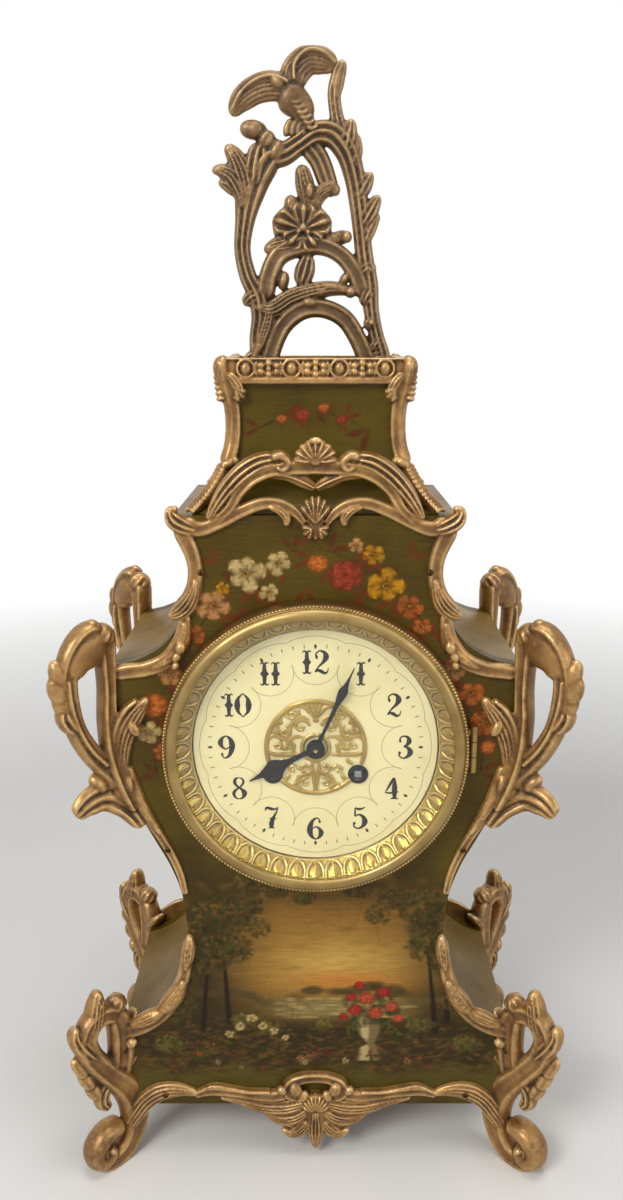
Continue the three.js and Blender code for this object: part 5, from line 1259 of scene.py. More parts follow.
def keep_outside_case(mesh: bpy.types.Mesh) -> None:
    """Sets the buried points of a mount just under the wood, so that it beds on the case."""
    places = points_of(mesh) / MM
    half = OUTLINE.width_at(places[:, 2])
    inside = (np.abs(places[:, 0]) < half - 0.4) & (np.abs(places[:, 1]) < -FRONT_Y - 0.4)
    inside &= (places[:, 2] > OUTLINE.base + 0.5) & (places[:, 2] < OUTLINE.top - 0.5)
    near_front = inside & (places[:, 1] < FRONT_Y + 8)
    places[near_front, 1] = np.minimum(places[near_front, 1], FRONT_Y + 0.4)
    set_points(mesh, places * MM)


# Mounts of the front board, the cap and the finial


def both_sides(shape: Shape) -> Shape:
    """A shape with its mirror image across the middle plane."""
    return shape.joined(shape.reflected(-1, 1))


class FrontMount:
    """A casting on the front board, the same on both sides of its middle."""

    voxel: float = 0.5

    def half(self) -> Shape:
        """The right half."""
        raise NotImplementedError

    def middle(self) -> Shape:
        """What stands in the middle."""
        raise NotImplementedError

    def cast(self, label: str) -> None:
        """Makes the casting that stands for the CAD node of a label."""
        mesh = fused(label, both_sides(self.half()).joined(self.middle()), self.voxel)
        keep_outside_case(mesh)
        piece(f"{label}_casting", mesh, GILT, stands_for=[f"{label}_mount"])


class CrestMount(FrontMount):
    """The mount over the dial: neck straps, two arches, rolled leaves, shell and middle leaf."""

    def half(self) -> Shape:
        """The right half."""
        shape = Shape()
        neck = [(63.6, 352.0, 4.6, 3.4), (60.4, 345.0, 4.2, 3.2), (57.4, 337.0, 3.8, 3.0), (56.6, 328.0, 3.7, 3.0),
                (58.6, 319.0, 4.2, 3.2), (62.4, 312.6, 5.0, 3.4), (67.6, 309.4, 3.0, 2.8)]
        shape.on_front(neck, Section.CHANNEL)
        leaf = [(56.4, 327.0, 1.3, 3.4), (57.8, 320.0, 3.6, 4.4), (61.4, 313.6, 4.9, 4.8), (66.2, 309.6, 4.0, 4.2),
                (70.0, 308.6, 1.6, 3.0)]
        shape.on_front(leaf, Section.LEAF5)
        low = [(62.6, 354.0, 4.8, 3.4), (54.8, 350.4, 3.9, 3.2), (45.0, 353.4, 3.4, 3.0), (35.0, 358.4, 3.2, 3.0),
               (24.0, 362.4, 3.1, 3.0), (15.0, 361.6, 2.8, 3.0), (8.6, 357.6, 2.4, 2.9), (4.6, 352.6, 1.6, 2.6)]
        shape.on_front(low, Section.CHANNEL)
        spray = [(22.0, 361.0, 1.2, 3.2), (16.6, 359.4, 2.4, 4.0), (13.4, 355.6, 2.3, 4.0), (13.8, 351.6, 1.2, 3.0)]
        shape.on_front(spray, Section.LEAF3)
        ear = [(55.0, 349.6, 2.6, 3.4), (61.0, 351.6, 4.4, 4.4), (66.0, 355.0, 4.4, 4.8), (67.4, 359.0, 2.2, 3.8),
               (63.6, 360.4, 1.2, 2.8)]
        shape.on_front(ear, Section.LEAF3)
        high = [(47.0, 353.4, 2.4, 3.0), (40.0, 360.0, 2.6, 3.4), (35.4, 367.4, 2.8, 3.8), (29.0, 373.6, 3.0, 4.2),
                (20.0, 377.4, 3.0, 4.2), (0.0, 378.8, 3.0, 4.2)]
        shape.on_front(high, Section.CHANNEL, rounding=(1.0, 0.0))
        crown = [(24.0, 379.4, 1.2, 3.6), (12.0, 381.0, 1.4, 4.4), (0.0, 381.4, 1.4, 4.4)]
        shape.on_front(crown, Section.ROUND, rounding=(1.0, 0.0))
        rolled = [(50.0, 354.6, 1.8, 3.2), (46.4, 361.4, 3.0, 4.2), (40.8, 369.4, 4.0, 5.0), (34.0, 376.4, 4.6, 5.6),
                  (26.0, 381.4, 4.4, 5.4), (18.0, 383.0, 3.6, 4.8)]
        shape.on_front(rolled, Section.LEAF3, under=0.3)
        curl = [(21.0, 383.6, 2.6, 5.0), (15.6, 384.4, 2.6, 5.2), (12.4, 381.4, 2.2, 5.0), (14.6, 378.2, 1.8, 4.8),
                (18.2, 379.4, 1.2, 4.6)]
        shape.on_front(curl, Section.ROUND)
        return shape

    def middle(self) -> Shape:
        """The brace, the shell above it and the leaf that hangs in the middle."""
        shape = Shape()
        for side in (-1, 1):
            brace = [(0.0, 369.4, 1.8, 3.6), (side * 5.0, 372.2, 3.0, 3.8), (side * 13.0, 375.2, 2.6, 3.8),
                     (side * 22.0, 375.6, 1.8, 3.4)]
            shape.on_front(brace, Section.RIB, rounding=(0.4, 1.0))
        tips = []
        for i in range(9):
            angle = math.radians(4 + 172 * i / 8)
            tips.append((10.2 * math.cos(angle), -54.2, 382.0 + 10.4 * math.sin(angle), 0.85 if i % 2 else 1.0))
        shape.fan((0.0, -54.0, 381.6), tips, FRONT, 1.9, 2.9, 1.6)
        shape.egg((0.0, -56.6, 391.6), (3.0, 1.8, 1.7), ridges=4)
        shape.egg((0.0, -55.6, 382.2), (3.4, 2.4, 2.2), ridges=6)
        leaf_tips = [(x, -54.6, z) for x, z in ((-6.4, 361.6), (-4.4, 364.6), (-1.6, 366.2), (1.6, 366.2),
                                                (4.4, 364.6), (6.4, 361.6))]
        shape.fan((0.0, -54.6, 353.0), leaf_tips, FRONT, 1.35, 2.6, 1.2)
        mask = [(0.0, 364.0, 3.0, 2.2), (0.0, 358.0, 3.6, 3.0), (0.0, 352.6, 3.8, 3.6), (0.0, 348.4, 2.6, 2.9),
                (0.0, 345.2, 0.9, 1.8)]
        shape.on_front(mask, Section.ROUND)
        for side in (-1, 1):
            shape.fan((side * 1.5, -54.8, 351.6), [(side * 5.6, -54.0, 347.8), (side * 6.4, -54.0, 351.4),
                                                   (side * 3.2, -54.0, 345.9)], FRONT, 1.2, 2.2, 0.8)
        return shape

    def build(self) -> None:
        """Makes the crest mount."""
        self.cast("crest")


class ApronMount(FrontMount):
    """The mount along the lower edge of the front, with its arch and hanging acanthus drop."""

    def half(self) -> Shape:
        """The right half: the band, the knot at its end and the leaves under it."""
        shape = Shape()
        band = [(66.0, 38.6, 2.0, 3.0), (58.0, 41.8, 3.0, 3.6), (46.0, 41.2, 3.2, 3.6), (34.0, 39.4, 3.2, 3.8),
                (24.0, 38.6, 3.6, 4.0), (14.0, 40.4, 3.8, 4.2)]
        shape.on_front(band, Section.CHANNEL)
        crest = [(62.0, 42.4, 1.0, 3.0), (55.0, 44.4, 2.0, 4.2), (46.0, 43.4, 1.6, 4.4), (36.0, 41.8, 1.3, 4.4),
                 (24.0, 41.6, 1.2, 4.4)]
        shape.on_front(crest, Section.LEAF3)
        knot = [(9.0, 37.0, 2.6, 4.4), (14.4, 41.0, 3.6, 4.8), (13.4, 46.6, 3.6, 4.8), (7.0, 50.0, 3.2, 4.6),
                (0.0, 50.8, 3.0, 4.4)]
        shape.on_front(knot, Section.CHANNEL, rounding=(1.0, 0.0))
        for x, z, size, lean in ((10.6, 44.4, 3.4, 0.5), (6.4, 40.4, 2.8, -0.4), (18.0, 44.0, 2.4, 0.9)):
            shape.egg((x, -56.0, z), (size, 2.6, size * 1.2), lean=lean, ridges=7)
        leaves = ([(5.0, 35.0, 3.0, 5.0), (16.0, 31.4, 5.2, 4.8), (28.0, 31.4, 4.4, 4.2), (40.0, 34.8, 2.8, 3.4),
                   (52.0, 37.4, 1.2, 2.4)],
                  [(4.0, 30.0, 3.0, 5.0), (12.0, 24.6, 4.8, 4.8), (20.0, 24.0, 3.8, 4.2), (28.0, 28.0, 1.6, 2.8)],
                  [(3.0, 24.0, 3.0, 5.0), (8.6, 16.6, 4.2, 4.8), (13.6, 14.2, 3.0, 3.8), (18.4, 17.0, 1.2, 2.4)])
        for leaf in leaves:
            shape.on_front(leaf, Section.LEAF5, under=0.2)
        return shape

    def middle(self) -> Shape:
        """The shell and the leaf that hangs from it."""
        shape = Shape()
        body = [(0.0, 41.0, 7.0, 3.4), (0.0, 32.0, 9.0, 4.0), (0.0, 22.0, 7.0, 4.2), (0.0, 12.0, 4.0, 3.8),
                (0.0, 5.0, 1.6, 2.6)]
        shape.on_front(body, Section.ROUND, under=0.2)
        tips = [(7.6 * math.cos(math.radians(a)), -55.0, 33.0 + 8.4 * math.sin(math.radians(a)))
                for a in range(10, 171, 20)]
        shape.fan((0.0, -55.4, 31.6), tips, FRONT, 1.7, 3.0, 1.2)
        drop = [(0.0, 31.0, 3.0, 5.6), (0.0, 20.0, 4.8, 6.0), (0.0, 11.0, 3.6, 5.0), (0.0, 3.8, 1.0, 2.6)]
        shape.on_front(drop, Section.LEAF5, under=0.2)
        return shape

    def build(self) -> None:
        """Makes the apron mount."""
        self.cast("apron")


@dataclass
class CapCorners:
    """The reeded corner mounts of the cap with their volutes and husk drops.

    Args:
        half_x: Half the cap's width.
        half_y: Half the cap's depth.
        voxel: The fineness of the casting.
    """

    half_x: float = 41.5
    half_y: float = 39.5
    voxel: float = 0.5

    def shape(self) -> Shape:
        """The front right corner."""
        shape = Shape()
        x, y = self.half_x, -self.half_y
        post = [(x + 1.8, y - 1.4, 379.6, 3.4, 2.6), (x - 0.6, y + 0.8, 388.0, 3.2, 2.4),
                (x - 1.4, y + 1.4, 398.0, 3.1, 2.4), (x - 0.8, y + 0.8, 407.0, 3.2, 2.6),
                (x + 0.8, y - 0.6, 414.0, 3.6, 3.0), (x + 2.0, y - 1.8, 420.0, 3.6, 3.0)]
        shape.bar([(px - 0.4, py + 0.4, pz, w * 0.7, h * 0.9) for px, py, pz, w, h in post], OFF_CORNER,
                  Section.ROUND)
        for out, aside, back in ((FRONT, -2.6, -0.6), (SIDEWAYS, 0.6, 2.6)):
            shape.bar([(px + aside, py + back, pz, w * 0.85, h * 0.75) for px, py, pz, w, h in post], out,
                      Section.CHANNEL, under=0.6)
        for i in range(7):
            z = 409.0 + i * 2.5
            swell = 1.0 + 0.25 * math.sin(math.pi * i / 6)
            out = x + 2.6 + 1.2 * i / 6
            shape.bar([(out - 0.6, y - 2.6, z + 0.8, 0.9, 1.6 * swell), (out + 0.2, y + 0.6, z, 1.0, 1.9 * swell),
                       (out, y + 3.8, z - 0.8, 0.8, 1.5 * swell)], SIDEWAYS, Section.ROUND)
        tuft = [(x - 0.6, y - 0.6, 414.0, 2.0, 2.6), (x + 1.6, y - 2.0, 420.0, 3.4, 3.2),
                (x + 2.0, y - 2.4, 426.0, 3.2, 2.8), (x + 0.4, y - 1.4, 429.0, 1.6, 1.8)]
        shape.bar(tuft, OFF_CORNER, Section.LEAF5)
        curl = [(x - 1.0, y - 1.8, 421.0, 2.0, 2.6), (x - 4.6, y - 1.8, 417.0, 2.6, 3.0),
                (x - 6.4, y - 1.6, 412.4, 2.4, 2.8), (x - 4.2, y - 1.4, 408.6, 1.4, 2.2)]
        shape.bar(curl, FRONT, Section.LEAF3, under=0.5)
        lobes = [(x - 8.6, y - 1.6, 409.4), (x - 6.2, y - 1.6, 407.8), (x - 9.6, y - 1.6, 412.0)]
        shape.fan((x - 4.4, y - 2.4, 414.6), lobes, FRONT, 1.4, 2.0, 0.6)
        foot = [(x - 3.6, y - 1.6, 381.6, 1.6, 2.2), (x - 0.4, y - 2.0, 379.4, 2.2, 2.6),
                (x + 3.2, y - 1.2, 379.0, 2.2, 2.6)]
        shape.bar(foot, FRONT, Section.ROUND, under=0.8)
        shape.egg((x - 3.4, y - 1.8, 380.6), (2.4, 2.2, 2.2), ridges=6)
        husk = [(42.4, -40.2, 378.4, 2.4, 2.4), (46.0, -42.2, 371.6, 3.4, 3.0), (50.0, -44.6, 365.6, 3.4, 3.0),
                (54.0, -46.8, 361.0, 2.6, 2.4), (57.6, -49.0, 357.4, 1.4, 1.6)]
        outward_up = (0.6, -0.6, 0.6)
        shape.bar(husk, outward_up, Section.ROUND)
        rows = smooth_rows(husk, 2.6)[:, :3]
        for here, ahead in zip(rows, rows[1:]):
            for side in (-1, 0, 1):
                tip = here + (ahead - here) * 1.3 + np.array(DIAGONAL) * side * 2.1 + (0.7, -0.7, 0.9)
                shape.fan(here + (0.6, -0.6, 0.8), [tuple(tip)], outward_up, 1.35, 1.5, 0.7)
        return shape

    def build(self) -> None:
        """Makes the casting once and sets it at all four corners."""
        at_corners(fused("cap_corner", self.shape(), self.voxel), "cap_mount", "cap_corner")


@dataclass
class CapGallery:
    """The moulded frame round the top of the cap, with its frieze of eggs and rosettes.

    Args:
        half_x: Half its width.
        half_y: Half its depth.
        low: The height that it starts at.
        voxel: The fineness of the casting.
    """

    half_x: float = 43.6
    half_y: float = 41.6
    low: float = 415.9
    voxel: float = 0.42

    def frame(self) -> Shape:
        """The plain moulding."""
        profile = [(-3.2, 0.0), (0.4, 0.0), (1.2, 0.7), (1.2, 2.4), (0.4, 3.2), (-0.6, 3.8), (-0.7, 10.2), (0.0, 10.8),
                   (0.7, 11.2), (0.7, 11.8), (-3.2, 11.8)]
        rings = []
        for angle in np.linspace(0, FULL_TURN, 4, endpoint=False) + math.pi / 4:
            x = math.copysign(self.half_x - 2, math.cos(angle))
            y = math.copysign(self.half_y - 2, math.sin(angle))
            for step in np.linspace(-0.5, 0.5, 5):
                lean = angle + step * math.pi / 2
                rings.append([(x + (2 + out) * math.cos(lean), y + (2 + out) * math.sin(lean), self.low + up)
                              for out, up in profile])
        return Shape().rings(np.array(rings), looped=True)

    def frieze(self) -> Shape:
        """The carved band of one side, facing the front and centred on the middle."""
        shape = Shape()
        y, z = -self.half_y + 0.4, self.low + 7.0
        for x, rosette in ((0, True), (-11, False), (11, False), (-21.5, True), (21.5, True), (-32, False),
                           (32, False)):
            if not rosette:
                shape.egg((x, y, z), (2.4, 1.9, 3.0))
                ring = [(x + 4.0 * math.cos(a), y, z + 4.0 * math.sin(a), 0.7, 1.5)
                        for a in np.linspace(0, FULL_TURN, 17)]
                shape.bar(ring, FRONT, Section.ROUND, rounding=(0, 0), spacing=0.9)
            else:
                for a in np.linspace(0, FULL_TURN, 6, endpoint=False) + 0.52:
                    spot = (x + 4.3 * math.cos(a), y, z + 2.5 * math.sin(a))
                    shape.egg(spot, (2.1, 1.7, 1.7), lean=a, ridges=4)
                shape.egg((x, y - 0.7, z), (1.2, 1.1, 1.2))
                for side in (-1, 1):
                    hook = [(x + side * 5.4, y, z + 3.4, 0.6, 1.3), (x + side * 6.2, y, z, 0.8, 1.5),
                            (x + side * 5.4, y, z - 3.4, 0.6, 1.3)]
                    shape.bar(hook, FRONT, Section.ROUND)
        for i in range(41):
            shape.egg((-40 + i * 2.0, y - 0.1, self.low + 11.3), (0.8, 0.8, 0.6))
        return shape

    def build(self) -> None:
        """Makes the casting with the frieze on all four sides."""
        shape = self.frame()
        side = self.frieze()
        points = side.all_points()
        shape.joined(side)
        shape.add(points * (-1, -1, 1), side.faces)
        gap = self.half_x - self.half_y
        for sign in (-1, 1):
            turned = np.stack([(-points[:, 1] + gap) * sign, points[:, 0] * 0.955 * sign, points[:, 2]], axis=1)
            shape.add(turned, side.faces)
        mesh = fused("gallery", shape, self.voxel)
        piece("gallery_casting", mesh, GILT, stands_for=["cap_gallery"])


@dataclass
class Finial:
    """The openwork finial: its branches and leaves, the blossom in its middle and the bird on top.

    Args:
        foot: The height that it stands at.
        swell: How much wider its bars are than their tables say.
        voxel: The fineness of the castings.
    """

    foot: float = 420.2
    swell: float = 1.3
    voxel: float = 0.55

    def rows(self, table: Sequence[Row], shift: float = 0.0) -> list[Row]:
        """Stations from x, z, half width, half depth."""
        return [(x, shift, z, w * self.swell, h) for x, z, w, h in table]

    def branches(self) -> Shape:
        """The legs, arches, stems and twig."""
        shape = Shape()
        stems = (
            [(-28.0, 424.0, 3.4, 4.6), (-28.6, 436.0, 3.2, 4.6), (-27.0, 447.0, 3.6, 4.8), (-28.4, 456.0, 3.6, 4.8),
             (-33.0, 466.0, 3.3, 4.4), (-35.4, 478.0, 3.1, 4.2), (-34.0, 491.0, 3.7, 4.2), (-31.6, 503.0, 5.4, 4.4),
             (-28.0, 513.0, 6.4, 4.6), (-22.0, 520.6, 6.0, 4.8), (-15.0, 521.2, 4.4, 4.8), (-8.0, 525.2, 3.8, 4.8),
             (0.0, 530.0, 4.2, 5.0), (8.0, 529.4, 4.6, 5.0), (14.6, 522.4, 4.4, 4.8), (18.6, 511.0, 3.9, 4.6),
             (20.8, 498.0, 3.5, 4.4), (22.4, 485.0, 3.3, 4.2), (24.0, 473.0, 3.4, 4.4), (26.4, 462.0, 3.3, 4.4),
             (27.4, 450.0, 3.0, 4.4), (30.0, 438.0, 2.9, 4.4), (33.0, 428.0, 3.2, 4.6), (33.6, 422.0, 3.4, 4.6)],
            [(-23.6, 422.0, 3.6, 5.0), (-21.0, 432.0, 3.4, 4.8), (-15.6, 443.0, 3.6, 4.8), (-6.0, 450.0, 3.6, 5.0),
             (4.0, 450.6, 3.5, 5.0), (14.0, 446.0, 3.5, 4.8), (21.0, 436.0, 3.4, 4.8), (26.6, 423.0, 3.6, 5.0)],
            [(-25.0, 455.0, 3.6, 5.2), (-22.6, 466.0, 3.7, 4.8), (-17.6, 475.4, 3.8, 4.8), (-8.0, 479.6, 4.0, 5.0),
             (4.0, 479.4, 3.3, 4.8), (13.0, 475.0, 3.2, 4.6), (19.6, 466.4, 3.3, 4.6), (23.4, 456.0, 3.4, 4.8)],
            [(-4.6, 526.0, 4.2, 3.2), (1.4, 519.0, 3.9, 3.0), (5.2, 510.0, 3.7, 3.0), (8.2, 502.0, 3.0, 3.0)],
            [(12.0, 529.0, 3.4, 4.0), (9.6, 539.0, 2.5, 3.2), (8.8, 548.0, 2.5, 3.0), (11.0, 556.0, 2.6, 3.0),
             (12.8, 561.6, 1.6, 2.2)],
        )
        for table in stems:
            arch = table in stems[1:3]
            shape.bar(self.rows(table), FRONT, Section.CHANNEL if arch else Section.LEAF3)
        leaves = (
            [(-31.0, 426.0, 1.4, 5.2), (-27.0, 434.0, 2.6, 5.6), (-23.6, 444.0, 3.0, 5.8), (-21.4, 454.0, 2.0, 5.2)],
            [(-30.0, 452.0, 1.6, 4.6), (-22.0, 450.0, 3.4, 5.8), (-12.0, 455.4, 3.6, 6.0), (-2.0, 458.6, 3.2, 5.8),
             (8.0, 460.0, 2.8, 5.6), (17.0, 459.0, 1.8, 4.6)],
            [(-35.0, 452.0, 1.8, 3.6), (-32.0, 455.4, 2.8, 4.6), (-27.4, 457.6, 2.4, 4.6)],
            [(-3.0, 476.0, 2.0, 4.4), (-5.0, 469.0, 3.8, 4.6), (-7.4, 461.0, 3.0, 4.8)],
            [(-34.0, 496.0, 2.0, 4.6), (-35.8, 505.0, 3.6, 5.0), (-40.0, 511.4, 3.6, 4.6), (-46.0, 513.8, 2.2, 3.4),
             (-49.4, 513.4, 0.9, 2.2)],
            [(-32.0, 500.0, 2.4, 5.0), (-34.4, 511.0, 4.0, 5.4), (-38.0, 519.4, 3.4, 4.6), (-42.4, 525.0, 1.6, 3.0)],
            [(-38.0, 503.0, 1.6, 3.6), (-42.0, 507.0, 2.2, 3.6), (-46.4, 508.8, 1.2, 2.4)],
            [(-30.0, 506.0, 3.0, 5.2), (-28.4, 517.0, 4.0, 5.4), (-26.0, 526.0, 3.4, 5.0)],
            [(14.0, 521.0, 2.2, 4.6), (15.6, 529.0, 3.3, 4.6), (17.0, 536.4, 1.6, 3.0)],
            [(17.0, 514.0, 1.8, 4.2), (19.4, 522.0, 2.4, 3.8), (19.8, 529.6, 1.0, 2.6)],
            [(19.6, 500.0, 2.0, 4.4), (23.4, 507.0, 3.0, 4.2), (26.8, 513.0, 1.4, 2.8)],
            [(22.0, 488.0, 2.0, 4.4), (26.0, 495.0, 3.2, 4.6), (30.4, 502.8, 1.6, 2.8)],
            [(23.4, 480.0, 1.8, 4.2), (26.6, 488.0, 2.4, 3.8), (30.6, 494.0, 1.0, 2.4)],
            [(22.0, 466.0, 1.8, 4.4), (25.6, 469.4, 2.9, 4.6), (27.8, 466.0, 2.0, 3.6)],
            [(23.0, 452.0, 2.2, 4.8), (26.4, 458.6, 2.6, 4.6), (28.6, 460.4, 1.4, 3.2)],
            [(26.0, 440.0, 1.6, 4.6), (27.0, 444.0, 2.6, 4.6), (28.4, 440.0, 1.4, 3.4)],
            [(28.0, 430.0, 1.6, 4.6), (30.6, 434.6, 2.4, 4.4), (33.4, 433.4, 1.2, 3.2)],
            [(-34.4, 423.4, 2.0, 4.0), (-31.0, 427.0, 3.0, 4.8), (-25.0, 427.4, 2.2, 4.6)],
            [(26.0, 424.6, 2.4, 4.8), (31.0, 427.4, 2.6, 4.6), (35.6, 424.0, 1.8, 3.8)],
            [(9.4, 544.0, 1.2, 3.0), (10.6, 552.0, 2.3, 3.2), (13.2, 561.0, 1.0, 2.2)],
        )
        for table in leaves:
            shape.bar(self.rows(table), FRONT, Section.LEAF3 if len(table) < 4 else Section.LEAF5)
        for x, z, rx, rz, lean, ridges in ((-29.4, 531.4, 6.8, 4.4, 0.1, 5), (-23.0, 527.0, 4.4, 4.4, 0.6, 6),
                                           (-18.4, 522.0, 4.6, 5.4, 0.5, 7), (-3.0, 453.4, 4.8, 3.2, 0.1, 0),
                                           (17.0, 458.4, 2.9, 3.0, 0.0, 0), (14.0, 464.4, 2.3, 3.0, 0.5, 4),
                                           (-15.6, 463.6, 2.9, 4.6, 0.2, 4), (2.4, 458.0, 4.6, 2.2, -0.3, 5),
                                           (27.2, 443.8, 2.1, 2.1, 0.0, 4)):
            shape.egg((x, -1.0, z), (rx, 4.6, rz), lean=lean, ridges=ridges)
        return shape

    def blossom(self) -> Shape:
        """The blossom that sits on the inner arch."""
        shape = Shape()
        petals = [
            [(-8.0, 493.0, 1.8, 4.0), (-11.4, 498.4, 2.8, 4.4), (-12.2, 503.0, 1.6, 3.0)],
            [(-3.4, 497.0, 2.2, 4.0), (-5.0, 507.0, 3.6, 4.2), (-7.0, 516.4, 2.2, 2.8)],
            [(-1.4, 496.0, 2.2, 4.0), (2.4, 503.4, 2.8, 4.2), (7.6, 506.0, 2.6, 3.8), (11.0, 502.8, 1.8, 3.0)],
            [(4.0, 482.0, 2.0, 4.0), (11.6, 483.4, 2.6, 4.0), (16.4, 484.6, 2.4, 3.6)],
            [(-10.0, 480.0, 2.4, 4.6), (-18.0, 479.6, 3.4, 4.8), (-25.0, 477.4, 1.6, 3.4)],
        ]
        for degrees, far in ((88, 14.4), (160, 15.6), (20, 14.6), (228, 12.0), (306, 12.4)):
            across, along = math.cos(math.radians(degrees)), math.sin(math.radians(degrees))
            sizes = ((0.1, 1.4, 4.6), (0.42, 4.2, 5.6), (0.76, 5.8, 6.8), (1.0, 3.6, 5.6))
            petals.append([(-6.0 + across * far * share, 487.0 + along * far * share * 0.9, wide, tall)
                           for share, wide, tall in sizes])
        for n, table in enumerate(petals):
            shape.bar(self.rows(table), FRONT, Section.LEAF5 if n < 5 else Section.LEAF3)
        for x, z, rx, rz in ((-2.8, 504.4, 2.4, 3.8), (15.0, 483.6, 2.6, 2.9), (-6.0, 487.6, 2.6, 2.4),
                             (-3.6, 485.6, 1.6, 1.6), (-8.2, 486.0, 1.6, 1.6)):
            shape.egg((x, -3.0, z), (rx, 3.2, rz), ridges=4, depth=0.08)
        return shape

    def bird(self) -> Shape:
        """The bird with spread wings."""
        shape = Shape()
        wings = (
            [(-12.0, 548.0, 4.2, 4.6), (-20.0, 550.4, 5.2, 3.6), (-28.0, 548.8, 5.0, 3.0), (-35.0, 544.0, 4.2, 2.6),
             (-39.6, 537.6, 1.8, 2.0)],
            [(-10.0, 548.0, 4.6, 4.6), (-9.4, 556.0, 5.4, 3.6), (-3.4, 561.4, 5.2, 3.0), (4.0, 560.8, 4.6, 2.8),
             (9.8, 557.6, 2.4, 2.2)],
        )
        for table in wings:
            shape.bar(self.rows(table), FRONT, Section.LEAF7)
            shape.bar(self.rows([(x, z + w * 0.72, 1.1, h * 1.25) for x, z, w, h in table]), FRONT, Section.ROUND)
        body = [(-17.0, 549.0, 3.6, 4.2), (-12.0, 545.6, 5.6, 5.4), (-7.0, 541.0, 5.0, 4.8), (-4.6, 536.0, 3.6, 4.2),
                (-1.6, 532.6, 1.8, 3.2)]
        shape.bar(self.rows(body), FRONT, Section.ROUND)
        for i in range(6):
            x, z = -9.0 + i * 1.5, 545.0 - i * 2.2
            shape.bar(self.rows([(x - 3.6, z - 1.6, 0.9, 5.0), (x, z - 2.6, 1.2, 5.8), (x + 3.2, z - 0.6, 0.8, 4.8)]),
                      FRONT, Section.ROUND)
        shape.egg((-17.6, -1.0, 551.6), (4.6, 4.4, 3.6), lean=0.7)
        beak = [(-20.4, 550.6, 1.6, 2.0), (-22.6, 549.0, 1.1, 1.4), (-24.0, 546.8, 0.5, 0.7)]
        shape.bar(self.rows(beak, -1.0), FRONT, Section.ROUND)
        for side in (-1, 1):
            shape.egg((-18.8, side * 3.7, 552.4), (0.8, 0.6, 0.8))
        for i in range(4):
            x = -13.4 + i * 2.8
            claw = [(x + 2.0, 536.0 - i * 0.4, 1.2, 2.6), (x, 532.0, 1.3, 3.0), (x - 0.8, 528.2, 1.0, 2.6)]
            shape.bar(self.rows(claw, -1.2), FRONT, Section.ROUND)
        return shape

    def build(self) -> None:
        """Makes the three castings."""
        for name, shape, node in (("finial_branches", self.branches(), "finial_frame"),
                                  ("finial_flower", self.blossom(), "finial_blossom"),
                                  ("finial_songbird", self.bird(), "finial_bird")):
            mesh = fused(name, shape, self.voxel)
            places = points_of(mesh)
            places[:, 2] = np.maximum(places[:, 2], self.foot * MM)
            set_points(mesh, places)
            piece(name, mesh, SHADED_FINIAL_GILT, stands_for=[node])


# Painting


class Canvas:
    """A painting laid over the lacquer: colour and cover on a fine grid of its own, in millimetres."""

    def __init__(self, left: float, right: float, low: float, high: float, cell: float = 0.5) -> None:
        """Starts with nothing painted.

        Args:
            left: The left edge.
            right: The right edge.
            low: The lower edge.
            high: The upper edge.
            cell: The size of one cell of the grid.
        """
        self.left, self.low, self.cell = left, low, cell
        self.x = np.arange(left, right, cell)
        self.z = np.arange(low, high, cell)
        self.colour = np.zeros((len(self.z), len(self.x), 3))
        self.cover = np.zeros((len(self.z), len(self.x)))
        self.chance = np.random.default_rng(11)

    def lay(self, box: Row, mask: Callable[[Grid, Grid], Grid], colour: Colour) -> None:
        """Lays a colour where a mask says, within a box of left, right, low and high."""
        i0, i1 = (int(max((v - self.left) / self.cell, 0)) for v in box[:2])
        j0, j1 = (int(max((v - self.low) / self.cell, 0)) for v in box[2:])
        part = (slice(j0, j1 + 1), slice(i0, i1 + 1))
        x, z = np.meshgrid(self.x[part[1]], self.z[part[0]])
        if not x.size:
            return
        share = np.clip(mask(x, z), 0.0, 1.0)
        over = share + self.cover[part] * (1 - share)
        mixed = np.asarray(colour) * share[..., None] + self.colour[part] * (self.cover[part] * (1 - share))[..., None]
        self.colour[part] = mixed / np.maximum(over, 1e-6)[..., None]
        self.cover[part] = over

    def dab(self, x: float, z: float, wide: float, tall: float, turn: float, colour: Colour,
            strength: float = 1.0, soft: float = 0.25) -> None:
        """Paints one oval dab."""
        reach = max(wide, tall) * (1 + soft)
        across, along = math.cos(turn), math.sin(turn)

        def mask(px: Grid, pz: Grid) -> Grid:
            u = ((px - x) * across + (pz - z) * along) / wide
            v = (-(px - x) * along + (pz - z) * across) / tall
            return np.clip((1 - np.hypot(u, v)) / soft, 0, 1) * strength

        self.lay((x - reach, x + reach, z - reach, z + reach), mask, colour)

    def stroke(self, places: Sequence[Row], width: float, colour: Colour, strength: float = 0.9) -> None:
        """Paints a curved stroke through places, thinner towards its end."""
        path = smooth_rows([(x, 0.0, z, 1.0, 1.0) for x, z in places], width * 0.8)
        for n, row in enumerate(path):
            fade = 1 - 0.6 * n / len(path)
            self.dab(row[0], row[2], width * fade, width * fade, 0.0, colour, strength, 0.5)

    def at(self, x: Grid, z: Grid) -> Grid:
        """The colour and cover at some places."""
        i = np.clip(((x - self.left) / self.cell).round().astype(int), 0, len(self.x) - 1)
        j = np.clip(((z - self.low) / self.cell).round().astype(int), 0, len(self.z) - 1)
        return np.concatenate([self.colour[j, i], self.cover[j, i][..., None]], axis=-1)


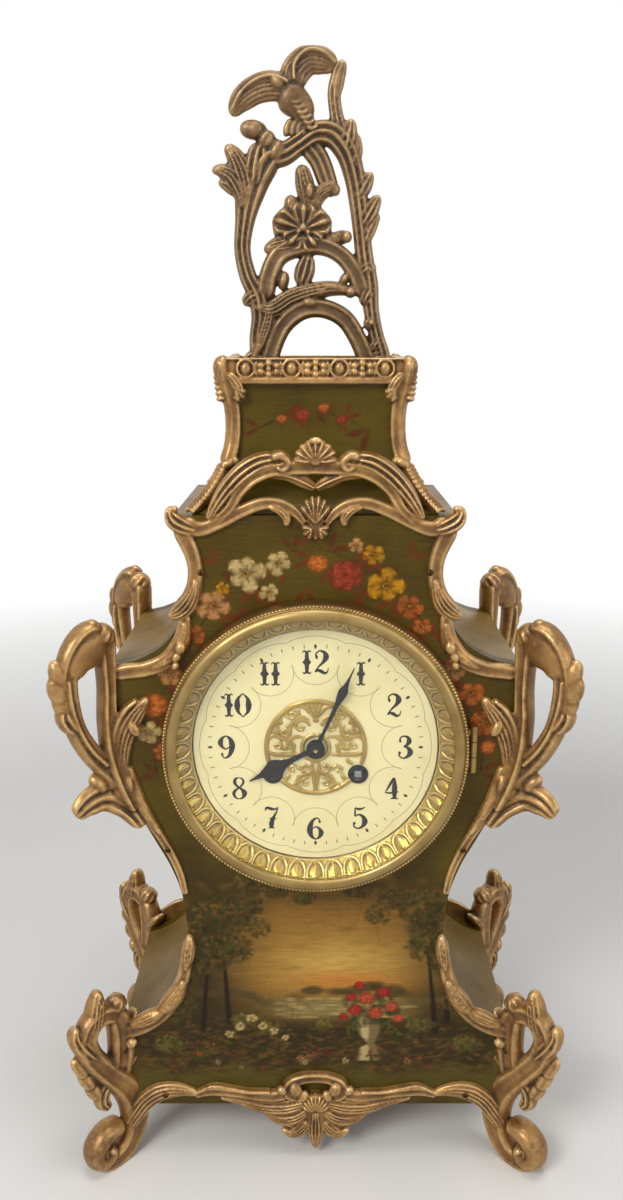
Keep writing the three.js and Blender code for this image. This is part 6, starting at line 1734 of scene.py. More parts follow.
@dataclass
class Decorator:
    """Paints sprays of flowers and a quiet evening landscape, all of this piece's own drawing."""

    canvas: Canvas
    cream: Colour = colour_of(216, 184, 118)
    yellow: Colour = colour_of(204, 142, 26)
    orange: Colour = colour_of(194, 104, 40)
    rose: Colour = colour_of(150, 60, 34)
    blush: Colour = colour_of(208, 146, 88)
    leaf: Colour = colour_of(112, 48, 16)
    shade: Colour = colour_of(58, 38, 12)

    def tinted(self, colour: Colour, by: float) -> Colour:
        """A colour made lighter or darker."""
        return tuple(float(np.clip(c * by, 0, 1)) for c in colour)

    def blossom(self, x: float, z: float, size: float, colour: Colour, turn: float) -> None:
        """Paints an open blossom of five petals seen from the front."""
        dab, stroke, chance = self.canvas.dab, self.canvas.stroke, self.canvas.chance
        for k in range(5):
            angle = turn + FULL_TURN * k / 5 + chance.uniform(-0.16, 0.16)
            reach = size * chance.uniform(0.88, 1.12)
            across, along = reach * math.cos(angle), reach * math.sin(angle) * 0.9
            tone = chance.uniform(0.78, 1.1)
            dab(x + across * 0.56, z + along * 0.56, reach * 0.54, reach * 0.44, angle,
                self.tinted(colour, 0.5 * tone), 0.92, 0.4)
            dab(x + across * 0.6, z + along * 0.6 + 0.2, reach * 0.44, reach * 0.33, angle + 0.25,
                self.tinted(colour, tone), 0.95, 0.6)
            stroke([(x + across * 0.2, z + along * 0.2), (x + across * 0.52, z + along * 0.5)], reach * 0.13,
                   self.tinted(self.shade, 1.5), 0.5)
            for side in (-0.34, 0.3):
                tip_x, tip_z = reach * math.cos(angle + side), reach * math.sin(angle + side) * 0.9
                dab(x + tip_x * 0.86, z + tip_z * 0.86, reach * 0.2, reach * 0.09, angle + side + 1.4,
                    self.tinted(colour, 1.3 * tone), 0.85, 0.8)
        dab(x, z, size * 0.2, size * 0.17, 0.0, self.shade, 0.85, 0.5)
        for k in range(5):
            dab(x + math.cos(k * 1.26) * size * 0.13, z + math.sin(k * 1.26) * size * 0.11, size * 0.06, size * 0.05,
                0.0, self.tinted(self.yellow, 1.2), 1.0, 0.6)

    def rose_head(self, x: float, z: float, size: float, colour: Colour) -> None:
        """Paints a full rose of nested petals."""
        dab = self.canvas.dab
        dab(x, z, size, size * 0.86, 0.2, self.tinted(colour, 0.55), 1.0, 0.3)
        for ring, count in ((0.74, 7), (0.5, 5), (0.26, 3)):
            for k in range(count):
                angle = FULL_TURN * k / count + ring * 3
                across, along = math.cos(angle) * size, math.sin(angle) * size
                px, pz = x + across * ring * 0.8, z + along * ring * 0.7
                tone = self.canvas.chance.uniform(0.8, 1.15)
                dab(px, pz, size * 0.34, size * 0.2, angle + 1.57, self.tinted(colour, (1.5 - ring) * tone), 0.85, 0.5)
                dab(px + across * 0.12, pz + along * 0.1, size * 0.26, size * 0.08, angle + 1.57,
                    self.tinted(colour, (2.3 - ring) * tone), 0.75, 0.8)
        dab(x, z, size * 0.13, size * 0.1, 0.0, self.tinted(colour, 0.4), 0.9, 0.5)

    def leaf_pair(self, x: float, z: float, size: float, turn: float, colour: Colour) -> None:
        """Paints two leaves on one stalk."""
        for angle in (turn - 0.5, turn + 0.5):
            across, along = math.cos(angle) * size, math.sin(angle) * size
            px, pz = x + across * 0.8, z + along * 0.8
            self.canvas.dab(px, pz, size * 0.75, size * 0.26, angle, colour, 0.85, 0.5)
            self.canvas.stroke([(x, z), (px + across * 0.5, pz + along * 0.5)], 0.35, self.tinted(colour, 1.6), 0.6)

    def spray(self, heads: Sequence[tuple[str, float, float, float]], stalk: Sequence[Row]) -> None:
        """Paints a stalk with its leaves, then its flowers.

        Args:
            heads: Kind of flower, place and size of each.
            stalk: The places that the stalk runs through.
        """
        chance = self.canvas.chance
        self.canvas.stroke(stalk, 0.55, self.shade, 0.8)
        for n, (x, z) in enumerate(stalk):
            self.leaf_pair(x, z, 5.4 + chance.uniform(0, 2.4), chance.uniform(0, ANY_TURN),
                           self.leaf if n % 2 else self.tinted(self.leaf, 0.7))
        roses = {"rose": self.rose, "peach": self.orange}
        open_flowers = {"cream": self.cream, "yellow": self.yellow, "orange": self.orange, "blush": self.blush}
        for kind, x, z, size in heads:
            self.leaf_pair(x + size * 0.5, z - size * 0.7, size * 0.8, chance.uniform(3.6, 5.8), self.leaf)
            if kind in roses:
                self.rose_head(x, z, size, roses[kind])
            else:
                self.blossom(x, z, size, open_flowers[kind], chance.uniform(0, 1.2))

    def garland(self) -> None:
        """The sprays over and beside the dial."""
        self.spray([("cream", -33, 329, 9.4), ("cream", -18, 334, 6.2), ("cream", -22, 320, 4.8),
                    ("blush", -49, 313, 7.8), ("orange", -57, 299, 4.8), ("yellow", -44, 322, 3.6)],
                   [(-58, 298), (-48, 314), (-38, 324), (-24, 333), (-10, 340), (-2, 336)])
        self.spray([("rose", 14, 328, 10.0), ("peach", 1.0, 334, 5.6), ("yellow", 33, 323, 8.6),
                    ("yellow", 27, 338, 5.6), ("orange", 45, 313, 6.2), ("orange", 51, 303, 4.4),
                    ("blush", 19, 342, 4.0)],
                   [(52, 302), (46, 313), (34, 325), (20, 334), (6, 340), (-4, 342)])
        self.spray([("peach", -79, 263, 8.0), ("blush", -70, 279, 6.6), ("cream", -82, 249, 6.4),
                    ("orange", -76, 238, 4.4)],
                   [(-79, 226), (-80, 240), (-80, 256), (-72, 274), (-62, 290)])
        self.spray([("orange", 76, 269, 7.0), ("orange", 83, 254, 7.4), ("blush", 67, 281, 6.0),
                    ("peach", 85, 241, 4.6)],
                   [(82, 228), (83, 242), (80, 258), (71, 276), (61, 292)])
        for x, z, turn in ((-60, 284, 4.0), (60, 286, 5.4), (-16, 317, 4.5), (17, 316, 4.9), (-5, 322, 4.7),
                           (2, 346, 1.4), (-46, 334, 2.4), (44, 336, 0.8), (-64, 268, 5.8), (66, 266, 3.6),
                           (56, 296, 1.0), (-47, 300, 5.4), (38, 306, 4.2), (-34, 312, 4.6)):
            self.leaf_pair(x, z, 6.4, turn, self.leaf)

    def tuft(self, x: float, z: float, reach: float, count: int, tones: Sequence[Colour], flat: float = 0.8) -> None:
        """Paints a clump of leaves, dark first and lighter towards its upper left."""
        dab, chance = self.canvas.dab, self.canvas.chance
        for n in range(count):
            angle, far = chance.uniform(0, ANY_TURN), reach * chance.uniform(0, 1) ** 0.6
            px, pz = x + far * math.cos(angle), z + far * flat * math.sin(angle)
            early = n < count * 0.45
            light = 0.5 if early else 0.62 + 0.5 * (math.sin(angle - 0.7) + 1) / 2 + 0.3 * chance.uniform()
            tone = self.tinted(tones[chance.integers(len(tones))], light)
            size = chance.uniform(0.16, 0.3) * reach if early else chance.uniform(0.9, 2.0)
            dab(px, pz, size, size * 0.62, chance.uniform(0, 3), tone, 0.6 if early else 0.8, 0.8)

    def urn(self, x: float, z: float) -> None:
        """Paints a stone urn on a low pedestal, full of red roses."""
        canvas, chance = self.canvas, self.canvas.chance
        stone, dark, light = colour_of(128, 106, 66), colour_of(62, 44, 22), colour_of(196, 172, 116)

        def bowl(px: Grid, pz: Grid) -> Grid:
            up = (pz - z) / 26
            half = np.interp(up, [0, 0.06, 0.1, 0.3, 0.36, 0.42, 0.62, 0.8, 0.9, 1.0],
                             [9, 9, 7.6, 7.2, 3.0, 2.6, 7.0, 9.4, 8.0, 9.8], left=-1, right=-1)
            return (half - np.abs(px - x)) / 0.8

        box = (x - 12, x + 12, z, z + 27)
        canvas.lay(box, bowl, dark)
        canvas.lay(box, lambda px, pz: bowl(px, pz) * np.exp(-((px - x + 3) / 4.6) ** 2), stone)
        canvas.lay(box, lambda px, pz: 0.6 * bowl(px, pz) * np.exp(-((px - x + 4) / 1.6) ** 2), light)
        self.tuft(x, z + 34, 15, 150, [colour_of(60, 66, 24), colour_of(84, 60, 20)])
        for px, pz, size in ((-9, 31, 4.4), (2, 29.4, 4.8), (10, 33, 4.0), (-3, 38, 5.2), (6, 42, 4.2), (-11, 39, 3.4),
                             (-15, 27, 3.2), (14, 26, 3.4), (-7, 46, 3.2)):
            red = [colour_of(158, 44, 30), colour_of(178, 74, 44)][chance.integers(2)]
            self.rose_head(x + px, z + pz, size, red)
        for px, pz in ((-13, 21), (13, 20), (-8, 25), (9, 24)):
            self.leaf_pair(x + px, z + pz, 4.4, chance.uniform(4, 5.4), colour_of(74, 78, 26))

    def landscape(self) -> None:
        """The evening sky, trees, pool and meadow under the dial."""
        lay, dab, chance = self.canvas.lay, self.canvas.dab, self.canvas.chance

        def edge(x: Grid, z: Grid) -> Grid:
            return np.clip((OUTLINE.width_at(z) - np.abs(x) + 2 * np.sin(z / 5)) / 14, 0, 1)

        def ground(x: Grid, z: Grid) -> Grid:
            return edge(x, z) * np.clip(np.minimum((182 - z) / 26, (z - 38) / 12), 0, 1) * 0.9

        def foreground(x: Grid, z: Grid) -> Grid:
            return 0.85 * np.clip((58 + 2.4 * np.sin(x / 9) + 1.6 * np.sin(x / 3.7) - z) / 9, 0, 1)

        lay((-96, 96, 36, 182), ground, colour_of(52, 38, 12))
        lay((-80, 80, 80, 176), lambda x, z: 0.95 * np.exp(-((x - 6) / 46) ** 4) * np.exp(-((z - 124) / 34) ** 4),
            colour_of(166, 120, 50))
        lay((-60, 70, 96, 150), lambda x, z: np.exp(-(((x - 12) / 34) ** 2 + ((z - 118) / 15) ** 2)),
            colour_of(216, 172, 84))
        lay((-40, 70, 100, 122), lambda x, z: 0.8 * np.exp(-(((x - 16) / 26) ** 2 + ((z - 109) / 5) ** 2)),
            colour_of(206, 122, 46))
        for _ in range(220):
            x, z = chance.uniform(-60, 66), chance.uniform(112, 170)
            tone = self.tinted(colour_of(156, 110, 48), chance.uniform(0.45, 1.4))
            dab(x, z + 3 * math.sin(x / 14), chance.uniform(4, 11), chance.uniform(1.4, 3.4),
                chance.uniform(-0.35, 0.35), tone, 0.2, 0.9)
        for _ in range(90):
            x = chance.uniform(-60, 66)
            hill = 101 + 4 * math.sin(x / 15) + 2.4 * math.sin(x / 6 + 2)
            dab(x, hill, chance.uniform(4, 8), chance.uniform(2, 4), 0.0,
                self.tinted(colour_of(92, 74, 34), chance.uniform(0.6, 1.2)), 0.55, 0.8)
        lay((-50, 74, 80, 100), lambda x, z: np.exp(-(((x - 14) / 36) ** 4 + ((z - 92) / 6.5) ** 4)),
            colour_of(142, 122, 70))
        for _ in range(90):
            x, z = chance.uniform(-20, 50), chance.uniform(86, 98)
            dab(x, z, chance.uniform(3, 8), 0.5, 0.0, self.tinted(colour_of(206, 176, 104), chance.uniform(0.55, 1.15)),
                0.5, 0.6)
        greens = [colour_of(72, 66, 20), colour_of(104, 84, 30), colour_of(52, 46, 16), colour_of(118, 78, 30)]
        for _ in range(1500):
            x, z = chance.uniform(-94, 94), 42 + 46 * chance.uniform(0, 1) ** 0.8
            if z > 84 + 4 * math.sin(x / 11) + 3 * math.sin(x / 4.3) or abs(x) > OUTLINE.width_at(np.array([z]))[0] - 5:
                continue
            near = (90 - z) / 48
            dab(x, z, 1.6 + near * 3.4, 0.6 + near * 0.9, chance.uniform(-0.6, 0.6),
                self.tinted(greens[chance.integers(4)], chance.uniform(0.5, 1.25)), 0.6, 0.7)
        leaves = [colour_of(84, 76, 26), colour_of(112, 80, 28), colour_of(54, 58, 20)]
        for trunk, base, lean in ((-60, 78, 5), (-46, 84, -3), (64, 78, -6), (70, 84, -2)):
            self.canvas.stroke([(trunk, base), (trunk + lean * 0.4, base + 24), (trunk + lean, base + 54)], 2.2,
                               colour_of(36, 22, 10), 0.95)
        for x, z, reach in ((-64, 138, 18), (-50, 146, 15), (-58, 124, 15), (-42, 128, 10), (-38, 152, 11),
                            (-70, 112, 11), (66, 140, 18), (56, 152, 13), (72, 122, 14), (56, 128, 9), (40, 158, 9),
                            (-20, 164, 8), (-72, 92, 10), (74, 96, 10), (4, 168, 8), (22, 165, 9), (-34, 166, 9),
                            (-6, 158, 6), (32, 148, 7), (-30, 140, 7)):
            self.tuft(x, z, reach, int(reach * 16), leaves)
        for x, z, reach in ((-36, 84, 9), (-24, 80, 7), (56, 82, 8), (-78, 70, 9), (80, 70, 9), (4, 82, 5)):
            self.tuft(x, z, reach, int(reach * 14), [colour_of(82, 82, 30), colour_of(120, 98, 38)], 0.6)
        for x, z, size in ((-34, 86, 3.0), (-28, 81, 2.6), (-40, 81, 2.8), (-22, 78, 2.4), (-46, 76, 2.4),
                           (-16, 74, 2.0)):
            self.blossom(x, z, size, self.cream, chance.uniform(0, 3))
        self.urn(30, 60)
        for _ in range(70):
            x, z = chance.uniform(-78, 78), chance.uniform(50, 74)
            self.leaf_pair(x, z, chance.uniform(2.0, 3.8), chance.uniform(0, ANY_TURN),
                           self.tinted(colour_of(84, 46, 26), chance.uniform(0.5, 1.3)))
        for _ in range(20):
            x, z = chance.uniform(-70, 72), chance.uniform(52, 70)
            kind = [self.cream, self.blush, self.orange, self.rose][chance.integers(4)]
            self.leaf_pair(x, z - 1, 2.6, chance.uniform(3.6, 5.8), colour_of(70, 62, 20))
            self.blossom(x, z, chance.uniform(1.4, 2.5), self.tinted(kind, chance.uniform(0.35, 0.75)),
                         chance.uniform(0, 3))
        lay((-96, 96, 36, 62), foreground, colour_of(92, 80, 26))

    def cap_spray(self) -> None:
        """The faint small spray on the front of the cap."""
        self.spray([("rose", -6, 402, 4.2), ("peach", 4, 405, 3.0), ("rose", 12, 399.6, 3.2), ("peach", -16, 400, 2.8)],
                   [(-26, 396), (-14, 401), (0, 404), (14, 400), (25, 395)])


# Wooden case


@dataclass
class PaintedCase:
    """The lacquered wooden case: boards, waisted shell, roof, cap and the painting on the front.

    Args:
        board: How thick the front and back boards are.
        wall: How thick the sides, floor and top are.
        gap: The seam between the boards and the sides.
        ring_hole: The radius of the dial's opening.
        rear_hole: The radius of the rear opening.
        roof_low: Where the roof starts.
        roof_half: Half width and half depth of the roof's foot.
        cap_half: Half width and half depth of the cap.
        roof_rise: The roof's height.
        cap_rise: The cap's height.
        cell: The fineness of the painted skins.
    """

    board: float = 7.7
    wall: float = 6.0
    gap: float = 0.3
    ring_hole: float = 63.2
    rear_hole: float = 50.0
    roof_low: float = 356.8
    roof_half: Row = (58.0, 49.0)
    cap_half: Row = (41.5, 39.5)
    roof_rise: float = 21.0
    cap_rise: float = 42.0
    cell: float = 0.66

    def loop(self, inset: float = 0.0) -> Grid:
        """The case's whole outline, set in by a distance."""
        right = OUTLINE.right()
        points = np.concatenate([right, (right * (-1, 1))[::-1]])
        ahead, behind = np.roll(points, -1, axis=0), np.roll(points, 1, axis=0)
        run = (ahead - points) / np.maximum(np.linalg.norm(ahead - points, axis=1), 1e-6)[:, None]
        back = (points - behind) / np.maximum(np.linalg.norm(points - behind, axis=1), 1e-6)[:, None]
        out = np.stack([run[:, 1] + back[:, 1], -run[:, 0] - back[:, 0]], axis=1)
        out /= np.maximum(np.linalg.norm(out, axis=1), 1e-6)[:, None]
        return points - out * inset

    @staticmethod
    def ring_at(loop: Grid, y: float) -> Grid:
        """An outline set at a depth."""
        return np.column_stack([loop[:, 0], np.full(len(loop), y), loop[:, 1]])

    def panel(self, name: str, near: float, far: float, hole: float, node: str) -> None:
        """Makes a board of the case's outline with a round hole.

        Args:
            name: Its name.
            near: The depth of its front.
            far: The depth of its back.
            hole: The radius of its hole.
            node: The CAD node that it stands for.
        """
        shape = Shape().rings(np.stack([self.ring_at(self.loop(), y) for y in (near, far)]))
        mesh = drilled(name, shape, [(hole, 0.0, DIAL_Z)], near - 5, far + 5)
        piece(name, mesh, OLIVE, stands_for=[node])

    def shell(self) -> bpy.types.Mesh:
        """The sides, floor and top as one waisted ring."""
        depth = -FRONT_Y - self.board - self.gap
        outer, inner = self.loop(), self.loop(self.wall)
        stations = ((outer, -depth), (outer, depth), (inner, depth), (inner, -depth))
        rings = [self.ring_at(loop, y) for loop, y in stations]
        return Shape().rings(np.stack(rings), looped=True).skin("case_shell", 30.0)

    def level(self, share: Grid) -> Grid:
        """Half width, half depth and height of the roof and cap at shares of their rise from 0 to 2."""
        roof = np.array([(0, 0), (0.42, 0.2), (0.75, 0.5), (0.93, 0.8), (1, 1)])
        cap = np.array([(1.0, 0.0), (0.972, 0.1), (0.958, 0.22), (0.948, 0.36), (0.945, 0.5), (0.948, 0.64),
                        (0.958, 0.8), (0.968, 0.92), (0.975, 1)])
        inward = np.interp(share, roof[:, 1], roof[:, 0])
        width = np.interp(share - 1, cap[:, 1], cap[:, 0])
        rows = []
        for k in (0, 1):
            low = self.roof_half[k] + (self.cap_half[k] - self.roof_half[k]) * inward
            rows.append(np.where(share <= 1, low, self.cap_half[k] * width))
        z = self.roof_low + self.roof_rise * np.minimum(share, 1) + self.cap_rise * np.maximum(share - 1, 0)
        return np.stack([*rows, z], axis=1)

    def tower(self) -> bpy.types.Mesh:
        """The hollowed roof and the cap block over it."""
        rings = [[(x, y, z), (-x, y, z), (-x, -y, z), (x, -y, z)] for x, y, z in self.level(np.linspace(0, 2, 81))]
        return Shape().rings(np.array(rings)).skin("roof_block", 30.0)

    def sheet(self, name: str, rows: Grid, half: Grid, depth: Grid, canvas: Canvas, hole: float) -> bpy.types.Mesh:
        """A fine painted skin.

        Args:
            name: The mesh's name.
            rows: Heights of its rows.
            half: Half width at each row.
            depth: How far forward each row lies.
            canvas: What is painted on it.
            hole: Radius left out round the dial.

        Returns:
            The mesh with its colours stored.
        """
        columns = int(2 * half.max() / self.cell)
        share = np.linspace(-1, 1, columns)
        x = half[:, None] * share
        z = np.repeat(rows[:, None], columns, axis=1)
        places = np.stack([x, np.repeat(depth[:, None], columns, axis=1), z], axis=2).reshape(-1, 3)
        corner = np.arange(len(rows) * columns).reshape(len(rows), columns)
        quads = np.stack([corner[:-1, :-1], corner[:-1, 1:], corner[1:, 1:], corner[1:, :-1]], axis=2).reshape(-1, 4)
        middle = places[quads].mean(axis=1)
        quads = quads[np.hypot(middle[:, 0], middle[:, 2] - DIAL_Z) > hole]
        mesh = bpy.data.meshes.new(name)
        mesh.from_pydata((places * MM).tolist(), [], quads.tolist())
        mesh.update()
        store = mesh.color_attributes.new("paint", "FLOAT_COLOR", "POINT")
        store.data.foreach_set("color", canvas.at(places[:, 0], places[:, 2]).ravel().astype(np.float32))
        smoothed(mesh)
        return mesh

    def paint(self) -> None:
        """Lays the painting on the front of the case and the cap."""
        canvas = Canvas(-106, 106, 30, 360)
        artist = Decorator(canvas)
        artist.landscape()
        artist.garland()
        rows = np.arange(OUTLINE.base + 0.2, OUTLINE.top - 0.1, self.cell)
        half = OUTLINE.width_at(rows) - 0.15
        mesh = self.sheet("front_painting", rows, half, np.full(len(rows), FRONT_Y - 0.06), canvas, 66.0)
        piece("front_painting", mesh, PAINTING)
        canvas = Canvas(-45, 45, 378, 420)
        Decorator(canvas).cap_spray()
        levels = self.level(np.linspace(1.05, 1.93, 60))
        mesh = self.sheet("cap_painting", levels[:, 2], levels[:, 0] - 0.2, -levels[:, 1] - 0.06, canvas, 0.0)
        piece("cap_painting", mesh, PAINTING)

    def build(self) -> None:
        """Makes the whole case."""
        inner = FRONT_Y + self.board
        self.panel("front_panel", FRONT_Y, inner, self.ring_hole, "front_board")
        self.panel("back_panel", -inner, -FRONT_Y, self.rear_hole, "back_board")
        piece("case_shell", self.shell(), KHAKI,
              stands_for=["case_side_left", "case_side_right", "case_floor", "case_top"])
        piece("roof_block", self.tower(), OLIVE, stands_for=["roof_and_cap"])
        self.paint()


# Dial and bezel


# Strokes of each digit, from rows of place across and up, from 0 to 1, and half width in millimetres
DIGITS: dict[str, list[list[Row]]] = {
    "0": [[(0.44, 0.98, 0.25), (0.18, 0.8, 0.8), (0.1, 0.5, 1.2), (0.18, 0.2, 0.8), (0.44, 0.02, 0.25)],
          [(0.56, 0.98, 0.25), (0.82, 0.8, 0.8), (0.9, 0.5, 1.2), (0.82, 0.2, 0.8), (0.56, 0.02, 0.25)],
          [(-0.1, 0.5, 0.05), (0.1, 0.5, 1.5), (0.34, 0.5, 0.05)],
          [(0.66, 0.5, 0.05), (0.9, 0.5, 1.5), (1.1, 0.5, 0.05)],
          [(0.36, 0.97, 0.3), (0.5, 1.0, 0.35), (0.64, 0.97, 0.3)],
          [(0.36, 0.03, 0.3), (0.5, 0.0, 0.35), (0.64, 0.03, 0.3)]],
    "1": [[(0.5, 0.08, 0.8), (0.5, 0.5, 0.95), (0.5, 0.92, 0.8)],
          [(0.5, 0.12, 0.6), (0.3, 0.03, 0.55), (0.08, 0.02, 0.3), (0.0, 0.1, 0.15)],
          [(0.5, 0.12, 0.6), (0.7, 0.03, 0.55), (0.92, 0.02, 0.3), (1.0, 0.1, 0.15)],
          [(0.5, 0.9, 0.6), (0.3, 0.97, 0.5), (0.08, 0.97, 0.3), (0.0, 0.88, 0.15)],
          [(0.5, 0.9, 0.6), (0.7, 0.97, 0.5), (0.92, 0.98, 0.3), (1.0, 0.92, 0.15)],
          [(-0.04, 0.5, 0.05), (0.5, 0.5, 1.8), (1.04, 0.5, 0.05)]],
    "2": [[(0.14, 0.72, 0.4), (0.16, 0.88, 0.4), (0.42, 0.99, 0.45), (0.72, 0.92, 0.85), (0.84, 0.74, 1.2),
           (0.7, 0.54, 0.9), (0.42, 0.36, 0.5), (0.16, 0.16, 0.35), (0.08, 0.05, 0.3)],
          [(0.08, 0.06, 0.3), (0.26, 0.15, 0.7), (0.5, 0.11, 0.9), (0.76, 0.02, 0.65), (0.95, 0.1, 0.35),
           (1.0, 0.26, 0.2)],
          [(0.1, 0.72, 0.3), (0.2, 0.72, 0.95), (0.3, 0.72, 0.3)]],
    "3": [[(0.14, 0.8, 0.4), (0.2, 0.93, 0.4), (0.45, 1.0, 0.45), (0.74, 0.92, 0.85), (0.8, 0.76, 1.05),
           (0.64, 0.6, 0.7), (0.4, 0.53, 0.3)],
          [(0.4, 0.53, 0.3), (0.72, 0.47, 0.8), (0.9, 0.27, 1.2), (0.72, 0.08, 0.85), (0.42, 0.0, 0.45),
           (0.16, 0.08, 0.4), (0.1, 0.22, 0.4)],
          [(0.08, 0.78, 0.3), (0.18, 0.78, 0.9), (0.28, 0.78, 0.3)],
          [(0.04, 0.24, 0.3), (0.15, 0.24, 0.9), (0.26, 0.24, 0.3)]],
    "4": [[(0.62, 1.0, 0.35), (0.4, 0.72, 0.7), (0.16, 0.44, 0.45), (0.02, 0.3, 0.25)],
          [(0.0, 0.31, 0.3), (0.3, 0.28, 0.5), (0.7, 0.31, 0.5), (1.0, 0.34, 0.25)],
          [(0.66, 0.99, 0.45), (0.69, 0.6, 1.05), (0.69, 0.3, 1.05), (0.69, 0.06, 0.8)],
          [(0.4, 0.0, 0.2), (0.69, 0.05, 0.65), (0.98, 0.0, 0.2)]],
    "5": [[(0.2, 0.98, 0.3), (0.45, 0.91, 0.7), (0.76, 0.95, 0.45), (0.92, 1.02, 0.2)],
          [(0.2, 0.98, 0.35), (0.2, 0.76, 0.5), (0.18, 0.56, 0.35)],
          [(0.18, 0.56, 0.3), (0.45, 0.65, 0.5), (0.76, 0.55, 0.9), (0.9, 0.32, 1.2), (0.74, 0.1, 0.85),
           (0.42, 0.0, 0.45), (0.16, 0.08, 0.4), (0.1, 0.22, 0.4)],
          [(0.04, 0.24, 0.3), (0.15, 0.24, 0.9), (0.26, 0.24, 0.3)]],
    "6": [[(0.84, 0.84, 0.35), (0.64, 0.99, 0.4), (0.34, 0.9, 0.75), (0.14, 0.64, 1.05), (0.1, 0.36, 1.2),
           (0.26, 0.1, 0.85), (0.52, 0.0, 0.4), (0.78, 0.1, 0.8), (0.9, 0.3, 1.1), (0.76, 0.5, 0.7), (0.5, 0.58, 0.4),
           (0.24, 0.46, 0.3)],
          [(0.7, 0.82, 0.3), (0.8, 0.82, 0.85), (0.9, 0.82, 0.3)]],
    "7": [[(0.04, 0.82, 0.25), (0.14, 0.97, 0.65), (0.42, 0.93, 0.85), (0.7, 0.9, 0.55), (0.96, 1.0, 0.3)],
          [(0.96, 0.99, 0.3), (0.8, 0.72, 0.5), (0.58, 0.46, 0.9), (0.48, 0.2, 1.1), (0.48, 0.05, 0.85)],
          [(0.24, 0.0, 0.2), (0.48, 0.05, 0.6), (0.74, 0.0, 0.2)],
          [(0.28, 0.46, 0.05), (0.58, 0.46, 0.8), (0.88, 0.46, 0.05)]],
    "8": [[(0.5, 1.0, 0.3), (0.24, 0.92, 0.7), (0.2, 0.75, 0.85), (0.4, 0.58, 0.6), (0.66, 0.46, 0.7),
           (0.88, 0.28, 1.1), (0.74, 0.06, 0.6), (0.5, 0.0, 0.3)],
          [(0.5, 1.0, 0.3), (0.76, 0.92, 0.5), (0.8, 0.75, 0.6), (0.6, 0.58, 0.5), (0.34, 0.46, 0.6),
           (0.12, 0.28, 0.85), (0.26, 0.06, 0.5), (0.5, 0.0, 0.3)]],
}
DIGITS["9"] = [[(1 - x, 1 - z, w) for x, z, w in stroke] for stroke in DIGITS["6"]]


def rippled_ring(radius: float, y: float, size: float, count: int) -> Shape:
    """A ring of small touching beads round the dial's axis.

    Args:
        radius: The ring's radius.
        y: The depth of its middle.
        size: The beads' radius.
        count: How many beads.

    Returns:
        The ring as one skin.
    """
    angle = np.linspace(0, FULL_TURN, count * 6, endpoint=False)
    swell = size * (0.45 + 0.55 * np.abs(np.sin(angle * count / 2)))
    turn = np.linspace(0, FULL_TURN, 12, endpoint=False)
    far = radius + swell[:, None] * np.cos(turn)
    depth = y + swell[:, None] * np.sin(turn)
    rings = np.stack([far * np.cos(angle)[:, None], depth, DIAL_Z + far * np.sin(angle)[:, None]], axis=2)
    return Shape().rings(rings, looped=True)


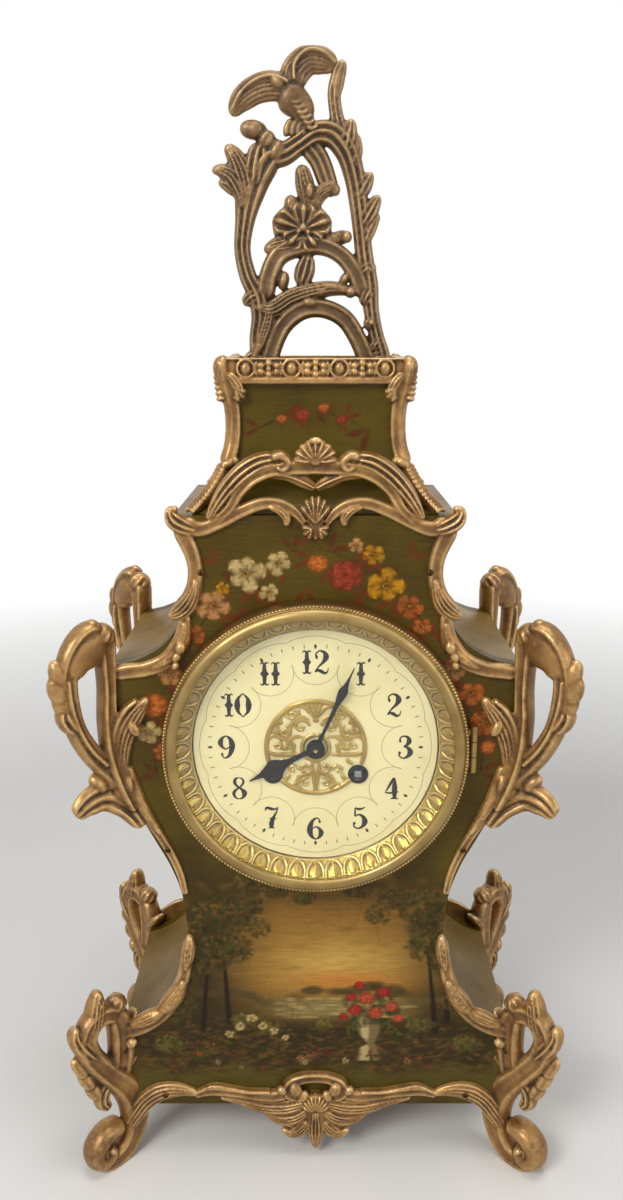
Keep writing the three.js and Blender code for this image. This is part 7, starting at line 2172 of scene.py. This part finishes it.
@dataclass
class DialWork:
    """The dial with its numerals and ornament, the ring behind it, the glazed bezel and the hands.

    Args:
        face: The depth of the dial's face.
        numeral_radius: How far the numerals' middles lie from the dial's.
        numeral_tall: The numerals' height.
        numeral_wide: The width of a digit.
        ferrules: Where the winding holes are.
        tongues: How many leaves the sight ring has.
        hour_angle: The hour hand's angle clockwise from the top.
        minute_angle: The minute hand's.
    """

    face: float = -54.2
    numeral_radius: float = 43.8
    numeral_tall: float = 11.6
    numeral_wide: float = 7.0
    ferrules: tuple[Row, ...] = ((-21.0, 228.0), (21.0, 228.0))
    tongues: int = 44
    hour_angle: float = 242.0
    minute_angle: float = 24.0

    def polar(self, radius: float, degrees: float) -> tuple[float, float]:
        """A place on the dial by radius and angle clockwise from the top."""
        angle = math.radians(degrees)
        return radius * math.sin(angle), DIAL_Z + radius * math.cos(angle)

    def flat(self, x: float, z: float, width: float, height: float = 0.07) -> Row:
        """A station on the dial's face."""
        return (x, self.face + 0.01, z, width, height)

    def face_plate(self) -> None:
        """The enamelled dial."""
        profile = [(0.001, -52.9), (60.0, -52.9), (60.0, -53.9), (59.7, self.face), (0.001, self.face)]
        shape = Shape().turned(profile, (0.0, DIAL_Z), 192)
        holes = [(4.0, 0.0, DIAL_Z)] + [(3.4, x, z) for x, z in self.ferrules]
        piece("dial_enamel", drilled("dial_enamel", shape, holes, -60.0, -45.0), DIAL_ENAMEL,
              stands_for=["dial"])

    def numerals(self) -> None:
        """The twelve numerals, the minute marks and the scalloped lines."""
        ink = Shape()
        for hour in range(1, 13):
            text = str(hour)
            wide = [self.numeral_wide * (0.58 if digit == "1" else 1.0) for digit in text]
            x0, z0 = self.polar(self.numeral_radius, hour * 30.0)
            left = x0 - (sum(wide) + 1.3 * (len(text) - 1)) / 2
            for digit, width in zip(text, wide):
                for stroke in DIGITS[digit]:
                    rows = [self.flat(left + x * width, z0 + (z - 0.5) * self.numeral_tall,
                                      w * (1.22 if w > 0.9 else 1)) for x, z, w in stroke]
                    ink.bar(rows, FRONT, Section.ROUND, under=0, rounding=(0.6, 0.6), spacing=0.35)
                left += width + 1.3
        for minute in range(60):
            big = minute % 5 == 0
            spots = [(50.4, 0.1), (51.7, 0.75), (53.0, 0.1)] if big else [(51.0, 0.2), (52.9, 0.2)]
            ink.bar([self.flat(*self.polar(r, minute * 6.0), w) for r, w in spots], FRONT, Section.ROUND, under=0,
                    rounding=(0, 0), spacing=0.6)
        piece("dial_numerals", ink.mesh("dial_numerals"), DIAL_INK)
        lines = Shape()
        rim = [self.flat(*self.polar(55.0 + 1.9 * abs(math.cos(math.radians(6 * a))) ** 0.7, a), 0.15, 0.05)
               for a in np.arange(15, 375.5, 1.5)]
        lines.bar(rim, FRONT, Section.ROUND, under=0, rounding=(0, 0), spacing=1.2)
        for hour in range(12):
            x0, z0 = self.polar(44.0, hour * 30.0)
            cup = []
            for a in np.linspace(-82.5, 82.5, 19):
                angle = math.radians(hour * 30.0 + a)
                cup.append(self.flat(x0 - 11.5 * math.sin(angle), z0 - 11.5 * math.cos(angle), 0.15, 0.05))
            lines.bar(cup, FRONT, Section.ROUND, under=0, rounding=(0, 0), spacing=1.4)
        piece("dial_lines", lines.mesh("dial_lines"), DIAL_LINE)

    def curl(self, shape: Shape, x: float, z: float, radius: float, start: float, turns: float, width: float) -> None:
        """Adds one flat scroll, from its eye outward."""
        rows = []
        for share in np.linspace(0.12, 1, 16):
            angle = start + turns * FULL_TURN * share
            rows.append((x + radius * share * math.cos(angle), self.face - 0.32, z + radius * share * math.sin(angle),
                         width * (0.9 + 0.75 * share), 0.92))
        shape.bar(rows, FRONT, Section.ROUND, under=0, spacing=0.5)
        shape.egg((x, self.face - 0.6, z), (width * 1.5, 0.45, width * 1.5))

    def lacework(self) -> None:
        """The pierced gilt ornament at the dial's centre."""
        half, y = Shape(), self.face - 0.32
        for x, z, radius, start, turns, width in (
                (7.0, 253.0, 4.2, 1.2, 1.3, 0.62), (15.2, 250.4, 3.4, 3.6, -1.3, 0.55),
                (11.4, 243.6, 3.4, 0.4, 1.25, 0.55), (19.0, 243.4, 2.6, 2.6, -1.1, 0.5),
                (4.8, 231.6, 3.3, 5.0, -1.3, 0.55), (11.2, 230.2, 3.0, 2.0, 1.2, 0.5),
                (4.8, 223.6, 2.8, 1.0, 1.2, 0.5), (11.6, 259.6, 3.2, 5.6, 1.2, 0.5)):
            self.curl(half, x, z, radius, start, turns, width)
        for path in ([(1.6, 261.0), (5.0, 263.0), (10.6, 264.0), (16.0, 260.0), (18.6, 254.0), (17.8, 249.0)],
                     [(3.0, 256.6), (7.4, 258.0), (11.4, 255.0), (13.4, 248.0), (11.0, 241.0), (12.4, 237.0)],
                     [(6.0, 247.6), (9.6, 247.8), (15.6, 246.6), (20.6, 248.4), (23.0, 246.0)],
                     [(6.6, 238.4), (13.6, 238.4), (20.8, 238.6), (23.4, 240.4)],
                     [(0.6, 227.6), (3.0, 228.2), (7.6, 226.8), (9.4, 223.4), (12.6, 222.6)],
                     [(1.0, 236.0), (1.8, 231.6), (1.0, 227.0), (0.6, 219.0)]):
            half.bar([(x, y, z, 1.15 if 0 < n < len(path) - 1 else 0.5, 0.92) for n, (x, z) in enumerate(path)], FRONT,
                     Section.LEAF3, under=0, spacing=0.5)
        for x, z, lean in ((17.6, 255.8, 0.9), (19.6, 250.0, 1.2), (13.4, 260.8, 0.6), (8.6, 260.4, 0.1),
                           (16.6, 234.6, -0.8), (8.0, 220.8, 0.5), (13.8, 226.2, -0.6), (15.4, 241.6, 1.4)):
            half.egg((x, self.face - 0.55, z), (1.25, 0.5, 2.3), lean=lean)
        whole = both_sides(half)
        whole.fan((0.0, y, 257.0), [(0.0, y, 267.0), (3.0, y, 266.0), (-3.0, y, 266.0), (5.6, y, 263.8),
                                    (-5.6, y, 263.8)], FRONT, 1.1, 0.75, 0.3)
        whole.egg((0.0, self.face - 0.6, 256.4), (1.5, 0.5, 1.5))
        arcs = ([(a, 24.1) for a in np.arange(-112.0, 112.5, 4)], [(a, 24.1) for a in np.arange(132.0, 228.5, 4)],
                [(a, 6.6) for a in np.arange(0.0, 361, 12)])
        for arc in arcs:
            whole.bar([(x, y, z, 1.2, 0.95) for x, z in (self.polar(radius, a) for a, radius in arc)], FRONT,
                      Section.ROUND, under=0)
        piece("centre_lace", fused("centre_lace", whole, 0.24), BRIGHT_GILT,
              stands_for=["dial_centre_ornament"])

    def sight(self) -> bpy.types.Mesh:
        """The stamped gilt ring of tongues inside the glass."""
        count, across = self.tongues * 26, 34
        angle = np.linspace(0, FULL_TURN, count, endpoint=False)
        share = np.linspace(0, 1, across)
        inner, outer = np.array((60.7, -54.7)), np.array((67.8, -61.2))
        base = inner + (outer - inner) * share[:, None]
        facing = np.array((-(outer - inner)[1], (outer - inner)[0]))
        facing = -facing / np.linalg.norm(facing)
        cell = FULL_TURN / self.tongues
        a = ((angle + cell / 2) % cell - cell / 2) / cell
        a, v = np.meshgrid(a, share, indexing="ij")
        bow = np.hypot(a / 0.46, np.clip(0.66 - v, 0, 1) / 0.6)
        height = 0.4 * np.exp(-((bow - 0.95) / 0.12) ** 2) - 0.16 * eased(-np.abs(bow - 0.72), -0.14, 0.0)
        leaf = 1 - (np.abs(a / 0.27) ** 1.7 + np.abs((v - 0.62) / 0.46) ** 2.2)
        height += 0.42 * eased(leaf, 0.0, 0.8) + 0.16 * np.exp(-(a / 0.05) ** 2) * (leaf > 0)
        height += 0.25 * np.exp(-((v - 0.015) / 0.03) ** 2)
        height *= np.clip((1 - v) / 0.06, 0.1, 1)
        place = base[None] + facing * height[..., None]
        back = (base - facing * 0.6)[None].repeat(count, axis=0)
        ring = np.concatenate([place, back[:, ::-1]], axis=1)
        rings = np.stack([ring[..., 0] * np.cos(angle)[:, None], ring[..., 1],
                          DIAL_Z + ring[..., 0] * np.sin(angle)[:, None]], axis=2)
        mesh = Shape().rings(rings, looped=True).mesh("tongued_ring")
        outward(mesh)
        store_relief(mesh, 6, 0.3)
        smoothed(mesh)
        return mesh

    def bezel(self) -> None:
        """The bezel, its hinge, its glass and the ring fixed to the case behind it."""
        band = [(68.3, -54.3), (68.3, -63.9), (66.9, -64.0), (66.9, -65.0), (67.5, -65.8), (68.6, -66.25),
                (69.8, -66.3), (71.0, -66.0), (72.0, -65.3), (72.6, -64.4), (72.7, -63.9), (73.6, -63.2),
                (74.3, -62.0), (74.6, -60.0), (74.7, -57.0), (74.7, -54.3)]
        shape = Shape().turned(band, (0.0, DIAL_Z), 240)
        shape.joined(rippled_ring(73.5, -63.1, 0.95, 264))
        hinge = Shape()
        for z0, z1 in ((DIAL_Z - 12.0, DIAL_Z - 4.2), (DIAL_Z + 4.2, DIAL_Z + 12.0)):
            hinge.bar([(77.3, -56.5, z, 2.0, 2.0) for z in (z0, z0 + 2, z1 - 2, z1)], FRONT, Section.ROUND,
                      rounding=(0, 0))
            hinge.bar([(x, -56.4, (z0 + z1) / 2, 3.0, 0.8) for x in (73.9, 75.4, 77.0)], FRONT, Section.ROUND)
        piece("turned_bezel", shape.joined(hinge).skin("turned_bezel", 40.0), BEZEL_BRASS, body="bezel_door",
              stands_for=["bezel_ring"])
        piece("tongued_ring", self.sight(), BRIGHT_GILT, body="bezel_door",
              stands_for=["sight_ring"])
        lens = [(0.001, -63.8), (40.0, -63.6), (60.0, -63.1), (67.7, -62.6), (67.7, -61.7), (60.0, -62.1),
                (40.0, -62.6), (0.001, -62.8)]
        mesh = Shape().turned(lens, (0.0, DIAL_Z), 160).skin("bezel_lens", 40.0)
        piece("bezel_lens", mesh, GLASS, body="bezel_door", stands_for=["bezel_glass"])
        seat = [(60.3, -38.3), (60.3, -53.2), (61.0, -54.0), (71.6, -54.0), (72.0, -53.6), (72.0, -52.35),
                (62.6, -52.35), (62.6, -38.3)]
        shape = Shape().turned(seat, (0.0, DIAL_Z), 192)
        shape.bar([(77.3, -56.5, DIAL_Z + z, 2.0, 2.0) for z in (-3.8, -2, 2, 3.8)], FRONT, Section.ROUND,
                  rounding=(0, 0))
        shape.bar([(x, -53.9, DIAL_Z, 3.4, 0.8) for x in (71.5, 74.0, 77.0)], FRONT, Section.ROUND)
        piece("seat_ring", shape.skin("seat_ring", 40.0), BEZEL_BRASS, stands_for=["dial_ring"])

    def hand(self, name: str, node: str, body: str, degrees: float, back: float, top: float,
             blade: Sequence[Row], hub: Sequence[Row]) -> None:
        """Makes one black hand.

        Args:
            name: Its name.
            node: The CAD node that it stands for.
            body: The body that it turns with.
            degrees: Its angle clockwise from the top.
            back: The depth of its back.
            top: Its thickness.
            blade: Distance from the hub's middle and half width, along it.
            hub: The hub's turned profile.
        """
        rows = [(*self.polar(far, degrees), width) for far, width in blade]
        shape = Shape().bar([(x, back, z, width, top) for x, z, width in rows], FRONT, Section.RIB, under=0,
                            rounding=(0, 0.4), spacing=0.4)
        shape.turned(hub, (0.0, DIAL_Z), 48)
        piece(name, shape.skin(name, 30.0), BLUED, body=body, stands_for=[node])

    def hands(self) -> None:
        """The hour and minute hands and the winding ferrules."""
        self.hand("spade_hour_hand", "hour_hand", "hour_work", self.hour_angle, -55.85, 0.62,
                  [(3.6, 1.5), (7.0, 1.3), (14.0, 1.5), (17.5, 2.4), (20.5, 4.2), (23.6, 4.7), (27.0, 3.0), (31.0, 1.3),
                   (37.0, 0.35)],
                  [(2.7, -55.85), (4.5, -55.85), (4.5, -56.3), (4.2, -56.5), (2.7, -56.5)])
        self.hand("lozenge_minute_hand", "minute_hand", "minute_work", self.minute_angle, -57.45, 0.62,
                  [(3.6, 1.5), (8.0, 0.95), (20.0, 1.0), (26.0, 1.3), (30.0, 2.1), (33.0, 2.3), (36.0, 1.3),
                   (40.0, 0.6), (46.0, 0.25)],
                  [(1.4, -57.4), (4.6, -57.4), (4.6, -57.9), (4.3, -58.1), (3.2, -58.1), (3.0, -58.7), (2.2, -59.2),
                   (1.4, -59.55)])
        for side, (x, z) in zip(("left", "right"), self.ferrules):
            ring = [(3.05, -54.5), (4.9, -54.5), (5.0, -55.0), (4.6, -55.5), (3.8, -55.7), (3.2, -55.5), (3.05, -55.1)]
            mesh = Shape().turned(ring, (x, z), 64).skin(f"ferrule_{side}", 40.0)
            piece(f"ferrule_{side}", mesh, BLUED, stands_for=[f"winding_ferrule_{side}"])

    def build(self) -> None:
        """Makes the whole dial."""
        self.face_plate()
        self.numerals()
        self.lacework()
        self.bezel()
        self.hands()


@dataclass
class MountScrews:
    """The small slotted screws that hold the mounts to the case.

    Args:
        head: A head's radius.
        rise: How far it stands out.
        places: Those of the front right quarter.
    """

    head: float = 1.6
    rise: float = 0.9
    places: tuple[Row, ...] = ((53.8, -55.2, 330.0), (102.0, -55.6, 68.0), (81.0, -56.0, 40.4), (93.0, -54.6, 247.0),
                               (63.4, -54.8, 291.6), (71.6, -55.2, 104.6), (74.6, -54.4, 186.0))

    def build(self) -> None:
        """Makes the heads, each with a dark mark in its slot as painted shade, on both sides of the front and back."""
        heads, slot_shades = Shape(), Shape()
        for x, y, z in self.places:
            for sign_x in (-1, 1):
                for sign_y in (-1, 1):
                    face = np.array((0.0, sign_y, 0.0))
                    middle = np.array((x * sign_x, -y * sign_y, z)) - face * 0.3
                    heads.egg(middle, (self.head, self.rise, self.head))
                    # Painted shade: the slot is a black mark laid on the head, where a cut slot would only look dark
                    # from shade.
                    turn = 0.5 + x * 0.37
                    ends = [middle + face * self.rise * 0.86 + np.array((math.cos(turn), 0, math.sin(turn))) * step
                            for step in (-1.3, -0.6, 0.6, 1.3)]
                    slot_shades.bar([(*end, 0.24, 0.22) for end in ends], tuple(face), Section.ROUND)
        for name, shape, finish in (("mount_screws", heads, SCREW_BRASS), ("screw_slot_shades", slot_shades, BLUED)):
            piece(name, shape.skin(name, 40.0), finish)


# Studio


@dataclass(frozen=True)
class Lamp:
    """One soft square lamp, in metres and watts.

    Args:
        name: Its name.
        place: Where it stands.
        aim_height: The height over the middle of the floor that it faces.
        size: The length of its side.
        power: Its power.
        tint: Its colour.
    """

    name: str
    place: Row
    aim_height: float
    size: float
    power: float
    tint: Colour

    def build(self) -> None:
        """Adds the lamp to the scene."""
        data = bpy.data.lights.new(self.name, "AREA")
        data.shape, data.size, data.energy, data.color = "SQUARE", self.size, self.power, self.tint
        made = linked(self.name, data)
        made.location = self.place
        aim = Vector((0.0, 0.0, self.aim_height)) - Vector(self.place)
        made.rotation_euler = aim.to_track_quat("-Z", "Y").to_euler()


@dataclass
class Studio:
    """The pale floor, soft lights and the camera of the photograph's angle, in metres."""

    eye: Row = (0.0, -0.512, 0.435)
    tilt: float = 75.5
    lens: float = 30.0
    sensor: float = 36.0
    shift: float = -4 / 1200
    clip: tuple[float, float] = (0.02, 20.0)
    ambient: float = 0.2
    floor_reach: float = 1.6
    floor_drop: float = 0.0002
    lamps: tuple[Lamp, ...] = (Lamp("key_lamp", (-0.75, -1.1, 1.15), 0.26, 0.6, 13.6, (1.0, 0.985, 0.95)),
                               Lamp("top_lamp", (0.1, -0.15, 1.75), 0.3, 0.9, 10.2, (1.0, 0.98, 0.94)),
                               Lamp("fill_lamp", (1.05, -0.8, 0.7), 0.26, 0.9, 4.2, (0.97, 0.985, 1.0)))

    def camera(self) -> None:
        """Sets the camera."""
        data = bpy.data.cameras.new("camera")
        data.lens, data.sensor_width, data.sensor_fit, data.shift_x = self.lens, self.sensor, "AUTO", self.shift
        data.clip_start, data.clip_end = self.clip
        made = linked("camera", data)
        made.location = self.eye
        made.rotation_euler = (math.radians(self.tilt), 0.0, 0.0)
        bpy.context.scene.camera = made

    def world(self) -> None:
        """Sets a plain pale surround, white to the camera and in reflections."""
        made = bpy.data.worlds.new("surround")
        made.use_nodes = True
        w = Wiring(made.node_tree)
        path = w.add("LightPath")
        seen = w.math("MAXIMUM", path.outputs["Is Camera Ray"],
                      w.math("MAXIMUM", path.outputs["Is Glossy Ray"], path.outputs["Is Transmission Ray"]))
        background = made.node_tree.nodes["Background"]
        background.inputs["Color"].default_value = (1.0, 1.0, 1.0, 1.0)
        w.feed(background.inputs["Strength"], w.span(seen, 0.0, 1.0, self.ambient, 1.0))
        bpy.context.scene.world = made

    def floor(self) -> None:
        """Adds the floor under the feet."""
        mesh = bpy.data.meshes.new("studio_floor")
        work = bmesh.new()
        bmesh.ops.create_grid(work, x_segments=12, y_segments=12, size=self.floor_reach)
        work.to_mesh(mesh)
        work.free()
        mesh.materials.append(GROUND.material())
        made = linked("studio_floor", mesh)
        made.location = (0.0, 0.0, -self.floor_drop)

    def build(self) -> None:
        """Sets up the whole studio."""
        self.camera()
        self.world()
        self.floor()
        for lamp in self.lamps:
            lamp.build()
        bpy.context.scene.view_settings.view_transform = "Standard"


# Movement pieces that keep their CAD shape

STEEL_NODES = ("cannon_pinion", "pallets", "hammer", "going_winding_arbor", "strike_winding_arbor")
NODE_FINISHES: dict[str, Finish] = {"bell": BELL_METAL, **dict.fromkeys(STEEL_NODES, STEEL)}


def main() -> None:
    """Builds and dresses the clock, reporting each piece."""
    logging.basicConfig(level=logging.INFO, format="%(message)s")
    EFFECTS.build()
    for part in (Studio(), PaintedCase(), DialWork(), CornerHandle(), CornerFoot(), CrestMount(), ApronMount(),
                 CapCorners(), CapGallery(), Finial(), MountScrews()):
        part.build()
    for name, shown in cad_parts.items():
        if not shown.hide_render:
            dress_node(name, NODE_FINISHES.get(name, WHEEL_BRASS))


if __name__ == "__main__":
    main()
